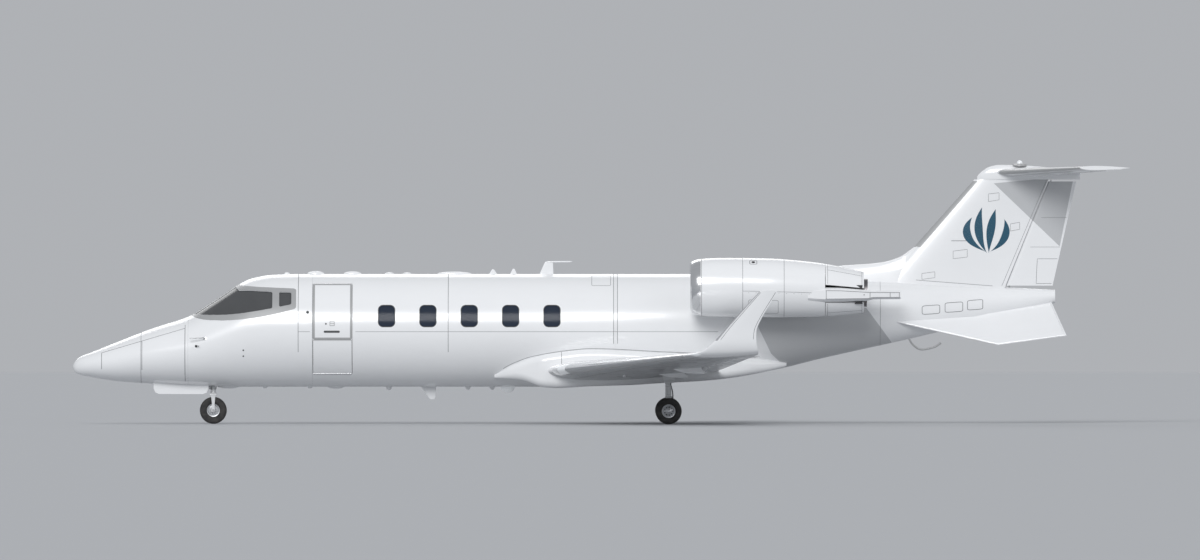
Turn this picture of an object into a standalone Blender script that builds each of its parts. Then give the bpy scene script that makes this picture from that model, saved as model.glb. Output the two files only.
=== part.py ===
"""A twin-engine business jet parked on its landing gear, built as separate pieces with real hinges.

The nose points to -X, the left (port) side is -Y and +Z is up. The ground is z = 0 and the origin
lies under the middle of the aircraft. Lengths are in metres. "Station" is the distance behind the nose.
"""

import math

import bmesh
import bpy
from mathutils import Vector

# Whole aircraft
LENGTH = 17.88
WING_ROOT_Y = 1.0
SIDES = (("left", -1), ("right", 1))
GAP = 0.0003
RUNNING_GAP = 0.006
END_GAP = 0.014

# Facets round a circle or along an arc
ROOF_STEPS = 6
SIDE_STEPS = 8
BELLY_STEPS = 7
DOOR_STEPS = 8
ROUND_STEPS = 28
WHEEL_STEPS = 20
LEG_STEPS = 14
ROD_STEPS = 10

# Room that reaches past the skin of the fuselage
CLEAR_Y = 1.2
CLEAR_LOW = 0.3
CLEAR_TOP = 3.1
PATCH_DEPTHS = (-0.25, 0.22)

# Fuselage sections by station
CABIN_RADIUS = 0.958
CABIN_AXIS_Z = 1.586
WALL = 0.08
NOSE_SPLIT = 1.16
COCKPIT_START = 1.96
COCKPIT_END = 4.07
CABIN_END = 9.2
AFT_END = 13.69
TAIL_END = 16.66

# Cabin panels by skin angle, measured from the crown
DOOR_HEAD = math.radians(33.6)
ROOF_EDGE = math.radians(45.0)
BELLY_EDGE = math.radians(141.0)

# Shelf, wheel bay, bay doors and jack pad of the nose
SHELF_END = 2.75
SHELF_Z = 0.98
NOSE_BAY = ((1.35, -0.15, 0.5), (2.52, 0.15, 0.93))
NOSE_DOOR_STATIONS = (1.37, 2.3)
NOSE_DOOR_YS = (0.16, 0.172)
NOSE_DOOR_HEIGHTS = (0.505, 0.72)
NOSE_JACK_STATION = 1.25
NOSE_JACK_HEIGHTS = (0.66, 0.80)
JACK_PAD_RADIUS = 0.03

# Cockpit windows as seen from the side, in station and height
WINDSCREEN_SEEN = (
    (2.32, 1.845), (2.60, 1.850), (3.036, 1.90), (3.34, 1.955), (3.392, 2.0), (3.392, 2.245),
    (3.10, 2.268), (2.80, 2.273),
)
WINDSCREEN_POST = math.radians(2.8)
WINDSCREEN_BEND = math.radians(14)
WINDSCREEN_FOOT = ((2.06, WINDSCREEN_BEND), (2.14, math.radians(27)))
WINDSCREEN_ENDS = (2.035, 2.76)
WINDSCREEN_CENTRE = (2.60, math.radians(47))
SIDE_WINDOW_SEEN = ((3.507, 1.985), (3.714, 2.028), (3.714, 2.236), (3.507, 2.240))
SIDE_WINDOW_CENTRE = (3.61, 2.12)
PANE_SHRINK = 0.004
PANE_INSET = 0.004
RAIL_GAP = 0.006
GLASS_BAR_STATIONS = (3.33, 3.45, 3.56)
GLASS_BAR_ANGLES = (52, 54, 56)

# Cabin windows
WINDOW_FIRST = 5.327
WINDOW_PITCH = 0.70
WINDOW_COUNT = 5
WINDOW_Z = 1.83
WINDOW_SIZE = (0.29, 0.375)
WINDOW_CORNER = 0.085
WINDOW_PRISM_YS = (0.6, 1.2)
WINDOW_BAND = (math.radians(60), math.radians(88))
WINDOW_RAIL = (math.radians(84.0), math.radians(86.0))

# Entry door
DOOR_FRONT = 4.075
DOOR_BACK = 4.745
DOOR_HINGE_STATION = 4.4
DOOR_EDGE_GAP = 0.005
DOOR_REACH = 0.1
DOOR_TOP = math.radians(34.6)
DOOR_SPLIT = math.radians(99.7)
DOOR_SPLIT_GAP = 0.0052
DOOR_SILL = math.radians(140.0)
HINGE_TUBE_RADIUS = 0.01
TREAD_ANGLES = (107, 119, 131)
TREAD_STATION = 4.41
TREAD_HALF_LENGTH = 0.26
TREAD_HALF_THICKNESS = 0.012
TREAD_DEPTH = 0.10

# Cabin floor and rear bulkhead
FLOOR_TOP = 0.88
FLOOR_THICKNESS = 0.025
BULKHEAD_THICKNESS = 0.04


def at(station, y, z):
    """The point at a station, in world coordinates."""
    return Vector((station - LENGTH / 2, y, z))


def smooth_line(points):
    """A smooth curve through (station, value) points, with no overshoot between them."""
    xs = [p[0] for p in points]
    ys = [p[1] for p in points]
    rises = [(ys[i + 1] - ys[i]) / (xs[i + 1] - xs[i]) for i in range(len(xs) - 1)]
    slopes = [rises[0]]
    for before, after in zip(rises, rises[1:]):
        same_way = before * after > 0
        slopes.append(2 * before * after / (before + after) if same_way else 0.0)
    slopes.append(rises[-1])

    def value(x):
        if x <= xs[0]:
            return ys[0]
        if x >= xs[-1]:
            return ys[-1]
        i = max(k for k in range(len(xs) - 1) if xs[k] <= x)
        width = xs[i + 1] - xs[i]
        t = (x - xs[i]) / width
        start = (1 + 2 * t) * (1 - t) ** 2 * ys[i] + t * (1 - t) ** 2 * width * slopes[i]
        end = t * t * (3 - 2 * t) * ys[i + 1] + t * t * (t - 1) * width * slopes[i + 1]
        return start + end

    return value


# Fuselage outline: crown, keel and half width by station
TOP_LINE = smooth_line([
    (0, 1.0), (0.03, 1.055), (0.12, 1.136), (0.29, 1.204), (0.46, 1.272), (0.8, 1.408),
    (1.14, 1.543), (1.475, 1.662), (1.81, 1.764), (1.98, 1.832), (2.15, 1.933), (2.49, 2.154),
    (2.83, 2.375), (3.0, 2.459), (3.17, 2.500), (3.34, 2.527), (3.85, 2.544), (10.3, 2.544),
    (13.69, 2.417), (TAIL_END, 2.273),
])
KEEL_LINE = smooth_line([
    (0, 0.96), (0.03, 0.885), (0.12, 0.831), (0.29, 0.797), (0.46, 0.763), (0.8, 0.718),
    (1.2, 0.690), (1.64, 0.661), (1.98, 0.644), (3.0, 0.628), (8.2, 0.628), (8.77, 0.657),
    (9.45, 0.676), (9.96, 0.708), (10.63, 0.744), (11.3, 0.812), (11.65, 0.870), (11.99, 0.934),
    (12.67, 1.102), (13.35, 1.255), (14.1, 1.42), (TAIL_END, 2.05),
])
HALF_WIDTH = smooth_line([
    (0, 0.02), (0.03, 0.085), (0.12, 0.17), (0.29, 0.27), (0.46, 0.345), (0.8, 0.46),
    (1.2, 0.565), (1.6, 0.65), (2.0, 0.725), (2.5, 0.80), (3.0, 0.865), (3.5, 0.92),
    (3.8, 0.943), (4.05, CABIN_RADIUS), (9.2, CABIN_RADIUS), (10.0, 0.945), (11.0, 0.89),
    (12.0, 0.79), (13.0, 0.63), (14.1, 0.44), (15.5, 0.24), (TAIL_END, 0.105),
])

# Wing-to-body fairing: half width, top and underside by station
FAIRING_WIDTH = smooth_line([
    (7.15, 0.60), (7.43, 0.80), (7.78, 0.93), (8.0, WING_ROOT_Y), (11.0, WING_ROOT_Y),
    (11.4, 0.88), (11.8, 0.62), (12.1, 0.36),
])
FAIRING_TOP = smooth_line([
    (7.15, 0.84), (7.43, 1.006), (7.78, 1.136), (8.31, 1.231), (8.81, 1.274), (9.16, 1.265),
    (9.96, 1.22), (10.64, 1.19), (11.3, 1.15), (11.8, 1.09), (12.1, 1.04),
])
FAIRING_KEEL = smooth_line([
    (7.15, 0.78), (7.6, 0.74), (8.0, 0.622), (8.2, 0.612), (8.77, 0.640), (9.45, 0.661),
    (9.96, 0.693), (10.63, 0.729), (11.0, 0.763), (11.4, 0.82), (11.8, 0.90), (12.1, 0.98),
])

# Engine pod: centre height, outer radius and duct radius by station
POD_CENTRE = smooth_line([(10.47, 2.315), (11.2, 2.315), (12.0, 2.30), (12.72, 2.27), (14.0, 2.19)])
POD_RADIUS = smooth_line([
    (10.47, 0.40), (10.50, 0.44), (10.6, 0.475), (10.8, 0.495), (11.0, 0.50), (11.8, 0.50),
    (12.3, 0.48), (12.74, 0.447), (13.1, 0.395), (13.47, 0.335),
])
DUCT_RADIUS = smooth_line([
    (10.47, 0.40), (10.52, 0.375), (10.62, 0.366), (10.8, 0.375), (10.9, 0.385), (11.0, 0.385),
    (11.3, 0.42), (12.2, 0.42), (12.74, 0.405), (13.1, 0.36), (13.47, 0.305),
])


def material(name, colour, roughness, metallic=0.0):
    """One Principled material, made the first time it is asked for."""
    found = bpy.data.materials.get(name)
    if found:
        return found
    made = bpy.data.materials.new(name)
    made.use_nodes = True
    shader = made.node_tree.nodes["Principled BSDF"]
    shader.inputs["Base Color"].default_value = (*colour, 1.0)
    shader.inputs["Roughness"].default_value = roughness
    shader.inputs["Metallic"].default_value = metallic
    made.diffuse_color = (*colour, 1.0)
    return made


def white_paint():
    return material("white_paint", (0.86, 0.87, 0.88), 0.25)


def grey_paint():
    return material("grey_paint", (0.48, 0.49, 0.51), 0.35)


def dark_glass():
    return material("dark_glass", (0.03, 0.04, 0.06), 0.08)


def bare_metal():
    return material("bare_metal", (0.62, 0.63, 0.65), 0.3, 1.0)


def dark_metal():
    return material("dark_metal", (0.20, 0.20, 0.21), 0.4, 1.0)


def gear_paint():
    return material("gear_paint", (0.75, 0.76, 0.77), 0.4)


def tyre_rubber():
    return material("tyre_rubber", (0.02, 0.02, 0.022), 0.8)


def cabin_leather():
    return material("cabin_leather", (0.50, 0.43, 0.35), 0.6)


def cabin_trim():
    return material("cabin_trim", (0.32, 0.31, 0.30), 0.7)


def mesh_object(name, points, faces, look, origin=None):
    """A closed mesh with its faces turned outward. Its origin can be set on a hinge axis."""
    origin = origin or Vector((0, 0, 0))
    shape = bmesh.new()
    verts = [shape.verts.new(p - origin) for p in points]
    for face in faces:
        shape.faces.new([verts[i] for i in face])
    bmesh.ops.recalc_face_normals(shape, faces=shape.faces)
    mesh = bpy.data.meshes.new(name)
    shape.to_mesh(mesh)
    shape.free()
    mesh.materials.append(look)
    mesh.shade_smooth()
    mesh.set_sharp_from_angle(angle=math.radians(30))
    made = bpy.data.objects.new(name, mesh)
    made.location = origin
    bpy.context.scene.collection.objects.link(made)
    return made


def split_quad(base, after, i, j):
    """The two triangles between points i and j of two rings, always cut the same way."""
    return [(base + i, base + j, after + j), (base + i, after + j, after + i)]


def loft(name, rings, look, origin=None):
    """A solid skinned over rings of equal point count, closed by its first and last ring."""
    count = len(rings[0])
    faces = []
    for k in range(len(rings) - 1):
        for i in range(count):
            faces += split_quad(k * count, (k + 1) * count, i, (i + 1) % count)
    faces.append(tuple(range(count)))
    faces.append(tuple((len(rings) - 1) * count + i for i in range(count)))
    return mesh_object(name, [p for ring in rings for p in ring], faces, look, origin)


def loop_loft(name, rings, look, origin=None):
    """A solid skinned over rings that follow each other back to the first, as a tube wall does."""
    count = len(rings[0])
    total = len(rings)
    faces = []
    for k in range(total):
        after = (k + 1) % total
        for i in range(count):
            faces += split_quad(k * count, after * count, i, (i + 1) % count)
    return mesh_object(name, [p for ring in rings for p in ring], faces, look, origin)


def hexahedron(name, corners, look=None):
    """A solid with four corners at one end and four at the other."""
    return loft(name, [corners[:4], corners[4:]], look or grey_paint())


def box(name, low, high, look=None, origin=None):
    """A block between two stations, sides and heights."""
    (x0, y0, z0), (x1, y1, z1) = low, high
    y0, y1 = sorted((y0, y1))
    ring = [(y0, z0), (y1, z0), (y1, z1), (y0, z1)]
    rings = [[at(x, y, z) for y, z in ring] for x in (x0, x1)]
    return loft(name, rings, look or grey_paint(), origin)


def ring_frame(axis):
    """Two directions square to an axis, the first as near to up as it can be."""
    up = Vector((0, 0, 1)) if abs(axis.z) < 0.9 else Vector((1, 0, 0))
    first = (up - axis * up.dot(axis)).normalized()
    return first, axis.cross(first)


def circle(centre, radius, up, across, steps):
    """Points evenly round a centre, from the first direction towards the second."""
    turns = [2 * math.pi * k / steps for k in range(steps)]
    return [centre + radius * (math.cos(turn) * up + math.sin(turn) * across) for turn in turns]


def turned(name, start, direction, profile, look, steps=ROUND_STEPS, origin=None):
    """A solid of revolution: the profile is (distance along the axis, radius) from pole to pole."""
    axis = direction.normalized()
    up, across = ring_frame(axis)
    points = [start + axis * profile[0][0]]
    for along, radius in profile[1:-1]:
        points += circle(start + axis * along, radius, up, across, steps)
    points.append(start + axis * profile[-1][0])
    last = len(points) - 1
    faces = []
    for k in range(steps):
        j = (k + 1) % steps
        faces.append((0, 1 + k, 1 + j))
        faces.append((last, last - steps + j, last - steps + k))
        for ring in range(len(profile) - 3):
            base = 1 + ring * steps
            faces.append((base + k, base + j, base + steps + j, base + steps + k))
    return mesh_object(name, points, faces, look, origin)


def turned_ring(name, start, direction, profile, look, steps=ROUND_STEPS, origin=None):
    """A ring-shaped solid of revolution: the profile goes round and back to its first point."""
    axis = direction.normalized()
    up, across = ring_frame(axis)
    rings = [circle(start + axis * along, radius, up, across, steps) for along, radius in profile]
    return loop_loft(name, rings, look, origin)


def rod(name, start, end, radius, look=None, steps=ROD_STEPS):
    """A plain round bar between two points."""
    reach = (end - start).length
    profile = [(0, 0), (0, radius), (reach, radius), (reach, 0)]
    return turned(name, start, end - start, profile, look or gear_paint(), steps)


def plate(name, outline, thickness, look=None):
    """A flat outline given a thickness vector, half to each side."""
    half = thickness / 2
    return loft(name, [[p - half for p in outline], [p + half for p in outline]], look or grey_paint())


def boolean(target, helper, operation):
    """Adds a Boolean to the target and keeps the helper out of the part."""
    helper.hide_render = True
    helper.display_type = "WIRE"
    step = target.modifiers.new(helper.name, "BOOLEAN")
    step.object = helper
    step.operation = operation
    step.solver = "EXACT"


def cut(target, *helpers):
    for helper in helpers:
        boolean(target, helper, "DIFFERENCE")


def join(target, *helpers):
    for helper in helpers:
        boolean(target, helper, "UNION")


def keep_inside(target, helper):
    boolean(target, helper, "INTERSECT")


# Fuselage
def hull_point(station, angle, inset=0.0):
    """A point of the fuselage skin. The angle starts at the crown and grows to starboard."""
    top = TOP_LINE(station)
    keel = KEEL_LINE(station)
    y = (HALF_WIDTH(station) - inset) * math.sin(angle)
    return at(station, y, (top + keel) / 2 + ((top - keel) / 2 - inset) * math.cos(angle))


def angle_at_height(station, z):
    """The skin angle of a point that a side view shows at this height."""
    top = TOP_LINE(station)
    keel = KEEL_LINE(station)
    return math.acos((z - (top + keel) / 2) / ((top - keel) / 2))


def spread(first, last, count):
    """Evenly spaced values, both ends included."""
    return [first + (last - first) * k / count for k in range(count + 1)]


def ring_angles():
    """Skin angles all round, with a facet line wherever the cabin's panels meet."""
    right = spread(ROOF_EDGE, BELLY_EDGE, SIDE_STEPS)
    belly = spread(BELLY_EDGE, 2 * math.pi - BELLY_EDGE, BELLY_STEPS)
    left = [2 * math.pi - a for a in reversed(right)]
    return right + belly[1:-1] + left + roof_angles()[1:-1]


def roof_angles():
    """Skin angles of the roof panel, with facet lines in line with the door's head."""
    return [-ROOF_EDGE] + spread(-DOOR_HEAD, DOOR_HEAD, ROOF_STEPS) + [ROOF_EDGE]


RING_ANGLES = ring_angles()


def hull_ring(station, inset=0.0):
    return [hull_point(station, angle, inset) for angle in RING_ANGLES]


def hull_solid(name, stations, inset, look=None):
    return loft(name, [hull_ring(s, inset) for s in stations], look or white_paint())


def hull_tube(name, stations, look):
    """A fuselage section with a wall, open at both ends."""
    tube = hull_solid(name, stations, 0.0, look)
    hollow = [stations[0] - 0.05] + stations + [stations[-1] + 0.05]
    cut(tube, hull_solid(name + "_hollow", hollow, WALL))
    return tube


def hull_panel(name, stations, angles, look, outer=0.0, inner=WALL, origin=None):
    """A curved panel of the fuselage wall between the first and last angle."""
    angles = sorted(angles)
    rings = []
    for station in stations:
        skin = [hull_point(station, a, outer) for a in angles]
        lining = [hull_point(station, a, inner) for a in reversed(angles)]
        rings.append(skin + lining)
    return loft(name, rings, look, origin)


def hull_patch(name, outline):
    """A cutter through the wall whose outline is given as (station, angle)."""
    rings = [[hull_point(s, a, depth) for s, a in outline] for depth in PATCH_DEPTHS]
    return loft(name, rings, dark_glass())


RADOME_STATIONS = [0, 0.012, 0.04, 0.10, 0.2, 0.36, 0.56, 0.84, NOSE_SPLIT - GAP]
NOSE_STATIONS = [NOSE_SPLIT, 1.4, 1.7, COCKPIT_START - GAP, 2.25, 2.5, SHELF_END]
COCKPIT_STATIONS = [COCKPIT_START, 2.15, 2.4, 2.66, 2.90, 3.15, 3.45, 3.8, COCKPIT_END - GAP]
CABIN_STATIONS = [8.2, 8.5, 8.77, CABIN_END]
AFT_STATIONS = [CABIN_END + GAP, 10.0, 10.7, 11.3, 12.0, 12.6, 13.2, AFT_END]
TAIL_STATIONS = [AFT_END + GAP, 14.3, 15.0, 15.8, TAIL_END]


def nose_cone():
    return hull_solid("nose_cone", RADOME_STATIONS, 0.0)


def nose_section():
    """The solid nose behind the radome, with a shelf below the cockpit and the nose wheel bay."""
    section = hull_solid("nose_section", NOSE_STATIONS, 0.0)
    shelf_front = (COCKPIT_START - GAP, -CLEAR_Y, SHELF_Z)
    cut(section, box("cockpit_space", shelf_front, (COCKPIT_END, CLEAR_Y, CLEAR_TOP)))
    cut(section, box("nose_wheel_bay", *NOSE_BAY))
    for name, side in SIDES:
        low, high = zip(NOSE_DOOR_STATIONS, [side * y for y in NOSE_DOOR_YS], NOSE_DOOR_HEIGHTS)
        join(section, box("nose_gear_door_" + name, low, high))
    jack_ends = (at(NOSE_JACK_STATION, 0, z) for z in NOSE_JACK_HEIGHTS)
    join(section, rod("nose_jack_pad", *jack_ends, JACK_PAD_RADIUS))
    return section


def windscreen_outline(side, shrink):
    """The wrap-round windscreen of one side, from the centre post back to the side window."""
    front, back = WINDSCREEN_ENDS
    outline = [(front, WINDSCREEN_POST), *WINDSCREEN_FOOT]
    outline += [(s, angle_at_height(s, z)) for s, z in WINDSCREEN_SEEN]
    outline += [(back + 0.01, WINDSCREEN_BEND), (back, WINDSCREEN_POST)]
    return shrink_outline(outline, WINDSCREEN_CENTRE, side, shrink)


def side_window_outline(side, shrink):
    station, z = SIDE_WINDOW_CENTRE
    outline = [(s, angle_at_height(s, z)) for s, z in SIDE_WINDOW_SEEN]
    return shrink_outline(outline, (station, angle_at_height(station, z)), side, shrink)


def shrink_outline(outline, centre, side, share):
    """Draws an outline in towards a centre by a share of its size, on one side of the aircraft."""
    moved = []
    for station, angle in outline:
        station += (centre[0] - station) * share
        angle += (centre[1] - angle) * share
        moved.append((station, side * angle))
    return moved


def cockpit_shell():
    shell = hull_tube("cockpit_shell", COCKPIT_STATIONS, white_paint())
    shelf_back = (SHELF_END + GAP, CLEAR_Y, SHELF_Z + GAP)
    cut(shell, box("shelf_space", (NOSE_SPLIT, -CLEAR_Y, CLEAR_LOW), shelf_back))
    for name, side in SIDES:
        cut(shell, hull_patch("windscreen_hole_" + name, windscreen_outline(side, 0.0)))
        cut(shell, hull_patch("side_window_hole_" + name, side_window_outline(side, 0.0)))
    return shell


def cockpit_glass(name, side):
    """Windscreen and side window of one side, joined by a retaining bar behind the wall."""
    thick = [hull_ring(s, PANE_INSET) for s in COCKPIT_STATIONS]
    thick += [hull_ring(s, WALL + 0.022) for s in reversed(COCKPIT_STATIONS)]
    glass = loop_loft("cockpit_glass_" + name, thick, dark_glass())
    panes = hull_patch("windscreen_plug_" + name, windscreen_outline(side, PANE_SHRINK))
    join(panes, hull_patch("side_window_plug_" + name, side_window_outline(side, PANE_SHRINK)))
    keep_inside(glass, panes)
    angles = [side * math.radians(a) for a in GLASS_BAR_ANGLES]
    depths = (WALL + 2 * RAIL_GAP, WALL + 5 * RAIL_GAP)
    bar = hull_panel("glass_bar_" + name, GLASS_BAR_STATIONS, angles, dark_glass(), *depths)
    join(glass, bar)
    return glass


def window_outline(station, shrink):
    """A cabin window with round corners, in station and height."""
    half_x = WINDOW_SIZE[0] / 2 - shrink
    half_z = WINDOW_SIZE[1] / 2 - shrink
    corner = WINDOW_CORNER - shrink
    outline = []
    for quarter, (sx, sz) in enumerate(((1, 1), (-1, 1), (-1, -1), (1, -1))):
        for step in range(3):
            turn = math.pi / 2 * (quarter + step / 2)
            x = station + sx * (half_x - corner) + corner * math.cos(turn)
            z = WINDOW_Z + sz * (half_z - corner) + corner * math.sin(turn)
            outline.append((x, z))
    return outline


def window_prism(name, station, side, shrink):
    outline = window_outline(station, shrink)
    return loft(name, [[at(x, side * y, z) for x, z in outline] for y in WINDOW_PRISM_YS], dark_glass())


def window_stations(side):
    """Window centres of one side. The right side has one more, opposite the door."""
    first = 0 if side < 0 else -1
    return [WINDOW_FIRST + WINDOW_PITCH * k for k in range(first, WINDOW_COUNT)]


def cabin_side(name, side):
    start = DOOR_BACK + DOOR_EDGE_GAP if side < 0 else COCKPIT_END
    edge = GAP / CABIN_RADIUS
    angles = [side * a for a in spread(ROOF_EDGE + edge, BELLY_EDGE - edge, SIDE_STEPS)]
    panel = hull_panel("cabin_side_" + name, [start] + CABIN_STATIONS, angles, white_paint())
    for k, station in enumerate(window_stations(side)):
        cut(panel, window_prism(f"window_hole_{name}_{k}", station, side, 0.0))
    return panel


def cabin_windows(name, side):
    """The window panes of one side on one sill rail behind the wall."""
    stations = window_stations(side)
    angles = [side * a for a in spread(*WINDOW_BAND, 4)]
    band = [stations[0] - WINDOW_SIZE[0], *CABIN_STATIONS[:2]]
    depths = (PANE_INSET, WALL + 0.014)
    panes = hull_panel("cabin_windows_" + name, band, angles, dark_glass(), *depths)
    plugs = window_prism("window_plug_" + name, stations[0], side, GAP)
    for k, station in enumerate(stations[1:]):
        join(plugs, window_prism(f"window_plug_{name}_{k}", station, side, GAP))
    keep_inside(panes, plugs)
    sill = [side * a for a in WINDOW_RAIL]
    ends = [stations[0], stations[-1]]
    depths = (WALL + RAIL_GAP, WALL + 0.02)
    join(panes, hull_panel("window_rail_" + name, ends, sill, dark_glass(), *depths))
    return panes


def cabin_roof():
    """The roof panel, notched on the left for the top of the entry door."""
    roof = hull_panel("cabin_roof", [COCKPIT_END] + CABIN_STATIONS, roof_angles(), white_paint())
    ends = [COCKPIT_END - DOOR_REACH, DOOR_BACK + DOOR_EDGE_GAP]
    angles = [-DOOR_HEAD, -ROOF_EDGE - DOOR_REACH]
    cut(roof, hull_panel("door_head", ends, angles, dark_glass(), -DOOR_REACH, WALL + DOOR_REACH))
    return roof


def cabin_belly():
    angles = spread(BELLY_EDGE, 2 * math.pi - BELLY_EDGE, BELLY_STEPS)
    return hull_panel("cabin_belly", [COCKPIT_END] + CABIN_STATIONS, angles, white_paint())


def entry_door(name, first, last, hinge_angle):
    """Half of the entry door, as thick as the wall, with its hinge tube on the outer skin."""
    hinge = hull_point(DOOR_HINGE_STATION, -hinge_angle)
    angles = [-a for a in spread(first, last, DOOR_STEPS)]
    door = hull_panel(name, [DOOR_FRONT, 4.3, DOOR_BACK], angles, white_paint(), origin=hinge)
    ends = [at(s, hinge.y, hinge.z) for s in (COCKPIT_END + GAP, DOOR_BACK + DOOR_EDGE_GAP - GAP)]
    tube = rod(name + "_hinge_tube", *ends, HINGE_TUBE_RADIUS, bare_metal())
    join(door, tube)
    return door


def door_steps(door):
    """Three treads on the inside of the lower door."""
    for k, angle in enumerate(TREAD_ANGLES):
        middle = hull_point(TREAD_STATION, -math.radians(angle), WALL - 0.01)
        inward = (at(TREAD_STATION, 0, CABIN_AXIS_Z) - middle).normalized()
        down = Vector((0, -inward.z, inward.y)) * TREAD_HALF_THICKNESS
        half = Vector((TREAD_HALF_LENGTH, 0, 0))
        base = [middle + half + down, middle - half + down, middle - half - down, middle + half - down]
        join(door, hexahedron(f"door_step_{k}", base + [p + inward * TREAD_DEPTH for p in base]))


def cabin_floor():
    """Floor from the cockpit to the rear bulkhead, with the bulkhead itself."""
    stations = COCKPIT_STATIONS[3:] + CABIN_STATIONS
    floor = hull_solid("cabin_floor", stations, WALL + 2 * GAP, cabin_trim())
    front = COCKPIT_START
    back = CABIN_END - BULKHEAD_THICKNESS
    underside = FLOOR_TOP - FLOOR_THICKNESS
    over = box("space_over_floor", (front, -CLEAR_Y, FLOOR_TOP), (back, CLEAR_Y, CLEAR_TOP))
    under = box("space_under_floor", (front, -CLEAR_Y, CLEAR_LOW), (back, CLEAR_Y, underside))
    ahead = box("space_ahead_of_floor", (front, -CLEAR_Y, CLEAR_LOW), (SHELF_END + GAP, CLEAR_Y, CLEAR_TOP))
    cut(floor, over, under, ahead)
    return floor


def aft_fuselage():
    return hull_tube("aft_fuselage", AFT_STATIONS, white_paint())


def tail_cone():
    return hull_solid("tail_cone", TAIL_STATIONS, 0.0)


def body_cutter(name):
    """The fuselage from the cabin back, a hair larger, for what sits on its skin."""
    stations = [FAIRING_STATIONS[0] - 0.65] + CABIN_STATIONS + AFT_STATIONS[1:] + TAIL_STATIONS[1:]
    return hull_solid(name, stations, -GAP)


FAIRING_STATIONS = [7.15, 7.3, 7.43, 7.6, 7.8, 8.0, 8.77, 9.45, 9.96, 10.63, 11.0, 11.2, 11.4, 11.8, 12.1]
FAIRING_CORNER = 0.13


def fairing_ring(station):
    """A rounded rectangle: flat sides carry the wing roots."""
    half = FAIRING_WIDTH(station)
    top = FAIRING_TOP(station)
    keel = FAIRING_KEEL(station)
    radius = min(FAIRING_CORNER, 0.45 * (top - keel))
    ring = []
    for quarter, (sy, sz) in enumerate(((1, 1), (-1, 1), (-1, -1), (1, -1))):
        for step in range(5):
            turn = math.pi / 2 * (quarter + step / 4)
            y = sy * (half - radius) + radius * math.cos(turn)
            z = (top - radius if sz > 0 else keel + radius) + radius * math.sin(turn)
            ring.append(at(station, y, z))
    return ring


def belly_fairing():
    fairing = loft("belly_fairing", [fairing_ring(s) for s in FAIRING_STATIONS], white_paint())
    cut(fairing, body_cutter("body_in_fairing"))
    return fairing


# Flying surfaces
def foil(fraction):
    """Half thickness of a wing section by chord fraction, as a share of its full thickness."""
    f = max(0.0, min(1.0, fraction))
    shape = 0.2969 * math.sqrt(f) - 0.126 * f - 0.3516 * f**2 + 0.2843 * f**3 - 0.1036 * f**4
    return shape / 0.2 + 0.012 * f


FOIL_STEPS = [0.5 * (1 - math.cos(math.pi * k / 9)) for k in range(10)]
NOTCH_RISE = 0.4
NOTCH_REACH = 1.2
PIN_ROOT = 0.03
PIN_RADIUS = 0.009


def foil_ring(leading, chord, thickness, up):
    """One wing section as a ring: upper side from front to back, then the lower side."""
    ring = []
    for face, steps in ((1, FOIL_STEPS[1:]), (-1, FOIL_STEPS[:0:-1])):
        for f in steps:
            ring.append(leading + Vector((f * chord, 0, 0)) + up * face * thickness * foil(f))
    ring.insert(0, leading.copy())
    return ring


class Surface:
    """A straight tapered surface between a root section and a tip section."""

    def __init__(self, root, tip, chords, thicknesses, up):
        self.root = root
        self.tip = tip
        self.chords = chords
        self.thicknesses = thicknesses
        self.up = up

    def chord(self, t):
        return self.chords[0] + (self.chords[1] - self.chords[0]) * t

    def thickness(self, t):
        return self.thicknesses[0] + (self.thicknesses[1] - self.thicknesses[0]) * t

    def point(self, t, fraction, face):
        """A point of the upper (1) or lower (-1) side, or of the chord plane (0)."""
        rise = self.up * face * self.thickness(t) * foil(fraction)
        return self.root.lerp(self.tip, t) + Vector((fraction * self.chord(t), 0, 0)) + rise

    def point_in_plane(self, t, fraction, face, origin, normal):
        """The same, slid along the span into a plane."""
        for _ in range(5):
            t -= (self.point(t, fraction, face) - origin).dot(normal) / (self.tip - self.root).dot(normal)
        return self.point(t, fraction, face)

    def ring(self, t):
        return foil_ring(self.root.lerp(self.tip, t), self.chord(t), self.thickness(t), self.up)


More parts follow.
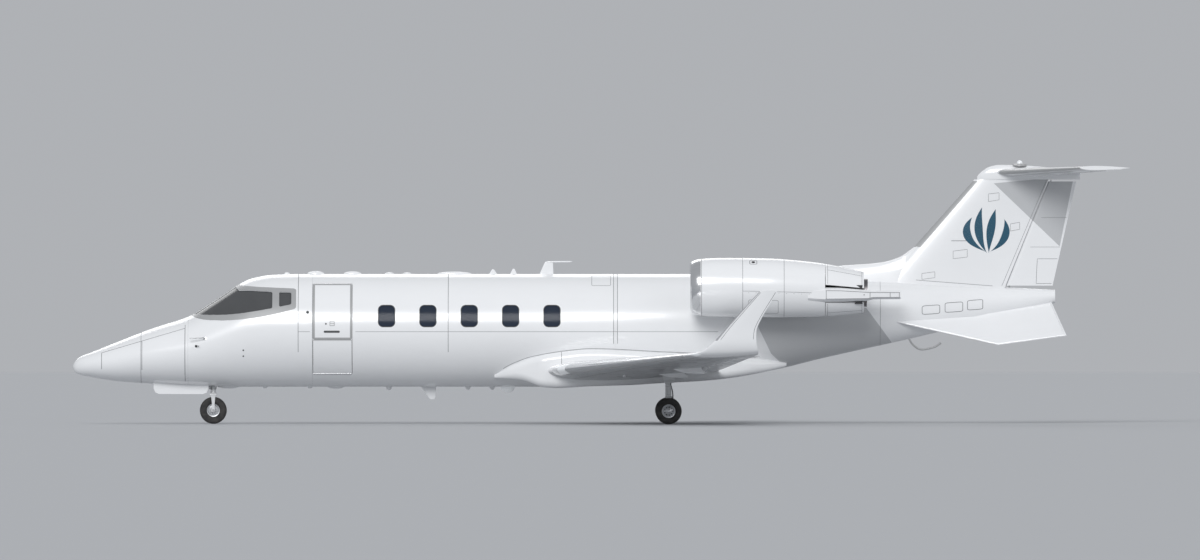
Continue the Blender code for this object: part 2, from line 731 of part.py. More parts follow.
class HingeLine:
    """The hinge of a control surface, with directions square to it."""

    def __init__(self, surface, ends, fraction, normal=None):
        self.surface = surface
        self.ends = ends
        self.fraction = fraction
        self.axis = (surface.point(ends[1], fraction, 0) - surface.point(ends[0], fraction, 0)).normalized()
        self.up = (surface.up - self.axis * surface.up.dot(self.axis)).normalized()
        ahead = Vector((-1, 0, 0))
        self.ahead = (ahead - self.axis * ahead.dot(self.axis)).normalized()
        self.normal = normal or self.axis

    def centre(self, t):
        return self.surface.point(t, self.fraction, 0)

    def radius(self, t):
        return self.surface.thickness(t) * foil(self.fraction)

    def in_end_plane(self, centre, offset):
        """Slides an offset point along the hinge line into the end plane through the centre."""
        return centre + offset - self.axis * offset.dot(self.normal) / self.axis.dot(self.normal)

    def moving_ring(self, t):
        """A section of the control surface: a round nose about the hinge, then both sides to the edge."""
        centre = self.centre(t)
        radius = self.radius(t)
        spots = [self.fraction + (1 - self.fraction) * share for share in (1.0, 0.5, 0.12)]
        ring = [self.surface.point_in_plane(t, f, 1, centre, self.normal) for f in spots]
        for k in range(7):
            turn = math.pi * k / 6
            offset = radius * (math.cos(turn) * self.up + math.sin(turn) * self.ahead)
            ring.append(self.in_end_plane(centre, offset))
        ring += [self.surface.point_in_plane(t, f, -1, centre, self.normal) for f in reversed(spots)]
        return ring

    def notch(self, name, gap, end_gap):
        """The room that the control surface needs in the fixed surface, as a cutter."""
        corners = []
        for t, way in ((self.ends[0], -1), (self.ends[1], 1)):
            centre = self.centre(t) + self.axis * way * end_gap / abs(self.axis.dot(self.normal))
            front = self.radius(t) + gap
            spots = ((front, 1), (front, -1), (-NOTCH_REACH, -1), (-NOTCH_REACH, 1))
            for forward, way_up in spots:
                offset = self.ahead * forward + self.up * NOTCH_RISE * way_up
                corners.append(self.in_end_plane(centre, offset))
        return hexahedron(name, corners)

    def pins(self, name, target, gap):
        """Hinge pins that reach from both ends of a control surface to its neighbours."""
        squareness = min(1.0, abs(self.axis.dot(self.normal)))
        tilt = math.sqrt(1 - squareness * squareness)
        reach = (gap - GAP - PIN_RADIUS * tilt) / squareness
        for k, (t, way) in enumerate(((self.ends[0], -1), (self.ends[1], 1))):
            outward = self.axis * way
            start = self.centre(t) - outward * PIN_ROOT
            join(target, rod(f"{name}_pin_{k}", start, self.centre(t) + outward * reach, PIN_RADIUS))


# Wing, from root to tip: leading edge, height, chord and thickness of its sections
WING_TIP_Y = 6.25
WING_LEADING = (8.06, 10.45)
WING_HEIGHTS = (0.905, 1.19)
WING_CHORDS = (2.88, 1.12)
WING_THICKNESSES = (0.325, 0.098)
# Winglet sections: leading edge, side, height, chord, thickness and lean in degrees
WINGLET_SECTIONS = (
    (10.52, 6.35, 1.205, 1.06, 0.088, 10),
    (10.66, 6.46, 1.255, 0.925, 0.072, 32),
    (10.83, 6.535, 1.40, 0.72, 0.056, 62),
    (11.07, 6.575, 1.664, 0.50, 0.040, 78),
    (11.62, 6.67, 2.27, 0.29, 0.022, 82),
)
HINGE_FRACTION = 0.77
AILERON_SPAN = (4.05, 5.85)
FLAP_SPAN = (1.30, 3.93)
FLAP_BRACKETS = (1.95, 3.35)
# The flap's hinge lies this far below its nose
FLAP_DROP = 0.065
# Side views of a bracket fairing, of its slot and of the arm, about the flap's hinge
POD_OUTLINE = (
    (-0.62, 0.105), (-0.45, 0.02), (-0.25, -0.025), (0.0, -0.035), (0.035, -0.02),
    (0.035, 0.03), (-0.012, 0.032), (-0.03, 0.13), (-0.3, 0.16), (-0.6, 0.16),
)
SLOT_OUTLINE = ((-0.032, -0.2), (0.2, -0.2), (0.2, 0.3), (-0.032, 0.3))
ARM_OUTLINE = (
    (-0.016, -0.004), (0.012, -0.012), (0.09, 0.075), (0.09, 0.105), (0.03, 0.10), (-0.012, 0.03),
)
POD_WIDTH = 0.085
SLOT_WIDTH = 0.036
ARM_WIDTH = 0.024
FLAP_PIN_RADIUS = 0.014
SPOILER_SPAN = (1.75, 3.45)
SPOILER_CHORD = (0.60, 0.71)
SPOILER_DEPTH = 0.018
SPOILER_PIN_RADIUS = 0.006
TRUNNION_HALF = (0.10, 0.09)
TRUNNION_HEIGHTS = (0.735, 0.90)
WING_JACK = (9.35, 2.2)
WING_JACK_HEIGHTS = (0.80, 0.96)


def wing_surface(side):
    ys = (side * (WING_ROOT_Y + GAP), side * WING_TIP_Y)
    root, tip = (at(*place) for place in zip(WING_LEADING, ys, WING_HEIGHTS))
    return Surface(root, tip, WING_CHORDS, WING_THICKNESSES, Vector((0, 0, 1)))


def span_share(y):
    return (y - WING_ROOT_Y) / (WING_TIP_Y - WING_ROOT_Y)


def winglet_rings(side):
    """Sections from the wing tip round the bend and up the winglet."""
    rings = []
    for station, y, z, chord, thickness, degrees in WINGLET_SECTIONS:
        lean = math.radians(degrees)
        up = Vector((0, -side * math.sin(lean), math.cos(lean)))
        rings.append(foil_ring(at(station, side * y, z), chord, thickness, up))
    return rings


def flap_hinge(side):
    """The flap swings on a line below the wing, so that it slides back as it drops."""
    line = HingeLine(wing_surface(side), tuple(span_share(y) for y in FLAP_SPAN), HINGE_FRACTION)
    start = line.centre(line.ends[0])
    radius = line.radius(line.ends[0])
    drop = line.ahead * radius - line.up * (radius + FLAP_DROP)
    return line, start + drop, drop


def side_view(line, hinge, outline):
    """Points about a hinge, given as (distance behind it, distance above it)."""
    return [hinge - line.ahead * x + line.up * z for x, z in outline]


def flap_pod(name, line, hinge):
    """A bracket fairing under the wing, forked round the flap's arm."""
    pod = plate("flap_pod_" + name, side_view(line, hinge, POD_OUTLINE), line.axis * POD_WIDTH)
    slot = side_view(line, hinge, SLOT_OUTLINE)
    cut(pod, plate("flap_pod_slot_" + name, slot, line.axis * SLOT_WIDTH))
    return pod


def flap_arm(name, line, hinge):
    """The arm that carries the flap from its low hinge."""
    arm = plate("flap_arm_" + name, side_view(line, hinge, ARM_OUTLINE), line.axis * ARM_WIDTH)
    pin = line.axis * (SLOT_WIDTH / 2 - GAP)
    join(arm, rod("flap_pin_" + name, hinge - pin, hinge + pin, FLAP_PIN_RADIUS))
    return arm


def wing(name, side):
    surface = wing_surface(side)
    rings = [surface.ring(0), surface.ring(1)] + winglet_rings(side)
    made = loft("wing_" + name, rings, white_paint())
    aileron = HingeLine(surface, tuple(span_share(y) for y in AILERON_SPAN), HINGE_FRACTION)
    cut(made, aileron.notch("aileron_notch_" + name, RUNNING_GAP, END_GAP))
    flap_line, _, drop = flap_hinge(side)
    cut(made, flap_line.notch("flap_notch_" + name, RUNNING_GAP, END_GAP))
    cut(made, spoiler_pocket("spoiler_pocket_" + name, side))
    for k, y in enumerate(FLAP_BRACKETS):
        join(made, flap_pod(f"{name}_{k}", flap_line, flap_line.centre(span_share(y)) + drop))
    low, high = leg_block(side, TRUNNION_HALF, TRUNNION_HEIGHTS)
    join(made, box("leg_trunnion_" + name, low, high))
    station, y = WING_JACK
    jack_ends = (at(station, side * y, z) for z in WING_JACK_HEIGHTS)
    join(made, rod("wing_jack_pad_" + name, *jack_ends, JACK_PAD_RADIUS))
    return made


def leg_block(side, half, heights):
    """Corners of a block centred on a main leg."""
    corners = []
    for way, z in zip((-1, 1), heights):
        corners.append((MAIN_GEAR_STATION + way * half[0], side * MAIN_GEAR_Y + way * half[1], z))
    return corners


def aileron(name, side):
    line = HingeLine(wing_surface(side), tuple(span_share(y) for y in AILERON_SPAN), HINGE_FRACTION)
    rings = [line.moving_ring(t) for t in line.ends]
    made = loft("aileron_" + name, rings, white_paint(), line.centre(line.ends[0]))
    line.pins("aileron_" + name, made, END_GAP)
    return made


def flap(name, side):
    line, hinge, drop = flap_hinge(side)
    made = loft("flap_" + name, [line.moving_ring(t) for t in line.ends], white_paint(), hinge)
    for k, y in enumerate(FLAP_BRACKETS):
        join(made, flap_arm(f"{name}_{k}", line, line.centre(span_share(y)) + drop))
    return made


def spoiler_line(side):
    line = HingeLine(wing_surface(side), tuple(span_share(y) for y in SPOILER_SPAN), SPOILER_CHORD[0])
    starts = [line.surface.point(t, SPOILER_CHORD[0], 1) - line.up * SPOILER_DEPTH / 2 for t in line.ends]
    line.axis = (starts[1] - starts[0]).normalized()
    line.normal = line.axis
    line.up = (line.surface.up - line.axis * line.surface.up.dot(line.axis)).normalized()
    line.ahead = line.axis.cross(line.up) if side < 0 else line.up.cross(line.axis)
    return line, starts


def spoiler_corner(line, t, centre, fraction):
    return line.surface.point_in_plane(t, fraction, 1, centre, line.axis)


def spoiler(name, side):
    line, starts = spoiler_line(side)
    rings = []
    half = SPOILER_DEPTH / 2
    for t, centre in zip(line.ends, starts):
        spots = [SPOILER_CHORD[1], sum(SPOILER_CHORD) / 2]
        tops = [spoiler_corner(line, t, centre, f) for f in spots]
        nose = [centre + half * (math.cos(a) * line.up + math.sin(a) * line.ahead)
                for a in (math.pi * k / 4 for k in range(5))]
        rings.append(tops + nose + [p - line.up * SPOILER_DEPTH for p in reversed(tops)])
    made = loft("spoiler_" + name, rings, white_paint(), starts[0])
    for k, (centre, way) in enumerate(zip(starts, (-1, 1))):
        inner = centre - line.axis * way * PIN_ROOT
        outer = centre + line.axis * way * (RUNNING_GAP - GAP)
        join(made, rod(f"spoiler_{name}_pin_{k}", inner, outer, SPOILER_PIN_RADIUS))
    return made


def spoiler_pocket(name, side):
    line, starts = spoiler_line(side)
    corners = []
    for t, centre, way in zip(line.ends, starts, (-1, 1)):
        shift = line.axis * way * RUNNING_GAP
        front = centre + line.ahead * (SPOILER_DEPTH / 2 + RUNNING_GAP)
        back = spoiler_corner(line, t, centre, SPOILER_CHORD[1]) - line.ahead * RUNNING_GAP
        low = line.up * (SPOILER_DEPTH + RUNNING_GAP)
        corners += [front + shift + line.up * 0.2, front + shift - low * 0.75,
                    back + shift - low, back + shift + line.up * 0.2]
    return hexahedron(name, corners)


# Tail: the fin's edges are straight lines, each given as (station, height, stations per metre of height)
FIN_LEADING = (14.37, 3.12, 0.897)
FIN_TRAILING = (16.61, 2.307, 0.2268)
FIN_HEIGHTS = (2.0, 4.2)
FIN_THICKNESSES = (0.25, 0.135)
FIN_FOOT = 2.05
FIN_TOP = 4.145
FIN_HINGE = 0.7525
RUDDER_HEIGHTS = (2.345, 4.112)
RUDDER_PIN_ROOT = 0.04
RUDDER_FOOT_PIN = (0.012, 0.006)
RUDDER_HEAD_PIN = (PIN_RADIUS, 0.004)
RUDDER_NOTCH_END = 0.5

# Dorsal fillet: crest by station, and half widths at three levels
FILLET_CREST = smooth_line([
    (11.35, 2.50), (12.2, 2.60), (13.0, 2.68), (13.69, 2.735), (14.03, 2.83), (14.2, 2.945),
    (14.37, 3.08), (14.55, 3.2),
])
FILLET_STATIONS = (11.35, 12.2, 13.0, 13.4, 13.69, 13.9, 14.03, 14.2, 14.37, 14.55)
FILLET_FOOT = (0.11, 2.2)
FILLET_WAIST = (0.085, 2.42)
FILLET_SHOULDER = (0.04, 0.03)

# Tailplane: leading edge, height, chord and thickness at the middle and at the tip
STABILIZER_SEAT = FIN_TOP + GAP
STABILIZER_TIP_Y = 2.24
STABILIZER_LEADING = (15.62, 17.05)
STABILIZER_HEIGHTS = (4.265, 4.33)
STABILIZER_CHORDS = (1.50, 0.83)
STABILIZER_THICKNESSES = (0.145, 0.07)
ELEVATOR_HINGE = 0.70
ELEVATOR_SPAN = (0.16, 2.06)
CROWN_LINE = smooth_line([
    (15.34, 4.20), (15.39, 4.257), (15.55, 4.36), (15.72, 4.41), (15.93, 4.40), (16.7, 4.34),
    (17.08, 4.30),
])
CROWN_WIDTH = smooth_line([(15.34, 0.02), (15.5, 0.065), (15.9, 0.09), (16.6, 0.085), (17.08, 0.03)])
CROWN_STATIONS = (15.34, 15.39, 15.47, 15.55, 15.72, 15.93, 16.3, 16.7, 17.08)
CROWN_BASE = 4.24
CROWN_LEAST_RISE = 0.01
CROWN_ARC = (0.6, 1.2, 1.94, 2.54)

# Strakes under the tail, as (station, side, height)
STRAKE_OUTLINE = (
    (13.97, 0.442, 1.727), (15.68, 0.75, 1.343), (16.84, 0.75, 1.498), (16.60, 0.06, 2.06),
    (15.2, 0.05, 1.95),
)
STRAKE_LEAN = (0.6, 0.8)
STRAKE_THICKNESS = 0.026


def edge_station(edge, z):
    station, height, slope = edge
    return station + (z - height) * slope


def fin_surface():
    leading = [edge_station(FIN_LEADING, z) for z in FIN_HEIGHTS]
    trailing = [edge_station(FIN_TRAILING, z) for z in FIN_HEIGHTS]
    root, tip = (at(s, 0, z) for s, z in zip(leading, FIN_HEIGHTS))
    chords = [back - front for front, back in zip(leading, trailing)]
    return Surface(root, tip, chords, FIN_THICKNESSES, Vector((0, 1, 0)))


def fin_share(z):
    return (z - FIN_HEIGHTS[0]) / (FIN_HEIGHTS[1] - FIN_HEIGHTS[0])


def rudder_line():
    ends = tuple(fin_share(z) for z in RUDDER_HEIGHTS)
    return HingeLine(fin_surface(), ends, FIN_HINGE, Vector((0, 0, 1)))


def fillet_ring(station):
    """A section of the dorsal fillet from one foot over its crest to the other foot."""
    crest = FILLET_CREST(station)
    half, drop = FILLET_SHOULDER
    right = [FILLET_FOOT, FILLET_WAIST, (half, crest - drop)]
    left = [(-y, z) for y, z in reversed(right)]
    return [at(station, y, z) for y, z in right + [(0, crest)] + left]


def fin():
    """The fin with its long dorsal fillet, seated on the fuselage and tail cone."""
    surface = fin_surface()
    made = loft("fin", [surface.ring(fin_share(z)) for z in (FIN_FOOT, FIN_TOP)], white_paint())
    join(made, loft("dorsal_fillet", [fillet_ring(s) for s in FILLET_STATIONS], white_paint()))
    cut(made, rudder_line().notch("rudder_notch", RUNNING_GAP, RUDDER_NOTCH_END))
    cut(made, body_cutter("body_in_fin"))
    return made


def rudder():
    line = rudder_line()
    foot, head = (line.centre(t) for t in line.ends)
    made = loft("rudder", [line.moving_ring(t) for t in line.ends], white_paint(), foot)
    foot_radius, foot_gap = RUDDER_FOOT_PIN
    head_radius, head_gap = RUDDER_HEAD_PIN
    drop = line.axis * (foot.z - TOP_LINE(foot.x + LENGTH / 2) - foot_gap) / line.axis.z
    rise = line.axis * (STABILIZER_SEAT - head.z - head_gap) / line.axis.z
    root = line.axis * RUDDER_PIN_ROOT
    join(made, rod("rudder_foot_pin", foot + root, foot - drop, foot_radius))
    join(made, rod("rudder_head_pin", head - root, head + rise, head_radius))
    return made


def stabilizer_surface(side):
    ys = (0, side * STABILIZER_TIP_Y)
    root, tip = (at(*place) for place in zip(STABILIZER_LEADING, ys, STABILIZER_HEIGHTS))
    return Surface(root, tip, STABILIZER_CHORDS, STABILIZER_THICKNESSES, Vector((0, 0, 1)))


def elevator_line(side):
    ends = tuple(y / STABILIZER_TIP_Y for y in ELEVATOR_SPAN)
    return HingeLine(stabilizer_surface(side), ends, ELEVATOR_HINGE, Vector((0, side, 0)))


def crown_ring(station):
    """A section of the fairing over the middle of the tailplane: upright sides and a round top."""
    half = CROWN_WIDTH(station)
    rise = max(CROWN_LEAST_RISE, CROWN_LINE(station) - CROWN_BASE)
    spots = [(half, STABILIZER_SEAT), (half, CROWN_BASE)]
    spots += [(half * math.cos(a), CROWN_BASE + rise * math.sin(a)) for a in CROWN_ARC]
    spots += [(-half, CROWN_BASE), (-half, STABILIZER_SEAT)]
    return [at(station, y, z) for y, z in spots]


def stabilizer():
    """The tailplane on top of the fin, with the fairing over its middle."""
    left, right = (stabilizer_surface(side) for _, side in SIDES)
    made = loft("stabilizer", [left.ring(1), left.ring(0), right.ring(1)], white_paint())
    join(made, loft("tailplane_fairing", [crown_ring(s) for s in CROWN_STATIONS], white_paint()))
    for name, side in SIDES:
        cut(made, elevator_line(side).notch("elevator_notch_" + name, RUNNING_GAP, END_GAP))
    return made


def elevator(name, side):
    line = elevator_line(side)
    rings = [line.moving_ring(t) for t in line.ends]
    made = loft("elevator_" + name, rings, white_paint(), line.centre(line.ends[0]))
    line.pins("elevator_" + name, made, END_GAP)
    return made


def ventral_fin(name, side):
    """A flat strake under the tail, leaning outward."""
    outline = [at(s, side * y, z) for s, y, z in STRAKE_OUTLINE]
    lean = Vector((0, side * STRAKE_LEAN[0], STRAKE_LEAN[1]))
    made = plate("ventral_fin_" + name, outline, lean * STRAKE_THICKNESS, white_paint())
    cut(made, body_cutter("body_in_ventral_fin_" + name))
    return made


# Engines
ENGINE_Y = 1.42
POD_SPLIT = 12.742
POD_OUTSIDE = [10.47, 10.483, 10.51, 10.6, 10.8, 11.2, 11.8, 12.3, POD_SPLIT]
POD_INSIDE = [10.49, 10.53, 10.62, 10.85, 11.0, 11.3, 12.2, POD_SPLIT]

# Beams that carry the reverser doors: station, low, high, inner and outer distance from the pod's axis
BEAM_INNER = 0.37
BEAM_OUTER = 0.47
BEAM_SECTIONS = (
    (12.45, 2.10, 2.28, 0.435, 0.462),
    (12.75, 2.065, 2.314, BEAM_INNER + 0.02, BEAM_OUTER),
    (13.0, 2.07, 2.31, BEAM_INNER, BEAM_OUTER),
    (13.47, 2.09, 2.27, BEAM_INNER, 0.455),
    (13.55, 2.115, 2.262, BEAM_INNER, 0.44),
    (14.02, 2.118, 2.258, 0.38, 0.415),
)
BEAM_BEVEL = 0.2

# Pylon, from the fuselage to the pod
PYLON_LEADING = 10.95
PYLON_YS = (0.35, 1.42)
PYLON_HEIGHTS = (2.20, 2.22)
PYLON_CHORDS = (1.74, 1.74)
PYLON_THICKNESSES = (0.19, 0.17)
BEAM_ROOM = ((12.40, 0.93, 2.0), (12.9, 1.08, 2.4))

# Engine block and jet pipe: (distance along the axis, radius)
ENGINE_START = (11.10, 2.312)
ENGINE_END = (13.45, 2.222)
ENGINE_PROFILE = (
    (0, 0), (0, 0.11), (0.02, 0.20), (0.10, 0.29), (1.25, 0.29), (1.55, 0.245), (2.36, 0.235),
    (2.36, 0.215), (1.6, 0.215), (1.6, 0.12), (2.05, 0.02), (2.06, 0),
)
ENGINE_STEPS = 20
VANE_DUCT = (11.3, 12.2)
VANE_COUNT = 4
VANE_STATIONS = (11.63, 11.87)
VANE_ROOT = 0.25
VANE_HALF_THICKNESS = 0.006

# Fan: spinner profile, then the blades' radius and half chord at root and tip
FAN_STATION = 10.95
FAN_PROFILE = (
    (-0.17, 0), (-0.155, 0.03), (-0.11, 0.07), (-0.04, 0.105), (0.02, 0.115), (0.1452, 0.115),
    (0.1452, 0),
)
FAN_STEPS = 18
FAN_BLADES = 14
BLADE_PITCH = math.radians(48)
BLADE_ENDS = ((0.09, 0.035), (0.376, 0.055))
BLADE_HALF_THICKNESS = 0.002

# Reverser doors
REVERSER_STATIONS = (12.75, 13.1, 13.40)
REVERSER_PIVOT = 13.33
REVERSER_THICKNESS = 0.03
# First and last angle from the top, steps, pivot height over the axis, way to the lugs, lug height
REVERSER_LEVELS = {
    "upper": (-78, 78, 10, 0.03, 1, 0.09),
    "lower": (119, 241, 8, -0.10, -1, 0.10),
}
LUG_Y = 0.3225
LUG_WIDTH = 0.055
LUG_NECK = ((-0.03, -0.012), (-0.012, -0.03), (0.012, -0.03), (0.03, -0.012))
LUG_TOP = (0.045, -0.09)
REVERSER_PIN_START = 0.335
REVERSER_PIN_RADIUS = 0.012


def around(turn):
    """The direction square to the engine's axis at an angle from the top."""
    return Vector((0, math.sin(turn), math.cos(turn)))


def pod_centre(station, side):
    return at(station, side * ENGINE_Y, POD_CENTRE(station))


def pod_ring(station, radius, side):
    turns = [2 * math.pi * k / ROUND_STEPS for k in range(ROUND_STEPS)]
    return [pod_centre(station, side) + radius * around(turn) for turn in turns]


def nacelle(name, side):
    """The engine pod: a duct with a round lip, and the two beams that carry the reverser doors."""
    rings = [pod_ring(s, POD_RADIUS(s), side) for s in POD_OUTSIDE]
    rings += [pod_ring(s, DUCT_RADIUS(s), side) for s in reversed(POD_INSIDE)]
    made = loop_loft("nacelle_" + name, rings, white_paint())
    for label, way in (("outer", side), ("inner", -side)):
        rings = [beam_ring(section, side, way) for section in BEAM_SECTIONS]
        join(made, loft(f"reverser_beam_{name}_{label}", rings, white_paint()))
    return made


def beam_ring(section, side, way):
    """A section of a reverser beam, bevelled on the side away from the pod's axis."""
    station, low, high, inner, outer = section
    y0 = side * ENGINE_Y + way * inner
    y1 = side * ENGINE_Y + way * outer
    bevel = (high - low) * BEAM_BEVEL
    spots = [(y0, low), (y1, low + bevel), (y1, high - bevel), (y0, high)]
    return [at(station, y, z) for y, z in spots]


def pylon(name, side):
    """The stub wing that carries the engine, cut to the fuselage skin and the pod."""
    root, tip = (at(PYLON_LEADING, side * y, z) for y, z in zip(PYLON_YS, PYLON_HEIGHTS))
    surface = Surface(root, tip, PYLON_CHORDS, PYLON_THICKNESSES, Vector((0, 0, 1)))
    made = loft("pylon_" + name, [surface.ring(0), surface.ring(1)], white_paint())
    cut(made, body_cutter("body_in_pylon_" + name))
    rings = [pod_ring(s, POD_RADIUS(s) + GAP, side) for s in POD_OUTSIDE + [13.0]]
    cut(made, loft("pod_in_pylon_" + name, rings, white_paint()))
    low, high = ((station, side * y, z) for station, y, z in BEAM_ROOM)
    cut(made, box("beam_in_pylon_" + name, low, high))
    return made


def duct_centre(station, side):
    """The middle of the duct where it runs straight past the engine's vanes."""
    front, back = (pod_centre(s, side) for s in VANE_DUCT)
    return front.lerp(back, (station - VANE_DUCT[0]) / (VANE_DUCT[1] - VANE_DUCT[0]))


def engine(name, side):
    """A plain engine block with its jet pipe, held in the duct by four vanes."""
    start, end = (at(s, side * ENGINE_Y, z) for s, z in (ENGINE_START, ENGINE_END))
    made = turned("engine_" + name, start, end - start, ENGINE_PROFILE, dark_metal(), ENGINE_STEPS)
    reach = DUCT_RADIUS(VANE_DUCT[0]) * math.cos(math.pi / ROUND_STEPS) - GAP
    front, back = (duct_centre(station, side) for station in VANE_STATIONS)
    for k in range(VANE_COUNT):
        # Each vane meets the duct at the middle of a facet
        turn = 2 * math.pi * (ROUND_STEPS // VANE_COUNT * k + 0.5) / ROUND_STEPS
        out = around(turn)
        across = around(turn + math.pi / 2) * VANE_HALF_THICKNESS
        corners = []
        for radius in (VANE_ROOT, reach):
            corners += [front + out * radius - across, front + out * radius + across,
                        back + out * radius + across, back + out * radius - across]
        join(made, hexahedron(f"engine_vane_{name}_{k}", corners))
    return made


def fan(name, side):
    """A spinner and its blades, turning about the engine's axis."""
    centre = pod_centre(FAN_STATION, side)
    ahead = Vector((1, 0, 0))
    made = turned("fan_" + name, centre, ahead, FAN_PROFILE, dark_metal(), FAN_STEPS, centre)
    for k in range(FAN_BLADES):
        turn = 2 * math.pi * k / FAN_BLADES
        tangent = around(turn + math.pi / 2)
        along = ahead * math.cos(BLADE_PITCH) + tangent * math.sin(BLADE_PITCH)
        thick = tangent * math.cos(BLADE_PITCH) - ahead * math.sin(BLADE_PITCH)
        corners = []
        for radius, half_chord in BLADE_ENDS:
            for a, b in ((-1, -1), (1, -1), (1, 1), (-1, 1)):
                shift = along * a * half_chord + thick * b * BLADE_HALF_THICKNESS
                corners.append(centre + around(turn) * radius + shift)
        join(made, hexahedron(f"fan_blade_{name}_{k}", corners))
    return made


def reverser_door(name, side, level):
    """A bucket door that closes the aft pod and swings back behind the jet pipe."""
    first, last, count, rise, way, lug_height = REVERSER_LEVELS[level]
    directions = [around(a) for a in spread(math.radians(first), math.radians(last), count)]
    rings = []
    for station in REVERSER_STATIONS:
        centre = pod_centre(station, side)
        outer = [centre + POD_RADIUS(station) * d for d in directions]
        inner = [centre + (POD_RADIUS(station) - REVERSER_THICKNESS) * d for d in reversed(directions)]
        rings.append(outer + inner)
    pivot = pod_centre(REVERSER_PIVOT, side) + Vector((0, 0, rise))
    made = loft(f"reverser_{level}_{name}", rings, white_paint(), pivot)
    outline = [*LUG_NECK, *((x, lug_height) for x in LUG_TOP)]
    for label, hand in (("a", -1), ("b", 1)):
        sideways = Vector((0, hand, 0))
        points = [pivot + sideways * LUG_Y + Vector((x, 0, way * z)) for x, z in outline]
        join(made, plate(f"reverser_lug_{level}_{name}_{label}", points, Vector((0, LUG_WIDTH, 0))))
        pin_ends = [pivot + sideways * reach for reach in (REVERSER_PIN_START, BEAM_INNER - GAP)]
        join(made, rod(f"reverser_pin_{level}_{name}_{label}", *pin_ends, REVERSER_PIN_RADIUS))
    return made


# Landing gear: tyres as (radius, width)
NOSE_GEAR_STATION = 2.38
MAIN_GEAR_STATION = 10.1
MAIN_GEAR_Y = 1.255
NOSE_TYRE = (0.2285, 0.112)
MAIN_TYRE = (0.222, 0.146)
NOSE_RIM = 0.11
MAIN_RIM = 0.115
NOSE_HUB = 0.04
MAIN_HUB = 0.045
RIM_SHARE = 0.74
TWIN_OFFSET = 0.118
AXLE = 0.026
NOSE_AXLE = 0.020
BORE_SLACK = 0.0006

# Main leg: heights of its parts, their radii, and the torque links as (distance behind the leg, height)
LEG_SEAT = 0.735
LEG_FOOT_HALF = (0.085, 0.075)
LEG_FOOT_LOW = 0.70
CYLINDER = (0.42, 0.052)
PISTON = (0.24, 0.46, 0.034)
AXLE_HOUSING = (0.04, 0.048)
TORQUE_LINKS = (((0.03, 0.25), (0.15, 0.36)), ((0.13, 0.34), (0.045, 0.47)))
TORQUE_LINK_RADIUS = 0.014
TORQUE_LINK_STEPS = 8

# Nose leg and fork
NOSE_LEG = (0.545, 0.86, 0.045)
NOSE_TRUNNION = (0.83, 0.03)
NOSE_DRAG_STRUT = ((2.36, 0.66), (1.75, 0.911))
DRAG_STRUT_RADIUS = 0.02
FORK_CROWN = ((-0.06, -0.095, 0.475), (0.06, 0.095, 0.515))
FORK_ARM = ((-0.03, 0.07, 0.20), (0.03, 0.092, 0.49))
FORK_COLLAR = (0.49, 0.05)
NOSE_AXLE_REACH = 0.1


def tyre(name, centre, size, rim_radius):
    """A round tyre whose lowest point touches the ground."""
    radius, width = size
    half = width / 2
    inside = rim_radius + GAP
    crown = radius - 0.30 * half
    side = inside + 0.5 * (radius - inside)
    left = [(-half * RIM_SHARE, inside), (-half, side), (-half * 0.82, crown), (-half * 0.38, radius)]
    right = [(-along, reach) for along, reach in reversed(left)]
    return turned_ring(name, centre, Vector((0, 1, 0)), left + right, tyre_rubber(), WHEEL_STEPS, centre)


def rim_profile(width, radius, hub, bore):
    """Half section of a wheel: a bored hub, a dished disc and a rim for the tyre."""
    edge = width / 2 * RIM_SHARE
    disc = width / 2 * 0.3
    left = [(-edge, bore), (-edge, hub), (-disc, radius - 0.02), (-edge, radius - 0.012), (-edge, radius)]
    return left + [(-along, reach) for along, reach in reversed(left)]


def main_wheels(name, side):
    """Two rims on the shaft that turns in the leg."""
    centre = at(MAIN_GEAR_STATION, side * MAIN_GEAR_Y, MAIN_TYRE[0])
    axis = Vector((0, 1, 0))
    width = MAIN_TYRE[1]
    reach = TWIN_OFFSET + width / 2 * RIM_SHARE
    shaft = [(0, 0), (0, AXLE), (2 * reach, AXLE), (2 * reach, 0)]
    start = centre - axis * reach
    made = turned("main_wheels_" + name, start, axis, shaft, bare_metal(), WHEEL_STEPS, centre)
    profile = rim_profile(width, MAIN_RIM, MAIN_HUB, AXLE * 0.8)
    for label, way in (("inner", -1), ("outer", 1)):
        middle = centre + axis * way * TWIN_OFFSET
        join(made, turned_ring(f"main_rim_{name}_{label}", middle, axis, profile, bare_metal(), WHEEL_STEPS))
    return made


def main_leg(name, side):
    """Oleo strut with its axle housing and torque links."""
    x = MAIN_GEAR_STATION
    y = side * MAIN_GEAR_Y
    seat = LEG_SEAT - GAP
    low, radius = CYLINDER
    made = rod("main_leg_" + name, at(x, y, low), at(x, y, seat), radius, gear_paint(), LEG_STEPS)
    low, high, radius = PISTON
    join(made, rod("main_piston_" + name, at(x, y, low), at(x, y, high), radius, bare_metal()))
    centre = at(x, y, MAIN_TYRE[0])
    reach, radius = AXLE_HOUSING
    across = Vector((0, reach, 0))
    join(made, rod("axle_housing_" + name, centre - across, centre + across, radius, None, WHEEL_STEPS))
    foot_low, foot_high = leg_block(side, LEG_FOOT_HALF, (LEG_FOOT_LOW, seat))
    join(made, box("leg_foot_" + name, foot_low, foot_high))
    for k, ends in enumerate(TORQUE_LINKS):
        start, end = (at(x + behind, y, z) for behind, z in ends)
        join(made, rod(f"torque_link_{name}_{k}", start, end, TORQUE_LINK_RADIUS, None, TORQUE_LINK_STEPS))
    bore_ends = (centre - 2 * across, centre + 2 * across)
    cut(made, rod("axle_bore_" + name, *bore_ends, AXLE + BORE_SLACK, None, WHEEL_STEPS))
    return made


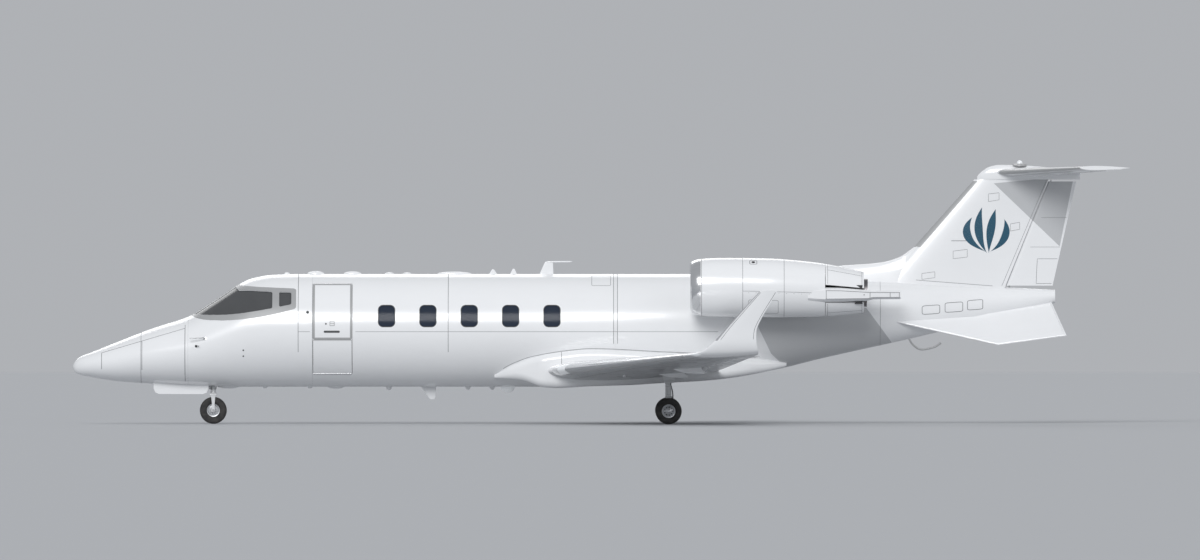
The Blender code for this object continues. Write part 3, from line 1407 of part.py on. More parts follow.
def nose_leg():
    """The upper nose leg, hung on a cross shaft between the walls of the wheel bay."""
    x = NOSE_GEAR_STATION
    low, high, radius = NOSE_LEG
    made = rod("nose_leg", at(x, 0, low), at(x, 0, high), radius, gear_paint(), LEG_STEPS)
    z, radius = NOSE_TRUNNION
    bay_wall = NOSE_BAY[1][1] - GAP
    join(made, rod("nose_trunnion", at(x, -bay_wall, z), at(x, bay_wall, z), radius))
    strut_ends = (at(station, 0, z) for station, z in NOSE_DRAG_STRUT)
    join(made, rod("nose_drag_strut", *strut_ends, DRAG_STRUT_RADIUS))
    return made


def fork_corners(corners, side=1):
    return [(NOSE_GEAR_STATION + x, side * y, z) for x, y, z in corners]


def nose_fork():
    """The steered fork: a collar under the leg and an arm on each side of the tyre."""
    x = NOSE_GEAR_STATION
    made = box("nose_fork", *fork_corners(FORK_CROWN), gear_paint(), at(x, 0, 0))
    low, radius = FORK_COLLAR
    join(made, rod("nose_collar", at(x, 0, low), at(x, 0, NOSE_LEG[0] - GAP), radius, None, LEG_STEPS))
    for name, side in SIDES:
        join(made, box("fork_arm_" + name, *fork_corners(FORK_ARM, side)))
    axle_ends = (at(x, side * NOSE_AXLE_REACH, NOSE_TYRE[0]) for _, side in SIDES)
    join(made, rod("nose_axle", *axle_ends, NOSE_AXLE, None, WHEEL_STEPS))
    return made


def nose_wheel():
    centre = at(NOSE_GEAR_STATION, 0, NOSE_TYRE[0])
    profile = rim_profile(NOSE_TYRE[1], NOSE_RIM, NOSE_HUB, NOSE_AXLE + BORE_SLACK)
    return turned_ring("nose_wheel", centre, Vector((0, 1, 0)), profile, bare_metal(), WHEEL_STEPS, centre)


# Cabin fittings. Seat parts are (half length, half width) and heights over the floor
SEAT_LIFT = 0.006
CUSHION_HALF = (0.22, 0.22)
CUSHION_HEIGHTS = (0.30, 0.44)
BASE_HALF = (0.13, 0.075)
BASE_HEIGHTS = (0.0, 0.32)
# Side view of a seat back: distance behind the cushion's rear edge, height over the floor
BACK_EDGE = 0.21
BACK_OUTLINE = ((0.0, 0.34), (0.12, 0.34), (0.27, 1.02), (0.17, 1.02))
BACK_WIDTH = 0.42
ARM_Y = 0.235
ARM_LOW = (-0.17, -0.025, 0.40)
ARM_HIGH = (0.20, 0.025, 0.58)
SEAT_Y = 0.42
# Cabin seats as (station, way they face), and the floor rails that carry them
SEAT_PLACES = {
    "left": ((5.75, 1), (7.05, -1), (8.35, -1)),
    "right": ((5.05, 1), (6.45, -1), (7.75, -1)),
}
RAIL_END = 0.2
RAIL_HALF_WIDTH = 0.05
RAIL_HEIGHT = 0.02
PILOT_STATION = 3.40
PILOT_Y = 0.33
COCKPIT_RAIL = ((3.05, -0.42), (3.75, 0.42))
PEDESTAL = ((2.76, -0.08), (3.15, 0.08))
PEDESTAL_HEIGHT = 0.45
# Side view of the instrument panel above its foot
PANEL_FOOT = (2.46, 2.60)
PANEL_OUTLINE = ((2.66, 1.35), (2.70, 1.70), (2.74, 1.74), (2.56, 1.76), (2.46, 1.70))
PANEL_WIDTH = 1.0


def centred_box(name, place, half, heights, look=None):
    """A block centred over a (station, side) place."""
    low, high = ((place[0] + way * half[0], place[1] + way * half[1], z) for way, z in zip((-1, 1), heights))
    return box(name, low, high, look)


def seat(name, station, y, facing, floor):
    """One seat: pedestal, cushion, back and arm rests, facing forward (-1) or back (1)."""
    place = (station, y)
    made = centred_box(name, place, CUSHION_HALF, [floor + z for z in CUSHION_HEIGHTS], cabin_leather())
    join(made, centred_box(name + "_base", place, BASE_HALF, [floor + z for z in BASE_HEIGHTS]))
    outline = [at(station - facing * (BACK_EDGE + behind), y, floor + z) for behind, z in BACK_OUTLINE]
    join(made, plate(name + "_back", outline, Vector((0, BACK_WIDTH, 0))))
    for k, way in enumerate((-1, 1)):
        low, high = ((station + dx, y + way * ARM_Y + dy, floor + z) for dx, dy, z in (ARM_LOW, ARM_HIGH))
        join(made, box(f"{name}_arm_{k}", low, high))
    return made


def seat_row(name, places, rail):
    """Seats that share one floor rail, as one solid."""
    floor = FLOOR_TOP + GAP
    low, high = ((*corner, z) for corner, z in zip(rail, (floor, floor + RAIL_HEIGHT)))
    made = box(name, low, high, cabin_leather())
    for k, (station, y, facing) in enumerate(places):
        join(made, seat(f"{name}_{k}", station, y, facing, floor + SEAT_LIFT))
    return made


def cabin_seats(name, side):
    y = side * SEAT_Y
    places = [(station, y, facing) for station, facing in SEAT_PLACES[name]]
    low = (places[0][0] - RAIL_END, y - RAIL_HALF_WIDTH)
    high = (places[-1][0] + RAIL_END, y + RAIL_HALF_WIDTH)
    return seat_row("cabin_seats_" + name, places, (low, high))


def cockpit_seats():
    places = [(PILOT_STATION, side * PILOT_Y, -1) for _, side in SIDES]
    made = seat_row("cockpit_seats", places, COCKPIT_RAIL)
    floor = FLOOR_TOP + GAP
    low, high = ((*corner, z) for corner, z in zip(PEDESTAL, (floor, floor + PEDESTAL_HEIGHT)))
    join(made, box("centre_pedestal", low, high))
    return made


def instrument_panel():
    outline = [at(station, 0, SHELF_Z + GAP) for station in PANEL_FOOT]
    outline += [at(station, 0, z) for station, z in PANEL_OUTLINE]
    return plate("instrument_panel", outline, Vector((0, PANEL_WIDTH, 0)), cabin_trim())


def clear_scene():
    for existing in list(bpy.data.objects):
        bpy.data.objects.remove(existing)


def build():
    clear_scene()
    nose_cone()
    nose_section()
    cockpit_shell()
    cabin_roof()
    cabin_belly()
    cabin_floor()
    aft_fuselage()
    tail_cone()
    belly_fairing()
    entry_door("door_upper", DOOR_TOP, DOOR_SPLIT - DOOR_SPLIT_GAP, DOOR_TOP)
    door_steps(entry_door("door_lower", DOOR_SPLIT, DOOR_SILL, DOOR_SILL))
    fin()
    rudder()
    stabilizer()
    nose_leg()
    nose_fork()
    nose_wheel()
    tyre("nose_tyre", at(NOSE_GEAR_STATION, 0, NOSE_TYRE[0]), NOSE_TYRE, NOSE_RIM)
    instrument_panel()
    cockpit_seats()
    for name, side in SIDES:
        cockpit_glass(name, side)
        cabin_side(name, side)
        cabin_windows(name, side)
        cabin_seats(name, side)
        wing(name, side)
        aileron(name, side)
        flap(name, side)
        spoiler(name, side)
        elevator(name, side)
        ventral_fin(name, side)
        nacelle(name, side)
        pylon(name, side)
        engine(name, side)
        fan(name, side)
        for level in ("upper", "lower"):
            reverser_door(name, side, level)
        main_leg(name, side)
        main_wheels(name, side)
        for label, way in (("inner", -1), ("outer", 1)):
            centre = at(MAIN_GEAR_STATION, side * (MAIN_GEAR_Y + way * TWIN_OFFSET), MAIN_TYRE[0])
            tyre(f"main_tyre_{name}_{label}", centre, MAIN_TYRE, MAIN_RIM)


build()
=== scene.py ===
"""The looks of a parked business jet: smooth painted skins, glass, metal, tyres and a leather cabin.

Lengths are in metres. "Station" is the distance behind the nose, x is the station less half the
length, -Y is the left side and z = 0 is the ground. The outlines follow the frame's own dimensions.
"""

import math

import bmesh
import bpy
from mathutils import Matrix, Vector


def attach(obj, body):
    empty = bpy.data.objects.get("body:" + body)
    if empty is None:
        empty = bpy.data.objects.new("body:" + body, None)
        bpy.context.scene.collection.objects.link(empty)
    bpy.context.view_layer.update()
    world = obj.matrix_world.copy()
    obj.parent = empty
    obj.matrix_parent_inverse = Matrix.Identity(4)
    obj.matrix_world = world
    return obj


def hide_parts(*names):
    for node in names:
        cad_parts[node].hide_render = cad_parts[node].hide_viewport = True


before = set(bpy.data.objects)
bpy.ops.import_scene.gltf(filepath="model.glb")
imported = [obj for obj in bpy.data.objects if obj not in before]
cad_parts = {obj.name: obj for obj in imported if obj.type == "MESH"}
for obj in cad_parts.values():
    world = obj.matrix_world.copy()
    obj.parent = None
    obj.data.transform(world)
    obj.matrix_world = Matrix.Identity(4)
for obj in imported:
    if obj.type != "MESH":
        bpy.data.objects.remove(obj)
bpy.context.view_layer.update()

# Driving dimensions of the frame
LENGTH = 17.88
CABIN_RADIUS = 0.958
CABIN_AXIS_Z = 1.586
WALL = 0.08
RUNNING_GAP = 0.006
NOSE_SPLIT = 1.16
COCKPIT_START = 1.96
COCKPIT_END = 4.07
SHELF_Z = 0.98
DOOR_FRONT = 4.075
DOOR_BACK = 4.745
CABIN_END = 9.2
AFT_END = 13.69
TAIL_END = 16.66
DOOR_TOP = math.radians(34.6)
DOOR_SPLIT = math.radians(99.7)
DOOR_SILL = math.radians(140.0)
FLOOR_TOP = 0.88

WINDOW_FIRST = 5.327
WINDOW_PITCH = 0.70
WINDOW_COUNT = 5
WINDOW_Z = 1.83
WINDOW_SIZE = (0.29, 0.375)
WINDOW_CORNER = 0.085

WING_ROOT_Y = 1.0
WING_TIP_Y = 6.25
HINGE_FRACTION = 0.77
NOSE_GEAR_STATION = 2.38
MAIN_GEAR_STATION = 10.1
MAIN_GEAR_Y = 1.255
NOSE_TYRE = (0.2285, 0.112)
MAIN_TYRE = (0.222, 0.146)
TWIN_OFFSET = 0.118
MAIN_RIM = 0.115
NOSE_RIM = 0.11
ENGINE_Y = 1.42
FAN_STATION = 10.95

SIDES = (("left", -1), ("right", 1))
ROUND_STEPS = 96
FOIL_COUNT = 30
SHARP_ANGLE = math.radians(32)
FIT_GAP = 0.0004
UP = Vector((0, 0, 1))
ACROSS = Vector((0, 1, 0))
BACK = Vector((1, 0, 0))


def at(station, y, z):
    """The point at a station, with x counted from the middle of the length."""
    return Vector((station - LENGTH / 2, y, z))


def smooth_line(points):
    """A smooth curve through (station, value) points, with no overshoot between them."""
    xs = [p[0] for p in points]
    ys = [p[1] for p in points]
    rises = [(ys[i + 1] - ys[i]) / (xs[i + 1] - xs[i]) for i in range(len(xs) - 1)]
    slopes = [rises[0]]
    for before, after in zip(rises, rises[1:]):
        same_way = before * after > 0
        slopes.append(2 * before * after / (before + after) if same_way else 0.0)
    slopes.append(rises[-1])

    def value(x):
        if x <= xs[0]:
            return ys[0]
        if x >= xs[-1]:
            return ys[-1]
        i = max(k for k in range(len(xs) - 1) if xs[k] <= x)
        width = xs[i + 1] - xs[i]
        t = (x - xs[i]) / width
        start = (1 + 2 * t) * (1 - t) ** 2 * ys[i] + t * (1 - t) ** 2 * width * slopes[i]
        end = t * t * (3 - 2 * t) * ys[i + 1] + t * t * (t - 1) * width * slopes[i + 1]
        return start + end

    return value


def spread(first, last, count):
    """Evenly spaced values, both ends included."""
    return [first + (last - first) * k / count for k in range(count + 1)]


def turns(count, shift=0.0):
    """Evenly spaced angles once round."""
    return [2 * math.pi * (k + shift) / count for k in range(count)]


# Fuselage outline: crown, keel and half width by station
TOP_LINE = smooth_line([
    (0, 1.0), (0.03, 1.055), (0.12, 1.136), (0.29, 1.204), (0.46, 1.272), (0.8, 1.408),
    (1.14, 1.543), (1.475, 1.662), (1.81, 1.764), (1.98, 1.832), (2.15, 1.933), (2.49, 2.154),
    (2.83, 2.375), (3.0, 2.459), (3.17, 2.500), (3.34, 2.527), (3.85, 2.544), (10.3, 2.544),
    (13.69, 2.417), (TAIL_END, 2.273),
])
KEEL_LINE = smooth_line([
    (0, 0.96), (0.03, 0.885), (0.12, 0.831), (0.29, 0.797), (0.46, 0.763), (0.8, 0.718),
    (1.2, 0.690), (1.64, 0.661), (1.98, 0.644), (3.0, 0.628), (8.2, 0.628), (8.77, 0.657),
    (9.45, 0.676), (9.96, 0.708), (10.63, 0.744), (11.3, 0.812), (11.65, 0.870), (11.99, 0.934),
    (12.67, 1.102), (13.35, 1.255), (14.1, 1.42), (TAIL_END, 2.05),
])
HALF_WIDTH = smooth_line([
    (0, 0.02), (0.03, 0.085), (0.12, 0.17), (0.29, 0.27), (0.46, 0.345), (0.8, 0.46),
    (1.2, 0.565), (1.6, 0.65), (2.0, 0.725), (2.5, 0.80), (3.0, 0.865), (3.5, 0.92),
    (3.8, 0.943), (4.05, CABIN_RADIUS), (9.2, CABIN_RADIUS), (10.0, 0.945), (11.0, 0.89),
    (12.0, 0.79), (13.0, 0.63), (14.1, 0.44), (15.5, 0.24), (TAIL_END, 0.105),
])

# Wing-to-body fairing: half width, top and underside by station
FAIRING_WIDTH = smooth_line([
    (7.15, 0.60), (7.43, 0.80), (7.78, 0.93), (8.0, WING_ROOT_Y), (11.0, WING_ROOT_Y),
    (11.4, 0.88), (11.8, 0.62), (12.1, 0.36),
])
FAIRING_TOP = smooth_line([
    (7.15, 0.84), (7.43, 1.006), (7.78, 1.136), (8.31, 1.231), (8.81, 1.274), (9.16, 1.265),
    (9.96, 1.22), (10.64, 1.19), (11.3, 1.15), (11.8, 1.09), (12.1, 1.04),
])
FAIRING_KEEL = smooth_line([
    (7.15, 0.78), (7.6, 0.74), (8.0, 0.622), (8.2, 0.612), (8.77, 0.640), (9.45, 0.661),
    (9.96, 0.693), (10.63, 0.729), (11.0, 0.763), (11.4, 0.82), (11.8, 0.90), (12.1, 0.98),
])

# Engine pod: centre height, outer radius and duct radius by station
POD_CENTRE = smooth_line([(10.47, 2.315), (11.2, 2.315), (12.0, 2.30), (12.72, 2.27), (14.0, 2.19)])
POD_RADIUS = smooth_line([
    (10.47, 0.40), (10.50, 0.44), (10.6, 0.475), (10.8, 0.495), (11.0, 0.50), (11.8, 0.50),
    (12.3, 0.48), (12.74, 0.447), (13.1, 0.395), (13.47, 0.335),
])
DUCT_RADIUS = smooth_line([
    (10.47, 0.40), (10.52, 0.375), (10.62, 0.366), (10.8, 0.375), (10.9, 0.385), (11.0, 0.385),
    (11.3, 0.42), (12.2, 0.42), (12.74, 0.405), (13.1, 0.36), (13.47, 0.305),
])


def hull_point(station, angle, inset=0.0):
    """A point of the fuselage skin. The angle starts at the crown and grows to starboard."""
    top = TOP_LINE(station)
    keel = KEEL_LINE(station)
    y = (HALF_WIDTH(station) - inset) * math.sin(angle)
    return at(station, y, (top + keel) / 2 + ((top - keel) / 2 - inset) * math.cos(angle))


def hull_normal(station, angle):
    along = hull_point(station + 0.01, angle) - hull_point(station - 0.01, angle)
    around = hull_point(station, angle + 0.01) - hull_point(station, angle - 0.01)
    return along.cross(around).normalized()


def angle_at_height(station, z):
    """The skin angle of a point that a side view shows at this height."""
    top = TOP_LINE(station)
    keel = KEEL_LINE(station)
    return math.acos(max(-1.0, min(1.0, (z - (top + keel) / 2) / ((top - keel) / 2))))


# Materials
class Nodes:
    """A material's node tree with short ways to add nodes."""

    def __init__(self, name):
        self.material = bpy.data.materials.new(name)
        self.material.use_nodes = True
        self.tree = self.material.node_tree
        self.shader = self.tree.nodes["Principled BSDF"]
        self.coords = self.add("ShaderNodeTexCoord").outputs["Object"]

    def add(self, kind, links=None, **settings):
        node = self.tree.nodes.new(kind)
        for key, value in settings.items():
            setattr(node, key, value)
        for socket, source in (links or {}).items():
            if isinstance(source, bpy.types.NodeSocket):
                self.tree.links.new(source, node.inputs[socket])
            else:
                node.inputs[socket].default_value = source
        return node

    def link(self, output, socket):
        self.tree.links.new(output, self.shader.inputs[socket])

    def math(self, operation, first, second=0.0):
        return self.add("ShaderNodeMath", {0: first, 1: second}, operation=operation).outputs[0]

    def noise(self, scale, detail=3.0, stretch=None):
        where = self.coords
        if stretch:
            where = self.add("ShaderNodeMapping", {"Vector": where, "Scale": stretch}).outputs[0]
        wanted = {"Vector": where, "Scale": scale, "Detail": detail}
        return self.add("ShaderNodeTexNoise", wanted).outputs["Fac"]

    def mix(self, share, first, second):
        first, second = ((*c, 1.0) if isinstance(c, tuple) else c for c in (first, second))
        return self.add("ShaderNodeMix", {0: share, 6: first, 7: second}, data_type="RGBA").outputs[2]

    def remap(self, value, low, high):
        wanted = {"Value": value, "To Min": low, "To Max": high}
        return self.add("ShaderNodeMapRange", wanted).outputs[0]

    def colour(self, share, first, second):
        """The base colour, drifting between two colours."""
        self.link(self.mix(share, first, second), "Base Color")

    def rough(self, value, low, high):
        """Uneven gloss between two roughnesses."""
        self.link(self.remap(value, low, high), "Roughness")

    def bump(self, height, strength, distance):
        wanted = {"Height": height, "Strength": strength, "Distance": distance}
        self.link(self.add("ShaderNodeBump", wanted).outputs[0], "Normal")


def set_shader(nodes, **values):
    for name, value in values.items():
        nodes.shader.inputs[name.replace("_", " ").title().replace("Ior", "IOR")].default_value = value


def shade(colour, share):
    """A colour made darker or lighter."""
    return tuple(min(1.0, c * share) for c in colour)


def finish(name, colour, roughness, metallic=0.0, vary=0.05, scale=5.0, rough_vary=0.08, bump=None,
           stretch=None, **shader):
    """A surface with slow colour drift, uneven gloss and maybe a fine bump: (scale, strength, distance)."""
    nodes = Nodes(name)
    nodes.colour(nodes.noise(scale, 4.0, stretch), shade(colour, 1 - vary), shade(colour, 1 + vary))
    fine = nodes.noise(scale * 7, 5.0, stretch)
    nodes.rough(fine, max(0.02, roughness - rough_vary), min(1.0, roughness + rough_vary))
    if bump:
        nodes.bump(nodes.noise(bump[0], 2.0, stretch), bump[1], bump[2])
    set_shader(nodes, metallic=metallic, **shader)
    return nodes


def inside_outline(nodes, outline):
    """1 inside a convex outline given as (station, height) in clockwise order, 0 outside."""
    split = nodes.add("ShaderNodeSeparateXYZ", {0: nodes.coords})
    x, z = split.outputs[0], split.outputs[2]
    inside = None
    for (s0, z0), (s1, z1) in zip(outline, outline[1:] + outline[:1]):
        across = (z1 - z0, -(s1 - s0))
        reach = across[0] * (s0 - LENGTH / 2) + across[1] * z0
        side = nodes.math("ADD", nodes.math("MULTIPLY", x, across[0]), nodes.math("MULTIPLY", z, across[1]))
        step = nodes.math("GREATER_THAN", side, reach)
        inside = step if inside is None else nodes.math("MULTIPLY", inside, step)
    return inside


WHITE = (0.83, 0.84, 0.855)
SHADE_GREY = (0.50, 0.51, 0.525)
# Pale grey fields of painted shade, on the aft fuselage below the engine pods and on the fin below the
# tailplane, as (station, height) outlines in clockwise order
AFT_SHADE_FIELD = [(11.84, 1.19), (11.0, 1.97), (13.45, 1.97), (13.91, 1.35), (12.03, 0.80)]
FIN_SHADE_FIELD = [(15.62, 4.08), (16.98, 4.21), (16.74, 3.01)]


def white_paint(name="white_paint", shade_fields=()):
    """Gloss white aircraft paint with faint dusty streaks and optional pale grey fields of painted shade.
    """
    nodes = Nodes(name)
    drift = nodes.noise(1.7, 3.0)
    colour = nodes.mix(drift, shade(WHITE, 0.985), shade(WHITE, 1.012))
    # Painted shade: each field turns the white a flat pale grey where shade falls.
    for shade_field in shade_fields:
        colour = nodes.mix(inside_outline(nodes, shade_field), colour, SHADE_GREY)
    streak = nodes.noise(9.0, 5.0, (0.25, 1.0, 1.0))
    dust = nodes.math("MULTIPLY", nodes.remap(streak, 0.0, 1.0), 0.07)
    nodes.colour(dust, colour, (0.62, 0.61, 0.58))
    nodes.rough(nodes.noise(30.0, 4.0), 0.16, 0.27)
    nodes.bump(nodes.noise(420.0, 2.0), 0.03, 0.001)
    set_shader(nodes, coat_weight=0.35, coat_roughness=0.06)
    return nodes


def tinted_glass(name, colour, alpha):
    """Dark aircraft glazing that lets a little of the cabin through."""
    nodes = finish(name, colour, 0.12, vary=0.12, scale=3.0, rough_vary=0.02)
    set_shader(nodes, alpha=alpha, specular_ior_level=0.12, ior=1.5)
    return nodes


def tyre_rubber():
    """Black rubber with patches of dust and a fine grain."""
    nodes = Nodes("tyre_rubber")
    dusty = nodes.remap(nodes.noise(14.0, 6.0), -0.4, 0.9)
    nodes.colour(dusty, (0.018, 0.018, 0.019), (0.075, 0.070, 0.064))
    nodes.rough(nodes.noise(60.0, 3.0), 0.62, 0.88)
    nodes.bump(nodes.noise(600.0, 3.0), 0.25, 0.001)
    return nodes


def leather(name, colour):
    """Soft upholstery leather: pebbled grain, small creases and a worn sheen."""
    nodes = Nodes(name)
    worn = nodes.noise(11.0, 4.0)
    nodes.colour(worn, shade(colour, 0.84), shade(colour, 1.12))
    nodes.rough(nodes.noise(45.0, 4.0), 0.38, 0.58)
    pebbles = nodes.add("ShaderNodeTexVoronoi", {"Vector": nodes.coords, "Scale": 330.0})
    creases = nodes.noise(70.0, 5.0)
    height = nodes.math("ADD", nodes.math("MULTIPLY", pebbles.outputs["Distance"], 0.7), creases)
    nodes.bump(height, 0.35, 0.0015)
    set_shader(nodes, sheen_weight=0.15)
    return nodes


def carpet():
    """Cut-pile cabin carpet."""
    nodes = Nodes("cabin_carpet")
    tufts = nodes.add("ShaderNodeTexVoronoi", {"Vector": nodes.coords, "Scale": 260.0})
    nodes.colour(tufts.outputs["Distance"], (0.17, 0.155, 0.14), (0.31, 0.285, 0.255))
    nodes.bump(tufts.outputs["Distance"], 0.6, 0.004)
    set_shader(nodes, roughness=0.95, sheen_weight=0.4)
    return nodes


def wood_veneer():
    """Polished burr veneer for the cabin ledges."""
    nodes = Nodes("wood_veneer")
    rings = nodes.add("ShaderNodeTexWave",
                      {"Vector": nodes.coords, "Scale": 6.0, "Distortion": 9.0, "Detail": 4.0})
    nodes.colour(rings.outputs["Fac"], (0.16, 0.065, 0.028), (0.33, 0.16, 0.07))
    nodes.rough(nodes.noise(40.0), 0.12, 0.24)
    set_shader(nodes, coat_weight=0.6)
    return nodes


def lit_lens(name, colour, glow):
    """A lamp lens with a faint lamp behind it."""
    nodes = finish(name, colour, 0.08, vary=0.1, scale=40.0, rough_vary=0.03, bump=(160.0, 0.15, 0.002))
    set_shader(nodes, emission_color=(*colour, 1.0), emission_strength=glow)
    return nodes


def heat_metal():
    """Jet pipe metal, straw and blue where it has run hot."""
    nodes = Nodes("heat_metal")
    tint = nodes.noise(3.5, 5.0, (2.0, 1.0, 1.0))
    hot = nodes.mix(tint, (0.20, 0.19, 0.185), (0.33, 0.28, 0.235))
    nodes.colour(nodes.noise(8.0, 3.0), hot, (0.16, 0.17, 0.21))
    nodes.rough(nodes.noise(50.0, 4.0), 0.26, 0.5)
    set_shader(nodes, metallic=1.0)
    nodes.bump(nodes.noise(300.0), 0.1, 0.001)
    return nodes


LOOKS = {
    "paint": white_paint(),
    # These two paints carry the fields of painted shade.
    "aft_paint_with_shade": white_paint("aft_paint_with_shade", [AFT_SHADE_FIELD]),
    "fin_paint_with_shade": white_paint("fin_paint_with_shade", [FIN_SHADE_FIELD]),
    # Painted shade: a flat pale grey for the shaded undersides of the wings.
    "grey_paint": finish("grey_paint", SHADE_GREY, 0.3, vary=0.03, bump=(420.0, 0.03, 0.001),
                         coat_weight=0.2),
    "frame_grey": finish("frame_grey", (0.36, 0.365, 0.37), 0.35, vary=0.06, bump=(500.0, 0.05, 0.001)),
    "line": finish("panel_line", (0.20, 0.205, 0.215), 0.6, vary=0.15, scale=20.0),
    "seal": finish("rubber_seal", (0.07, 0.072, 0.075), 0.65, vary=0.2, scale=60.0,
                   bump=(700.0, 0.2, 0.001)),
    "cabin_glass": tinted_glass("cabin_glass", (0.027, 0.036, 0.056), 0.93),
    "screen_glass": tinted_glass("screen_glass", (0.095, 0.098, 0.102), 0.86),
    "polished": finish("polished_metal", (0.72, 0.725, 0.735), 0.17, 1.0, vary=0.06, scale=3.0,
                       rough_vary=0.06, stretch=(1.0, 6.0, 6.0)),
    "steel": finish("machined_steel", (0.50, 0.505, 0.515), 0.3, 1.0, vary=0.08, scale=18.0,
                    bump=(260.0, 0.08, 0.001)),
    "chrome": finish("chrome_rod", (0.78, 0.785, 0.79), 0.07, 1.0, vary=0.03, scale=12.0, rough_vary=0.03),
    "titanium": finish("fan_titanium", (0.34, 0.345, 0.36), 0.28, 1.0, vary=0.12, scale=9.0,
                       bump=(200.0, 0.05, 0.001)),
    "heat": heat_metal(),
    "dark": finish("dark_metal", (0.045, 0.046, 0.05), 0.5, 0.6, vary=0.25, scale=10.0,
                   bump=(240.0, 0.1, 0.001)),
    "liner": finish("duct_liner", (0.33, 0.335, 0.345), 0.42, 0.5, vary=0.06, scale=40.0,
                    bump=(420.0, 0.25, 0.001)),
    "gear_paint": finish("gear_paint", (0.68, 0.69, 0.70), 0.32, vary=0.06, scale=14.0,
                         bump=(380.0, 0.06, 0.001), coat_weight=0.3),
    "wheel": finish("wheel_alloy", (0.60, 0.61, 0.625), 0.33, 0.75, vary=0.08, scale=22.0,
                    bump=(320.0, 0.07, 0.001)),
    "tyre": tyre_rubber(),
    "hose": finish("hose_rubber", (0.02, 0.02, 0.021), 0.55, vary=0.3, scale=80.0,
                   bump=(900.0, 0.3, 0.0008)),
    "leather": leather("seat_leather", (0.50, 0.42, 0.33)),
    "dark_leather": leather("pilot_leather", (0.10, 0.10, 0.105)),
    "trim": finish("cabin_trim", (0.60, 0.57, 0.52), 0.6, vary=0.05, scale=12.0, bump=(520.0, 0.2, 0.001)),
    "dark_trim": finish("cockpit_trim", (0.05, 0.051, 0.054), 0.65, vary=0.15, scale=30.0,
                        bump=(620.0, 0.25, 0.001)),
    "carpet": carpet(),
    "veneer": wood_veneer(),
    "display": lit_lens("display", (0.02, 0.09, 0.12), 0.6),
    "clear_lens": lit_lens("clear_lens", (0.72, 0.74, 0.76), 0.2),
    "teal": finish("teal_paint", (0.011, 0.078, 0.133), 0.26, vary=0.05, bump=(420.0, 0.03, 0.001),
                   coat_weight=0.4),
}


# Mesh building
def ring_faces(rings, steps, loop):
    """Quads between rings of equal point count, with end faces unless the rings make a loop."""
    faces = []
    for k in range(rings if loop else rings - 1):
        after = (k + 1) % rings
        for i in range(steps):
            j = (i + 1) % steps
            faces.append((k * steps + i, k * steps + j, after * steps + j, after * steps + i))
    if not loop:
        faces.append(tuple(range(steps)))
        faces.append(tuple((rings - 1) * steps + i for i in range(steps)))
    return faces


def skin(rings, look, loop=False):
    """A part made of rings: (points, faces, look)."""
    points = [p for ring in rings for p in ring]
    return points, ring_faces(len(rings), len(rings[0]), loop), look


def build_mesh(name, parts):
    """One mesh from closed parts, each with its own look."""
    shape = bmesh.new()
    looks = []
    for points, faces, look in parts:
        if look not in looks:
            looks.append(look)
        verts = [shape.verts.new(p) for p in points]
        made = [shape.faces.new([verts[i] for i in face]) for face in faces]
        bmesh.ops.recalc_face_normals(shape, faces=made)
        for face in made:
            face.material_index = looks.index(look)
    mesh = bpy.data.meshes.new(name)
    shape.to_mesh(mesh)
    shape.free()
    for look in looks:
        mesh.materials.append(LOOKS[look].material)
    return mesh, looks


def smooth_shade(made):
    made.data.shade_smooth()
    made.data.set_sharp_from_angle(angle=SHARP_ANGLE)


def piece(name, body, parts, replaces=()):
    """A visible piece of the aircraft that rides on a body."""
    mesh, looks = build_mesh(name, parts)
    made = bpy.data.objects.new(name, mesh)
    bpy.context.scene.collection.objects.link(made)
    smooth_shade(made)
    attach(made, body)
    if replaces:
        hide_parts(*replaces)
    return made


def fixed(name, parts, replaces=()):
    """A piece that stays with the airframe."""
    return piece(name, "airframe", parts, replaces)


def helper(parts):
    """An object that only cuts others."""
    mesh, _ = build_mesh("cutter", parts)
    made = bpy.data.objects.new("cutter", mesh)
    bpy.context.scene.collection.objects.link(made)
    return made


def settle(target):
    """Applies a piece's modifiers to its mesh."""
    bpy.context.view_layer.update()
    graph = bpy.context.evaluated_depsgraph_get()
    mesh = bpy.data.meshes.new_from_object(target.evaluated_get(graph), depsgraph=graph)
    target.modifiers.clear()
    target.data = mesh


def shape_with(target, helpers, operation):
    """Applies Booleans with these helpers to a piece, for good."""
    for made in helpers:
        step = target.modifiers.new("cut", "BOOLEAN")
        step.object = made
        step.operation = operation
        step.solver = "EXACT"
    settle(target)
    for made in helpers:
        bpy.data.objects.remove(made)
    smooth_shade(target)


def cut(target, cutters):
    """Cuts closed parts out of a piece."""
    shape_with(target, [helper([part]) for part in cutters], "DIFFERENCE")


def keep_inside(target, parts):
    """Keeps what a piece shares with closed parts."""
    shape_with(target, [helper(parts)], "INTERSECT")


def repaint(made, look, wanted):
    """Gives the faces that pass a test another finish."""
    made.data.materials.append(LOOKS[look].material)
    last = len(made.data.materials) - 1
    for face in made.data.polygons:
        if wanted(face.center, face.normal):
            face.material_index = last


def block(low, high, look):
    """A plain block between two corners given as (station, y, z)."""
    (x0, y0, z0), (x1, y1, z1) = low, high
    ring = [(y0, z0), (y1, z0), (y1, z1), (y0, z1)]
    return skin([[at(x, y, z) for y, z in ring] for x in (x0, x1)], look)


def shape_part(shape, look, turn, pivot):
    """The part that a mesh in the making gives, turned about a pivot."""
    if turn is not None:
        for vert in shape.verts:
            vert.co = turn @ (vert.co - pivot) + pivot
    shape.verts.index_update()
    points = [v.co.copy() for v in shape.verts]
    faces = [tuple(v.index for v in f.verts) for f in shape.faces]
    shape.free()
    return points, faces, look


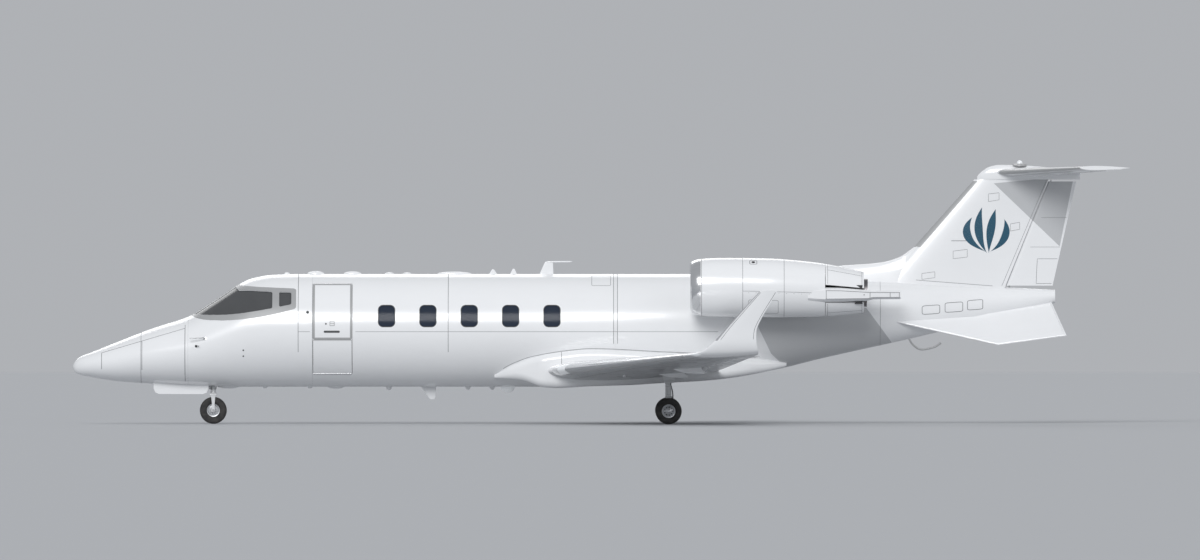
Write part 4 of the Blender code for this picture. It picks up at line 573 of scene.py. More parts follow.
def soft_block(low, high, look, round_off=0.01, segments=3, turn=None, pivot=None):
    """A block with rounded edges, which can be turned about a pivot."""
    shape = bmesh.new()
    (x0, y0, z0), (x1, y1, z1) = low, high
    bmesh.ops.create_cube(shape, size=1.0)
    centre = at((x0 + x1) / 2, (y0 + y1) / 2, (z0 + z1) / 2)
    size = Vector((abs(x1 - x0), abs(y1 - y0), abs(z1 - z0)))
    for vert in shape.verts:
        vert.co = centre + Vector(a * b for a, b in zip(vert.co, size))
    bmesh.ops.bevel(shape, geom=shape.edges[:], offset=min(round_off, min(size) * 0.48), segments=segments,
                    affect="EDGES", profile=0.5)
    return shape_part(shape, look, turn, pivot)


def axis_frame(axis):
    up = UP if abs(axis.z) < 0.9 else BACK
    first = (up - axis * up.dot(axis)).normalized()
    return first, axis.cross(first)


def circle(centre, axis, radius, steps=32):
    up, across = axis_frame(axis)
    return [centre + radius * (math.cos(t) * up + math.sin(t) * across)
            for t in turns(steps)]


def turned(start, direction, profile, look, steps=ROUND_STEPS, loop=False):
    """A solid of revolution from (distance along the axis, radius) points."""
    axis = direction.normalized()
    rings = [circle(start + axis * along, axis, max(radius, 0.0004), steps) for along, radius in profile]
    return skin(rings, look, loop)


def collar(start, direction, length, inner, outer, look, steps):
    """A short ring about an axis."""
    profile = [(0, inner), (0, outer), (length, outer), (length, inner)]
    return turned(start, direction, profile, look, steps, loop=True)


def rod(start, end, radius, look, steps=24):
    """A round bar with softened ends."""
    reach = (end - start).length
    soft = min(0.12 * radius, 0.2 * reach)
    profile = [(0, radius - soft), (soft, radius), (reach - soft, radius), (reach, radius - soft)]
    return turned(start, end - start, profile, look, steps)


def pipe(points, radius, look, steps=12, smooth=4):
    """A round pipe along a bent route."""
    path = []
    last = len(points) - 1
    for k in range(last):
        before, a, b, after = (points[max(k - 1, 0)], points[k], points[k + 1], points[min(k + 2, last)])
        for step in range(smooth):
            t = step / smooth
            path.append(0.5 * (2 * a + (b - before) * t + (2 * before - 5 * a + 4 * b - after) * t * t
                               + (3 * a - before - 3 * b + after) * t ** 3))
    path.append(points[last])
    rings = []
    up = None
    for k, spot in enumerate(path):
        axis = (path[min(k + 1, len(path) - 1)] - path[max(k - 1, 0)]).normalized()
        up = axis_frame(axis)[0] if up is None else (up - axis * up.dot(axis)).normalized()
        across = axis.cross(up)
        rings.append([spot + radius * (math.cos(t) * up + math.sin(t) * across)
                      for t in turns(steps)])
    return skin(rings, look)


def plate(outline, thickness, look):
    """A flat outline given a thickness vector, half to each side."""
    half = thickness / 2
    return skin([[p - half for p in outline], [p + half for p in outline]], look)


def rounded_outline(half_x, half_z, corner, steps=6):
    """A rectangle with round corners about (0, 0)."""
    outline = []
    for quarter, (sx, sz) in enumerate(((1, 1), (-1, 1), (-1, -1), (1, -1))):
        for step in range(steps + 1):
            turn = math.pi / 2 * (quarter + step / steps)
            outline.append((sx * (half_x - corner) + corner * math.cos(turn),
                            sz * (half_z - corner) + corner * math.sin(turn)))
    return outline


LINE_WIDTH = 0.009
JOINT_LINE = 0.007
SEAM_LINE = 0.006
FINE_LINE = 0.005
LINE_LIFT = 0.0012
LINE_DEPTH = 0.004


def line_section(spot, normal, ahead, width, lift, depth):
    """The corners of a thin line where it passes a spot of a skin."""
    side = normal.cross(ahead).normalized() * (width / 2)
    return [spot + side + normal * lift, spot - side + normal * lift,
            spot - side - normal * depth, spot + side - normal * depth]


def strip(samples, width, look, lift=LINE_LIFT, depth=LINE_DEPTH):
    """A thin line let into a skin: samples are (point, normal) along it. The width may change along it."""
    widths = width if isinstance(width, list) else [width] * len(samples)
    rings = []
    for k, (spot, normal) in enumerate(samples):
        ahead = samples[min(k + 1, len(samples) - 1)][0] - samples[max(k - 1, 0)][0]
        rings.append(line_section(spot, normal, ahead, widths[k], lift, depth))
    return skin(rings, look)


def hull_sample(station, angle, inset=0.0):
    """A point of the fuselage skin with its normal."""
    return hull_point(station, angle, inset), hull_normal(station, angle)


def hull_samples(points):
    return [hull_sample(s, a) for s, a in points]


def ring_line(station, first, last, width=LINE_WIDTH):
    """A panel line round the fuselage at one station, between two skin angles."""
    count = max(8, int(abs(last - first) / 0.06))
    return strip(hull_samples([(station, a) for a in spread(first, last, count)]), width, "line")


def long_line(start, end, angle_at, width=LINE_WIDTH):
    """A panel line along the fuselage, at the angle that angle_at gives."""
    count = max(6, int(abs(end - start) / 0.06))
    return strip(hull_samples([(s, angle_at(s)) for s in spread(start, end, count)]), width, "line")


def closed_line(samples, width, look, lift=LINE_LIFT, depth=LINE_DEPTH):
    """A thin line let into a skin, back to where it starts."""
    rings = []
    for k, (spot, normal) in enumerate(samples):
        ahead = samples[(k + 1) % len(samples)][0] - samples[k - 1][0]
        rings.append(line_section(spot, normal, ahead, width, lift, depth))
    return skin(rings, look, loop=True)


# Fuselage
def hull_ring(station, inset=0.0):
    return [hull_point(station, turn, inset) for turn in turns(ROUND_STEPS)]


def fine_stations(start, end, step=0.06):
    """Stations for a smooth skin, closer together at the very nose."""
    near = [s for s in (0.0, 0.004, 0.010, 0.02, 0.035, 0.055, 0.08, 0.11) if start <= s < end]
    first = near.pop() if near else start
    return near + spread(first, end, max(2, round((end - first) / step)))


def hull_tube(name, start, end, look, replaces):
    """A fuselage section with a wall, open at both ends."""
    stations = fine_stations(start, end)
    rings = [hull_ring(s) for s in stations] + [hull_ring(s, WALL) for s in reversed(stations)]
    return piece(name, "airframe", [skin(rings, look, loop=True)], replaces)


def hull_solid(start, end, look, inset=0.0):
    return skin([hull_ring(s, inset) for s in fine_stations(start, end)], look)


def hull_panel(stations, angles, look, outer, inner):
    rings = [[hull_point(s, a, outer) for a in angles] + [hull_point(s, a, inner) for a in reversed(angles)]
             for s in stations]
    return skin(rings, look)


def hull_patch(outline, look, outer, inner):
    """A prism through the wall whose outline is given as (station, angle)."""
    return skin([[hull_point(s, a, depth) for s, a in outline] for depth in (outer, inner)], look)


# Places read from the drawing's side view, as stations and heights
NOSE_DOOR_TOP = ((0.49, 1.204), (1.908, 1.621))
NOSE_DOOR_FOOT = {0.49: 0.93, 1.177: 0.915, 1.908: 0.83}
RING_LINES = ((3.83, 1.22), (6.37, 1.22), (9.17, 1.36), (9.235, 1.36))
SIDE_LINE_Z = 1.565
SIDE_LINE_SPANS = ((3.83, 4.03), (4.80, 10.94))
HATCH = (8.80, 9.12, 2.345, 2.51)

# Depths, gaps and reaches of glass, frames and doors
GLASS_INSET = 0.022
FRAME_LIFT = 0.0022
PANEL_GAP = 0.0015
GLASS_REACH = (-0.7, 0.42)
PANE_SPAN = (4.3, 8.5)
PANE_ARC = (1.0, 1.62)
DOOR_MARGIN = 0.02
DOOR_ROOM = 0.004
DOOR_SPLIT_GAP = 0.0052


def soft_outline(corners, round_off, step=0.05):
    """A polygon with rounded corners and points close enough to follow a curved skin."""
    outline = []
    total = len(corners)
    for k in range(total):
        before, here, after = (Vector(corners[k - 1]), Vector(corners[k]), Vector(corners[(k + 1) % total]))
        into = min(round_off, (here - before).length * 0.45)
        out = min(round_off, (after - here).length * 0.45)
        start = here + (before - here).normalized() * into
        end = here + (after - here).normalized() * out
        for i in range(5):
            t = i / 4
            outline.append(start.lerp(here, t).lerp(here.lerp(end, t), t))
        edge_end = after + (here - after).normalized() * min(round_off, (after - here).length * 0.45)
        count = int((edge_end - end).length / step)
        outline += [end.lerp(edge_end, (i + 1) / (count + 1)) for i in range(count)]
    return [tuple(p) for p in outline]


def on_skin(seen):
    """(station, angle) places of the (station, height) places of a side view."""
    return [(s, angle_at_height(s, z)) for s, z in seen]


def windscreen_corners():
    seen = [(2.22, 1.849), (2.32, 1.845), (2.46, 1.846), (2.60, 1.850), (2.71, 1.858), (2.82, 1.869),
            (2.93, 1.883), (3.036, 1.90), (3.19, 1.925), (3.34, 1.953), (3.392, 1.963),
            (3.392, 2.245), (3.25, 2.258), (3.10, 2.268), (2.95, 2.272), (2.82, 2.273)]
    post = math.radians(2.8)
    corners = [(2.035, post), (2.06, math.radians(14)), (2.14, math.radians(27))]
    corners += on_skin(seen)
    return corners + [(2.77, math.radians(14)), (2.76, post)]


def side_window_corners():
    return on_skin([(3.507, 1.985), (3.714, 2.028), (3.714, 2.236), (3.507, 2.240)])


def surround_corners():
    """The grey surround of the cockpit glass."""
    seen = [(2.134, 1.785), (2.22, 1.768), (2.329, 1.758), (2.534, 1.752), (2.69, 1.758), (2.843, 1.769),
            (2.99, 1.785), (3.131, 1.806), (3.30, 1.838), (3.46, 1.872), (3.63, 1.914), (3.795, 1.959),
            (3.795, 2.293), (3.46, 2.308), (3.28, 2.316), (3.13, 2.324), (3.0, 2.333), (2.90, 2.341)]
    post = math.radians(1.4)
    corners = [(1.985, post), (2.02, math.radians(16)), (2.07, math.radians(29))]
    corners += on_skin(seen)
    return corners + [(2.83, math.radians(14)), (2.82, post)]


def mirrored(outline, side):
    return [(s, side * a) for s, a in outline]


def shell_part(start, end, outer, inner, look):
    stations = fine_stations(start, end)
    return skin([hull_ring(s, outer) for s in stations]
                + [hull_ring(s, inner) for s in reversed(stations)], look, loop=True)


WHEEL_BAY = ((1.35, -0.15, 0.4), (2.52, 0.15, 0.93))


LINER_WALL = 0.006
LINER_LOW = 0.69


def nose():
    fixed("radome", [hull_solid(0, NOSE_SPLIT - PANEL_GAP, "paint")], ["nose_cone"])
    shell = fixed("nose_shell", [hull_solid(NOSE_SPLIT, COCKPIT_START - PANEL_GAP, "paint")],
                  ["nose_section"])
    cut(shell, [block(*WHEEL_BAY, "gear_paint")])
    (x0, y0, _), (x1, y1, z1) = WHEEL_BAY
    liner = [block((x0, y0 - LINER_WALL, LINER_LOW), (x1, y0, z1), "gear_paint"),
             block((x0, y1, LINER_LOW), (x1, y1 + LINER_WALL, z1), "gear_paint"),
             block((x0, y0, z1), (x1, y1, z1 + LINER_WALL), "gear_paint"),
             block((x0 - LINER_WALL, y0, LINER_LOW), (x0, y1, z1), "gear_paint"),
             block((x1, y0, LINER_LOW), (x1 + LINER_WALL, y1, z1), "gear_paint")]
    liner += [soft_block((s, y0, z1 - 0.035), (s + 0.02, y1, z1), "gear_paint", 0.004)
              for s in spread(1.5, 2.3, 4)]
    fixed("wheel_bay_liner", liner)
    lines = [ring_line(NOSE_SPLIT, 0, 2 * math.pi, width=JOINT_LINE)]
    (s0, z0), (s1, z1) = NOSE_DOOR_TOP
    for _, side in SIDES:
        def top_angle(s, side=side):
            return side * angle_at_height(s, z0 + (z1 - z0) * (s - s0) / (s1 - s0))
        lines.append(long_line(s0, s1, top_angle))
        for station, foot in NOSE_DOOR_FOOT.items():
            lines.append(ring_line(station, top_angle(station), side * angle_at_height(station, foot)))
        for k in range(9):
            spot = s0 + 0.12 + k * 0.16
            lines.append(fastener(*hull_sample(spot, top_angle(spot)), 0.007))
    fixed("nose_panel_lines", lines)


def fastener(spot, normal, radius, look="frame_grey"):
    """A flush round fastener head."""
    return turned(spot - normal * 0.003, normal, [(0, radius), (0.0035, radius), (0.0042, radius * 0.8)],
                  look, 12)


def line_inside(shell, look):
    """Gives the inner faces of a fuselage shell the finish of the cabin's lining."""
    repaint(shell, look, lambda centre, normal:
            centre.y * normal.y + (centre.z - CABIN_AXIS_Z) * normal.z < -0.4)


def cockpit():
    shell = hull_tube("cockpit_skin", COCKPIT_START, COCKPIT_END - PANEL_GAP, "paint", ["cockpit_shell"])
    holes = [block(*WHEEL_BAY, "gear_paint")]
    for _, side in SIDES:
        holes.append(hull_patch(mirrored(soft_outline(windscreen_corners(), 0.035), side), "frame_grey",
                                *GLASS_REACH))
        holes.append(hull_patch(mirrored(soft_outline(side_window_corners(), 0.03), side), "frame_grey",
                                *GLASS_REACH))
    cut(shell, holes)
    line_inside(shell, "dark_trim")
    for name, side in SIDES:
        panes = [mirrored(soft_outline(corners, round_off), side)
                 for corners, round_off in ((windscreen_corners(), 0.035), (side_window_corners(), 0.03))]
        glass = None
        for label, pane in zip(("windscreen", "side_pane"), panes):
            made = fixed(f"{label}_{name}", [shell_part(1.98, 3.85, GLASS_INSET, GLASS_INSET + 0.014,
                                                                   "screen_glass")])
            keep_inside(made, [hull_patch(pane, "screen_glass", *GLASS_REACH)])
            glass = glass or made
        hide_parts("cockpit_glass_" + name)
        surround = piece("windscreen_surround_" + name, "airframe",
                         [shell_part(1.97, 3.85, -FRAME_LIFT, 0.003, "frame_grey")])
        outline = mirrored(soft_outline(surround_corners(), 0.05), side)
        keep_inside(surround, [hull_patch(outline, "frame_grey", *GLASS_REACH)])
        cut(surround, [hull_patch(pane, "frame_grey", *GLASS_REACH) for pane in panes])
        rims = []
        for pane in panes:
            samples = [hull_sample(s, a, GLASS_INSET - 0.002) for s, a in pane]
            rims.append(closed_line(samples, 0.022, "seal", 0.002, 0.010))
        fixed("windscreen_seals_" + name, rims)
    lines = [ring_line(COCKPIT_START - 0.05, side * math.radians(38), side * math.radians(150))
             for _, side in SIDES]
    fixed("cockpit_panel_lines", lines)


def window_outline(shrink):
    return rounded_outline(WINDOW_SIZE[0] / 2 - shrink, WINDOW_SIZE[1] / 2 - shrink, WINDOW_CORNER - shrink)


def window_samples(station, side, shrink):
    """A cabin window's outline as (station, angle) places."""
    return [(station + x, side * angle_at_height(station + x, WINDOW_Z + z))
            for x, z in window_outline(shrink)]


def window_stations(side):
    first = 0 if side < 0 else -1
    return [WINDOW_FIRST + WINDOW_PITCH * k for k in range(first, WINDOW_COUNT)]


def window_prism(station, side, shrink, look):
    outline = window_outline(shrink)
    return skin([[at(station + x, side * y, WINDOW_Z + z) for x, z in outline] for y in (0.6, 1.2)], look)


def door_opening():
    """The room that the entry door leaves in the shell, curved as the shell is."""
    stations = spread(DOOR_FRONT - DOOR_ROOM, DOOR_BACK + DOOR_ROOM, 8)
    angles = [-a for a in spread(DOOR_TOP - DOOR_ROOM, DOOR_SILL + DOOR_ROOM, 40)]
    return hull_panel(stations, angles, "trim", -0.1, WALL + 0.1)


def cabin():
    shell = hull_tube("cabin_skin", COCKPIT_END, CABIN_END - PANEL_GAP, "paint",
                      ["cabin_roof", "cabin_belly", "cabin_side_left", "cabin_side_right"])
    holes = [door_opening()]
    for _, side in SIDES:
        holes += [window_prism(s, side, 0.0, "paint") for s in window_stations(side)]
    cut(shell, holes)
    line_inside(shell, "trim")
    for name, side in SIDES:
        panes = hull_panel(spread(*PANE_SPAN, 40), [side * a for a in spread(*PANE_ARC, 14)],
                           "cabin_glass", 0.010, 0.022)
        glass = fixed("cabin_panes_" + name, [panes], ["cabin_windows_" + name])
        keep_inside(glass, [window_prism(s, side, 0.002, "cabin_glass") for s in window_stations(side)])
        rims = []
        for station in window_stations(side):
            outside = hull_samples(window_samples(station, side, 0.004))
            rims.append(closed_line(outside, 0.011, "seal", 0.0015, 0.02))
            inside = [(hull_point(s, a, WALL), -hull_normal(s, a))
                      for s, a in window_samples(station, side, -0.014)]
            rims.append(closed_line(inside, 0.03, "trim", 0.008, 0.006))
        fixed("window_seals_" + name, rims)
    lines = []
    for station, foot in RING_LINES:
        for _, side in SIDES:
            lines.append(ring_line(station, side * 0.02, side * angle_at_height(station, foot)))
    for start, end in SIDE_LINE_SPANS:
        lines.append(long_line(start, end, lambda s: -angle_at_height(s, SIDE_LINE_Z), width=SEAM_LINE))
    lines.append(long_line(SIDE_LINE_SPANS[0][0], SIDE_LINE_SPANS[-1][1],
                           lambda s: angle_at_height(s, SIDE_LINE_Z), width=SEAM_LINE))
    s0, s1, z0, z1 = HATCH
    hatch = soft_outline(on_skin([(s0, z0), (s1, z0), (s1, z1), (s0, z1)]), 0.03, 0.03)
    lines.append(closed_line(hull_samples(mirrored(hatch, -1)), JOINT_LINE, "line"))
    fixed("cabin_panel_lines", lines)


def door_half(name, body, first, last):
    """Half of the entry door: outer skin and inner lining."""
    stations = spread(DOOR_FRONT, DOOR_BACK, 12)
    angles = [-a for a in spread(first, last, 22)]
    parts = [hull_panel(stations, angles, "paint", 0.0, WALL - 0.012)]
    inner = [a for a in angles if min(angles) + DOOR_MARGIN < a < max(angles) - DOOR_MARGIN]
    middle = [s for s in stations if DOOR_FRONT + DOOR_MARGIN < s < DOOR_BACK - DOOR_MARGIN]
    parts.append(hull_panel(middle, inner, "trim", WALL - 0.014, WALL))
    piece(name, body, parts, [body])


def door_outline(first, last, width, inset):
    corners = [(DOOR_FRONT + inset, first + inset), (DOOR_BACK - inset, first + inset),
               (DOOR_BACK - inset, last - inset), (DOOR_FRONT + inset, last - inset)]
    return closed_line(hull_samples(mirrored(soft_outline(corners, 0.02, 0.03), -1)), width, "frame_grey")


def skin_bar(station, z, length, height, look, lift=0.004, corner=0.45):
    """A small flush plate on the left skin at a station and height."""
    outline = rounded_outline(length / 2, height / 2, min(length, height) * corner, 4)
    spots = [(station + x, -angle_at_height(station + x, z + dz)) for x, dz in outline]
    rings = []
    for depth in (lift, -0.006):
        rings.append([hull_point(s, a) + hull_normal(s, a) * depth for s, a in spots])
    return skin(rings, look)


def doors():
    upper_end = DOOR_SPLIT - DOOR_SPLIT_GAP
    door_half("door_upper_skin", "door_upper", DOOR_TOP, upper_end)
    door_half("door_lower_skin", "door_lower", DOOR_SPLIT, DOOR_SILL)
    upper = [door_outline(DOOR_TOP, upper_end, 0.036, 0.019),
             skin_bar(4.30, 1.698, 0.028, 0.028, "seal"),
             skin_bar(4.405, 1.70, 0.085, 0.075, "frame_grey", corner=0.1),
             skin_bar(4.405, 1.70, 0.063, 0.053, "paint", lift=0.006, corner=0.1),
             skin_bar(4.405, 1.70, 0.063, 0.012, "frame_grey", lift=0.0075, corner=0.1),
             skin_bar(4.40, 1.565, 0.27, 0.035, "seal")]
    piece("door_upper_fittings", "door_upper", upper)
    lower = [strip(hull_samples([(s, -a) for a in spread(DOOR_SPLIT + 0.01, math.radians(128), 12)]),
                   0.008, "line")
             for s in (DOOR_FRONT + 0.006, DOOR_BACK - 0.006)]
    lower.append(door_outline(DOOR_SPLIT, DOOR_SILL, 0.006, 0.006))
    piece("door_lower_fittings", "door_lower", lower)
    treads = []
    for angle in (107, 119, 131):
        middle = hull_point(4.41, -math.radians(angle), WALL - 0.01)
        inward = (at(4.41, 0, CABIN_AXIS_Z) - middle).normalized()
        down = Vector((0, -inward.z, inward.y))
        half = Vector((0.26, 0, 0))
        base = [middle + half + down * 0.012, middle - half + down * 0.012,
                middle - half - down * 0.012, middle + half - down * 0.012]
        treads.append(skin([base, [p + inward * 0.10 for p in base]], "gear_paint"))
        face = down if down.z > 0 else -down
        for k in range(7):
            ridge = middle + face * 0.013 + inward * (0.02 + 0.012 * k)
            treads.append(rod(ridge - half * 0.95, ridge + half * 0.95, 0.0022, "dark", 6))
    piece("door_treads", "door_lower", treads)
    for name, angle in (("door_upper", DOOR_TOP), ("door_lower", DOOR_SILL)):
        hinge = hull_point(4.4, -angle)
        knuckles = [rod(at(s, hinge.y, hinge.z), at(s + 0.09, hinge.y, hinge.z), 0.010, "steel", 16)
                    for s in spread(DOOR_FRONT + 0.005, DOOR_BACK - 0.1, 6)]
        piece(name + "_hinge_knuckles", name, knuckles)


def aft_body():
    hull_tube("aft_skin", CABIN_END, AFT_END - PANEL_GAP, "aft_paint_with_shade", ["aft_fuselage"])
    fixed("tail_cone_skin", [hull_solid(AFT_END, TAIL_END, "aft_paint_with_shade")], ["tail_cone"])
    lines = [ring_line(AFT_END, 0.2, 2 * math.pi - 0.2, width=SEAM_LINE)]
    for s0, s1, z0, z1 in ((14.40, 14.70, 1.855, 2.0), (14.79, 15.09, 1.89, 2.05),
                           (15.17, 15.43, 1.93, 2.09)):
        for _, side in SIDES:
            corners = on_skin([(s0, z0), (s1, z0 + 0.02), (s1, z1 + 0.02), (s0, z1)])
            port = soft_outline(corners, 0.06, 0.03)
            lines.append(closed_line(hull_samples(mirrored(port, side)), 0.010, "line"))
    fixed("aft_panel_lines", lines)


FAIRING_CORNER = 0.13
FAIRING_STEPS = 10


def fairing_ring(station):
    half = FAIRING_WIDTH(station)
    top = FAIRING_TOP(station)
    keel = FAIRING_KEEL(station)
    radius = min(FAIRING_CORNER, 0.45 * (top - keel))
    ring = []
    for quarter, (sy, sz) in enumerate(((1, 1), (-1, 1), (-1, -1), (1, -1))):
        for step in range(FAIRING_STEPS + 1):
            turn = math.pi / 2 * (quarter + step / FAIRING_STEPS)
            y = sy * (half - radius) + radius * math.cos(turn)
            z = (top - radius if sz > 0 else keel + radius) + radius * math.sin(turn)
            ring.append(at(station, y, z))
    return ring


FAIRING_ENDS = (7.15, 12.1)
FAIRING_JOINT = 8.29


def belly_fairing():
    """The fairing under the wing, hollowed by the fuselage inside it."""
    made = fixed("belly_fairing_skin",
                 [skin([fairing_ring(s) for s in fine_stations(*FAIRING_ENDS)], "paint")],
                 ["belly_fairing"])
    inner = [hull_ring(s, WALL) for s in fine_stations(7.0, 12.3, 0.2)]
    cut(made, [skin(inner, "paint")])
    lines = []
    for _, side in SIDES:
        lines.append(long_line(7.3, 11.4, lambda s: side * angle_at_height(s, FAIRING_TOP(s) + 0.006),
                               width=JOINT_LINE))
        lines.append(fairing_seam(FAIRING_JOINT, side))
    fixed("belly_fairing_lines", lines)


def fairing_seam(station, side):
    """A line round the fairing's shoulder, from the wing's root to the fuselage."""
    half, top, radius = FAIRING_WIDTH(station), FAIRING_TOP(station), FAIRING_CORNER
    samples = [(at(station, side * half, z), Vector((0, side, 0))) for z in spread(0.99, top - radius, 4)]
    for step in range(1, 7):
        turn = math.pi / 2 * step / 6
        normal = Vector((0, side * math.cos(turn), math.sin(turn)))
        samples.append((at(station, side * (half - radius), top - radius) + normal * radius, normal))
    return strip(samples, 0.008, "line")


# Lifting surfaces
def foil(fraction):
    """Half thickness of a wing section by chord fraction, as a share of its full thickness."""
    f = max(0.0, min(1.0, fraction))
    shape = 0.2969 * math.sqrt(f) - 0.126 * f - 0.3516 * f**2 + 0.2843 * f**3 - 0.1036 * f**4
    return shape / 0.2 + 0.012 * f


FOIL_STEPS = [0.5 * (1 - math.cos(math.pi * k / FOIL_COUNT)) for k in range(FOIL_COUNT + 1)]


def foil_point(leading, chord, thickness, up, fraction, face):
    return leading + Vector((fraction * chord, 0, 0)) + up * face * thickness * foil(fraction)


def foil_ring(leading, chord, thickness, up):
    """One wing section: the front point, the upper side, then the lower side."""
    ring = [leading.copy()]
    for face, steps in ((1, FOIL_STEPS[1:]), (-1, FOIL_STEPS[:0:-1])):
        ring += [foil_point(leading, chord, thickness, up, f, face) for f in steps]
    return ring


def sleeve_ring(leading, chord, thickness, up, reach, lift, depth):
    """A thin cover over the front of a wing section."""
    spots = [reach * (k / 7) ** 2 for k in range(7, 0, -1)]
    route = [(f, 1) for f in spots] + [(0.0, 1)] + [(f, -1) for f in reversed(spots)]
    middle = foil_point(leading, chord, thickness, up, reach, 0)
    outer, inner = [], []
    for f, face in route:
        spot = foil_point(leading, chord, thickness, up, f, face)
        away = (spot - middle).normalized() if f < reach * 0.5 else up * face
        outer.append(spot + away * lift)
        inner.append(spot - away * depth)
    return outer + inner[::-1]


class Surface:
    """A straight tapered surface between a root section and a tip section."""

    def __init__(self, root, tip, chords, thicknesses, up):
        self.root = root
        self.tip = tip
        self.chords = chords
        self.thicknesses = thicknesses
        self.up = up

    def section(self, t):
        chord = self.chords[0] + (self.chords[1] - self.chords[0]) * t
        thickness = self.thicknesses[0] + (self.thicknesses[1] - self.thicknesses[0]) * t
        return self.root.lerp(self.tip, t), chord, thickness, self.up

    def point(self, t, fraction, face):
        return foil_point(*self.section(t), fraction, face)

    def point_in_plane(self, t, fraction, face, origin, normal):
        """The same, slid along the span into a plane."""
        for _ in range(5):
            t -= (self.point(t, fraction, face) - origin).dot(normal) / (self.tip - self.root).dot(normal)
        return self.point(t, fraction, face)

    def ring(self, t):
        return foil_ring(*self.section(t))

    def sample(self, t, fraction, face):
        """A point of the skin with its normal."""
        spot = self.point(t, fraction, face)
        along = self.point(t, fraction + 0.004, face) - self.point(t, fraction - 0.004, face)
        normal = along.cross(self.tip - self.root).normalized()
        return spot, normal if normal.dot(self.up) * face > 0 else -normal

    def line(self, route, face, width=JOINT_LINE):
        """A panel line through (t, fraction) places."""
        samples = []
        for (t0, f0), (t1, f1) in zip(route, route[1:]):
            samples += [self.sample(t0 + (t1 - t0) * k / 8, f0 + (f1 - f0) * k / 8, face) for k in range(8)]
        samples.append(self.sample(*route[-1], face))
        return strip(samples, width, "line")

    def sleeve(self, first, last, reach, look, lift=LINE_LIFT, depth=LINE_DEPTH):
        return skin([sleeve_ring(*self.section(t), reach, lift, depth) for t in spread(first, last, 4)],
                    look)


class HingeLine:
    """The hinge of a control surface, with directions square to it."""

    def __init__(self, surface, ends, fraction, normal=None):
        self.surface = surface
        self.ends = ends
        self.fraction = fraction
        self.axis = (surface.point(ends[1], fraction, 0) - surface.point(ends[0], fraction, 0)).normalized()
        self.up = (surface.up - self.axis * surface.up.dot(self.axis)).normalized()
        self.ahead = (self.axis * BACK.dot(self.axis) - BACK).normalized()
        self.normal = normal or self.axis

    def centre(self, t):
        return self.surface.point(t, self.fraction, 0)

    def radius(self, t):
        return self.surface.section(t)[2] * foil(self.fraction)

    def in_end_plane(self, centre, offset):
        return centre + offset - self.axis * offset.dot(self.normal) / self.axis.dot(self.normal)

    def moving_ring(self, t):
        """A section of the control surface: a round nose about the hinge, then both sides to the edge."""
        centre = self.centre(t)
        radius = self.radius(t)
        spots = [self.fraction + (1 - self.fraction) * share
                 for share in (1.0, 0.8, 0.6, 0.42, 0.27, 0.16, 0.07)]
        ring = [self.surface.point_in_plane(t, f, 1, centre, self.normal) for f in spots]
        for k in range(17):
            turn = math.pi * k / 16
            offset = radius * (math.cos(turn) * self.up + math.sin(turn) * self.ahead)
            ring.append(self.in_end_plane(centre, offset))
        ring += [self.surface.point_in_plane(t, f, -1, centre, self.normal) for f in reversed(spots)]
        return ring

    def moving_skin(self, look):
        return skin([self.moving_ring(t) for t in spread(*self.ends, 6)], look)

    def notch(self, gap, end_gap):
        """The room that the control surface needs in the fixed surface."""
        rings = []
        for t, way in ((self.ends[0], -1), (self.ends[1], 1)):
            centre = self.centre(t) + self.axis * way * end_gap / abs(self.axis.dot(self.normal))
            front = self.radius(t) + gap
            rings.append([self.in_end_plane(centre, self.ahead * forward + self.up * rise)
                          for forward, rise in ((front, 0.4), (front, -0.4), (-1.2, -0.4), (-1.2, 0.4))])
        return skin(rings, "paint")

    def pins(self, gap, radius=0.008):
        """Hinge pins at both ends."""
        found = []
        for t, way in ((self.ends[0], -1), (self.ends[1], 1)):
            squareness = min(1.0, abs(self.axis.dot(self.normal)))
            tilt = math.sqrt(1 - squareness * squareness)
            reach = (gap - FIT_GAP - radius * tilt) / squareness
            centre = self.centre(t)
            found.append(rod(centre - self.axis * way * 0.03, centre + self.axis * way * reach, radius,
                             "steel", 16))
        return found


AILERON_SPAN = (4.05, 5.85)
FLAP_SPAN = (1.30, 3.93)
SPOILER_SPAN = (1.75, 3.45)
SPOILER_CHORD = (0.60, 0.71)
SPOILER_DEPTH = 0.018
FLAP_BRACKETS = (1.95, 3.35)
END_GAP = 0.014
WINGLET = [(10.45, 6.25, 1.19, 1.12, 0.098, 0), (10.52, 6.35, 1.205, 1.06, 0.088, 10),
           (10.66, 6.46, 1.255, 0.925, 0.072, 32), (10.83, 6.535, 1.40, 0.72, 0.056, 62),
           (11.07, 6.575, 1.664, 0.50, 0.040, 78), (11.62, 6.67, 2.27, 0.29, 0.022, 82)]


def wing_surface(side):
    return Surface(at(8.06, side * WING_ROOT_Y, 0.905), at(10.45, side * WING_TIP_Y, 1.19), (2.88, 1.12),
                   (0.325, 0.098), UP)


def span_share(y):
    return (y - WING_ROOT_Y) / (WING_TIP_Y - WING_ROOT_Y)


def wing_hinge(side, span, fraction=HINGE_FRACTION):
    return HingeLine(wing_surface(side), tuple(span_share(y) for y in span), fraction)


def winglet_lines():
    """Smooth lines through the winglet's sections, by distance along it."""
    reach = [0.0]
    for (_, y0, z0, *_), (_, y1, z1, *_) in zip(WINGLET, WINGLET[1:]):
        reach.append(reach[-1] + math.hypot(y1 - y0, z1 - z0))
    return reach[-1], [smooth_line(list(zip(reach, column))) for column in zip(*WINGLET)]


def winglet_section(distance, lines, side):
    station, y, z, chord, thickness, lean = (line(distance) for line in lines)
    up = Vector((0, -side * math.sin(math.radians(lean)), math.cos(math.radians(lean))))
    return at(station, side * y, z), chord, thickness, up


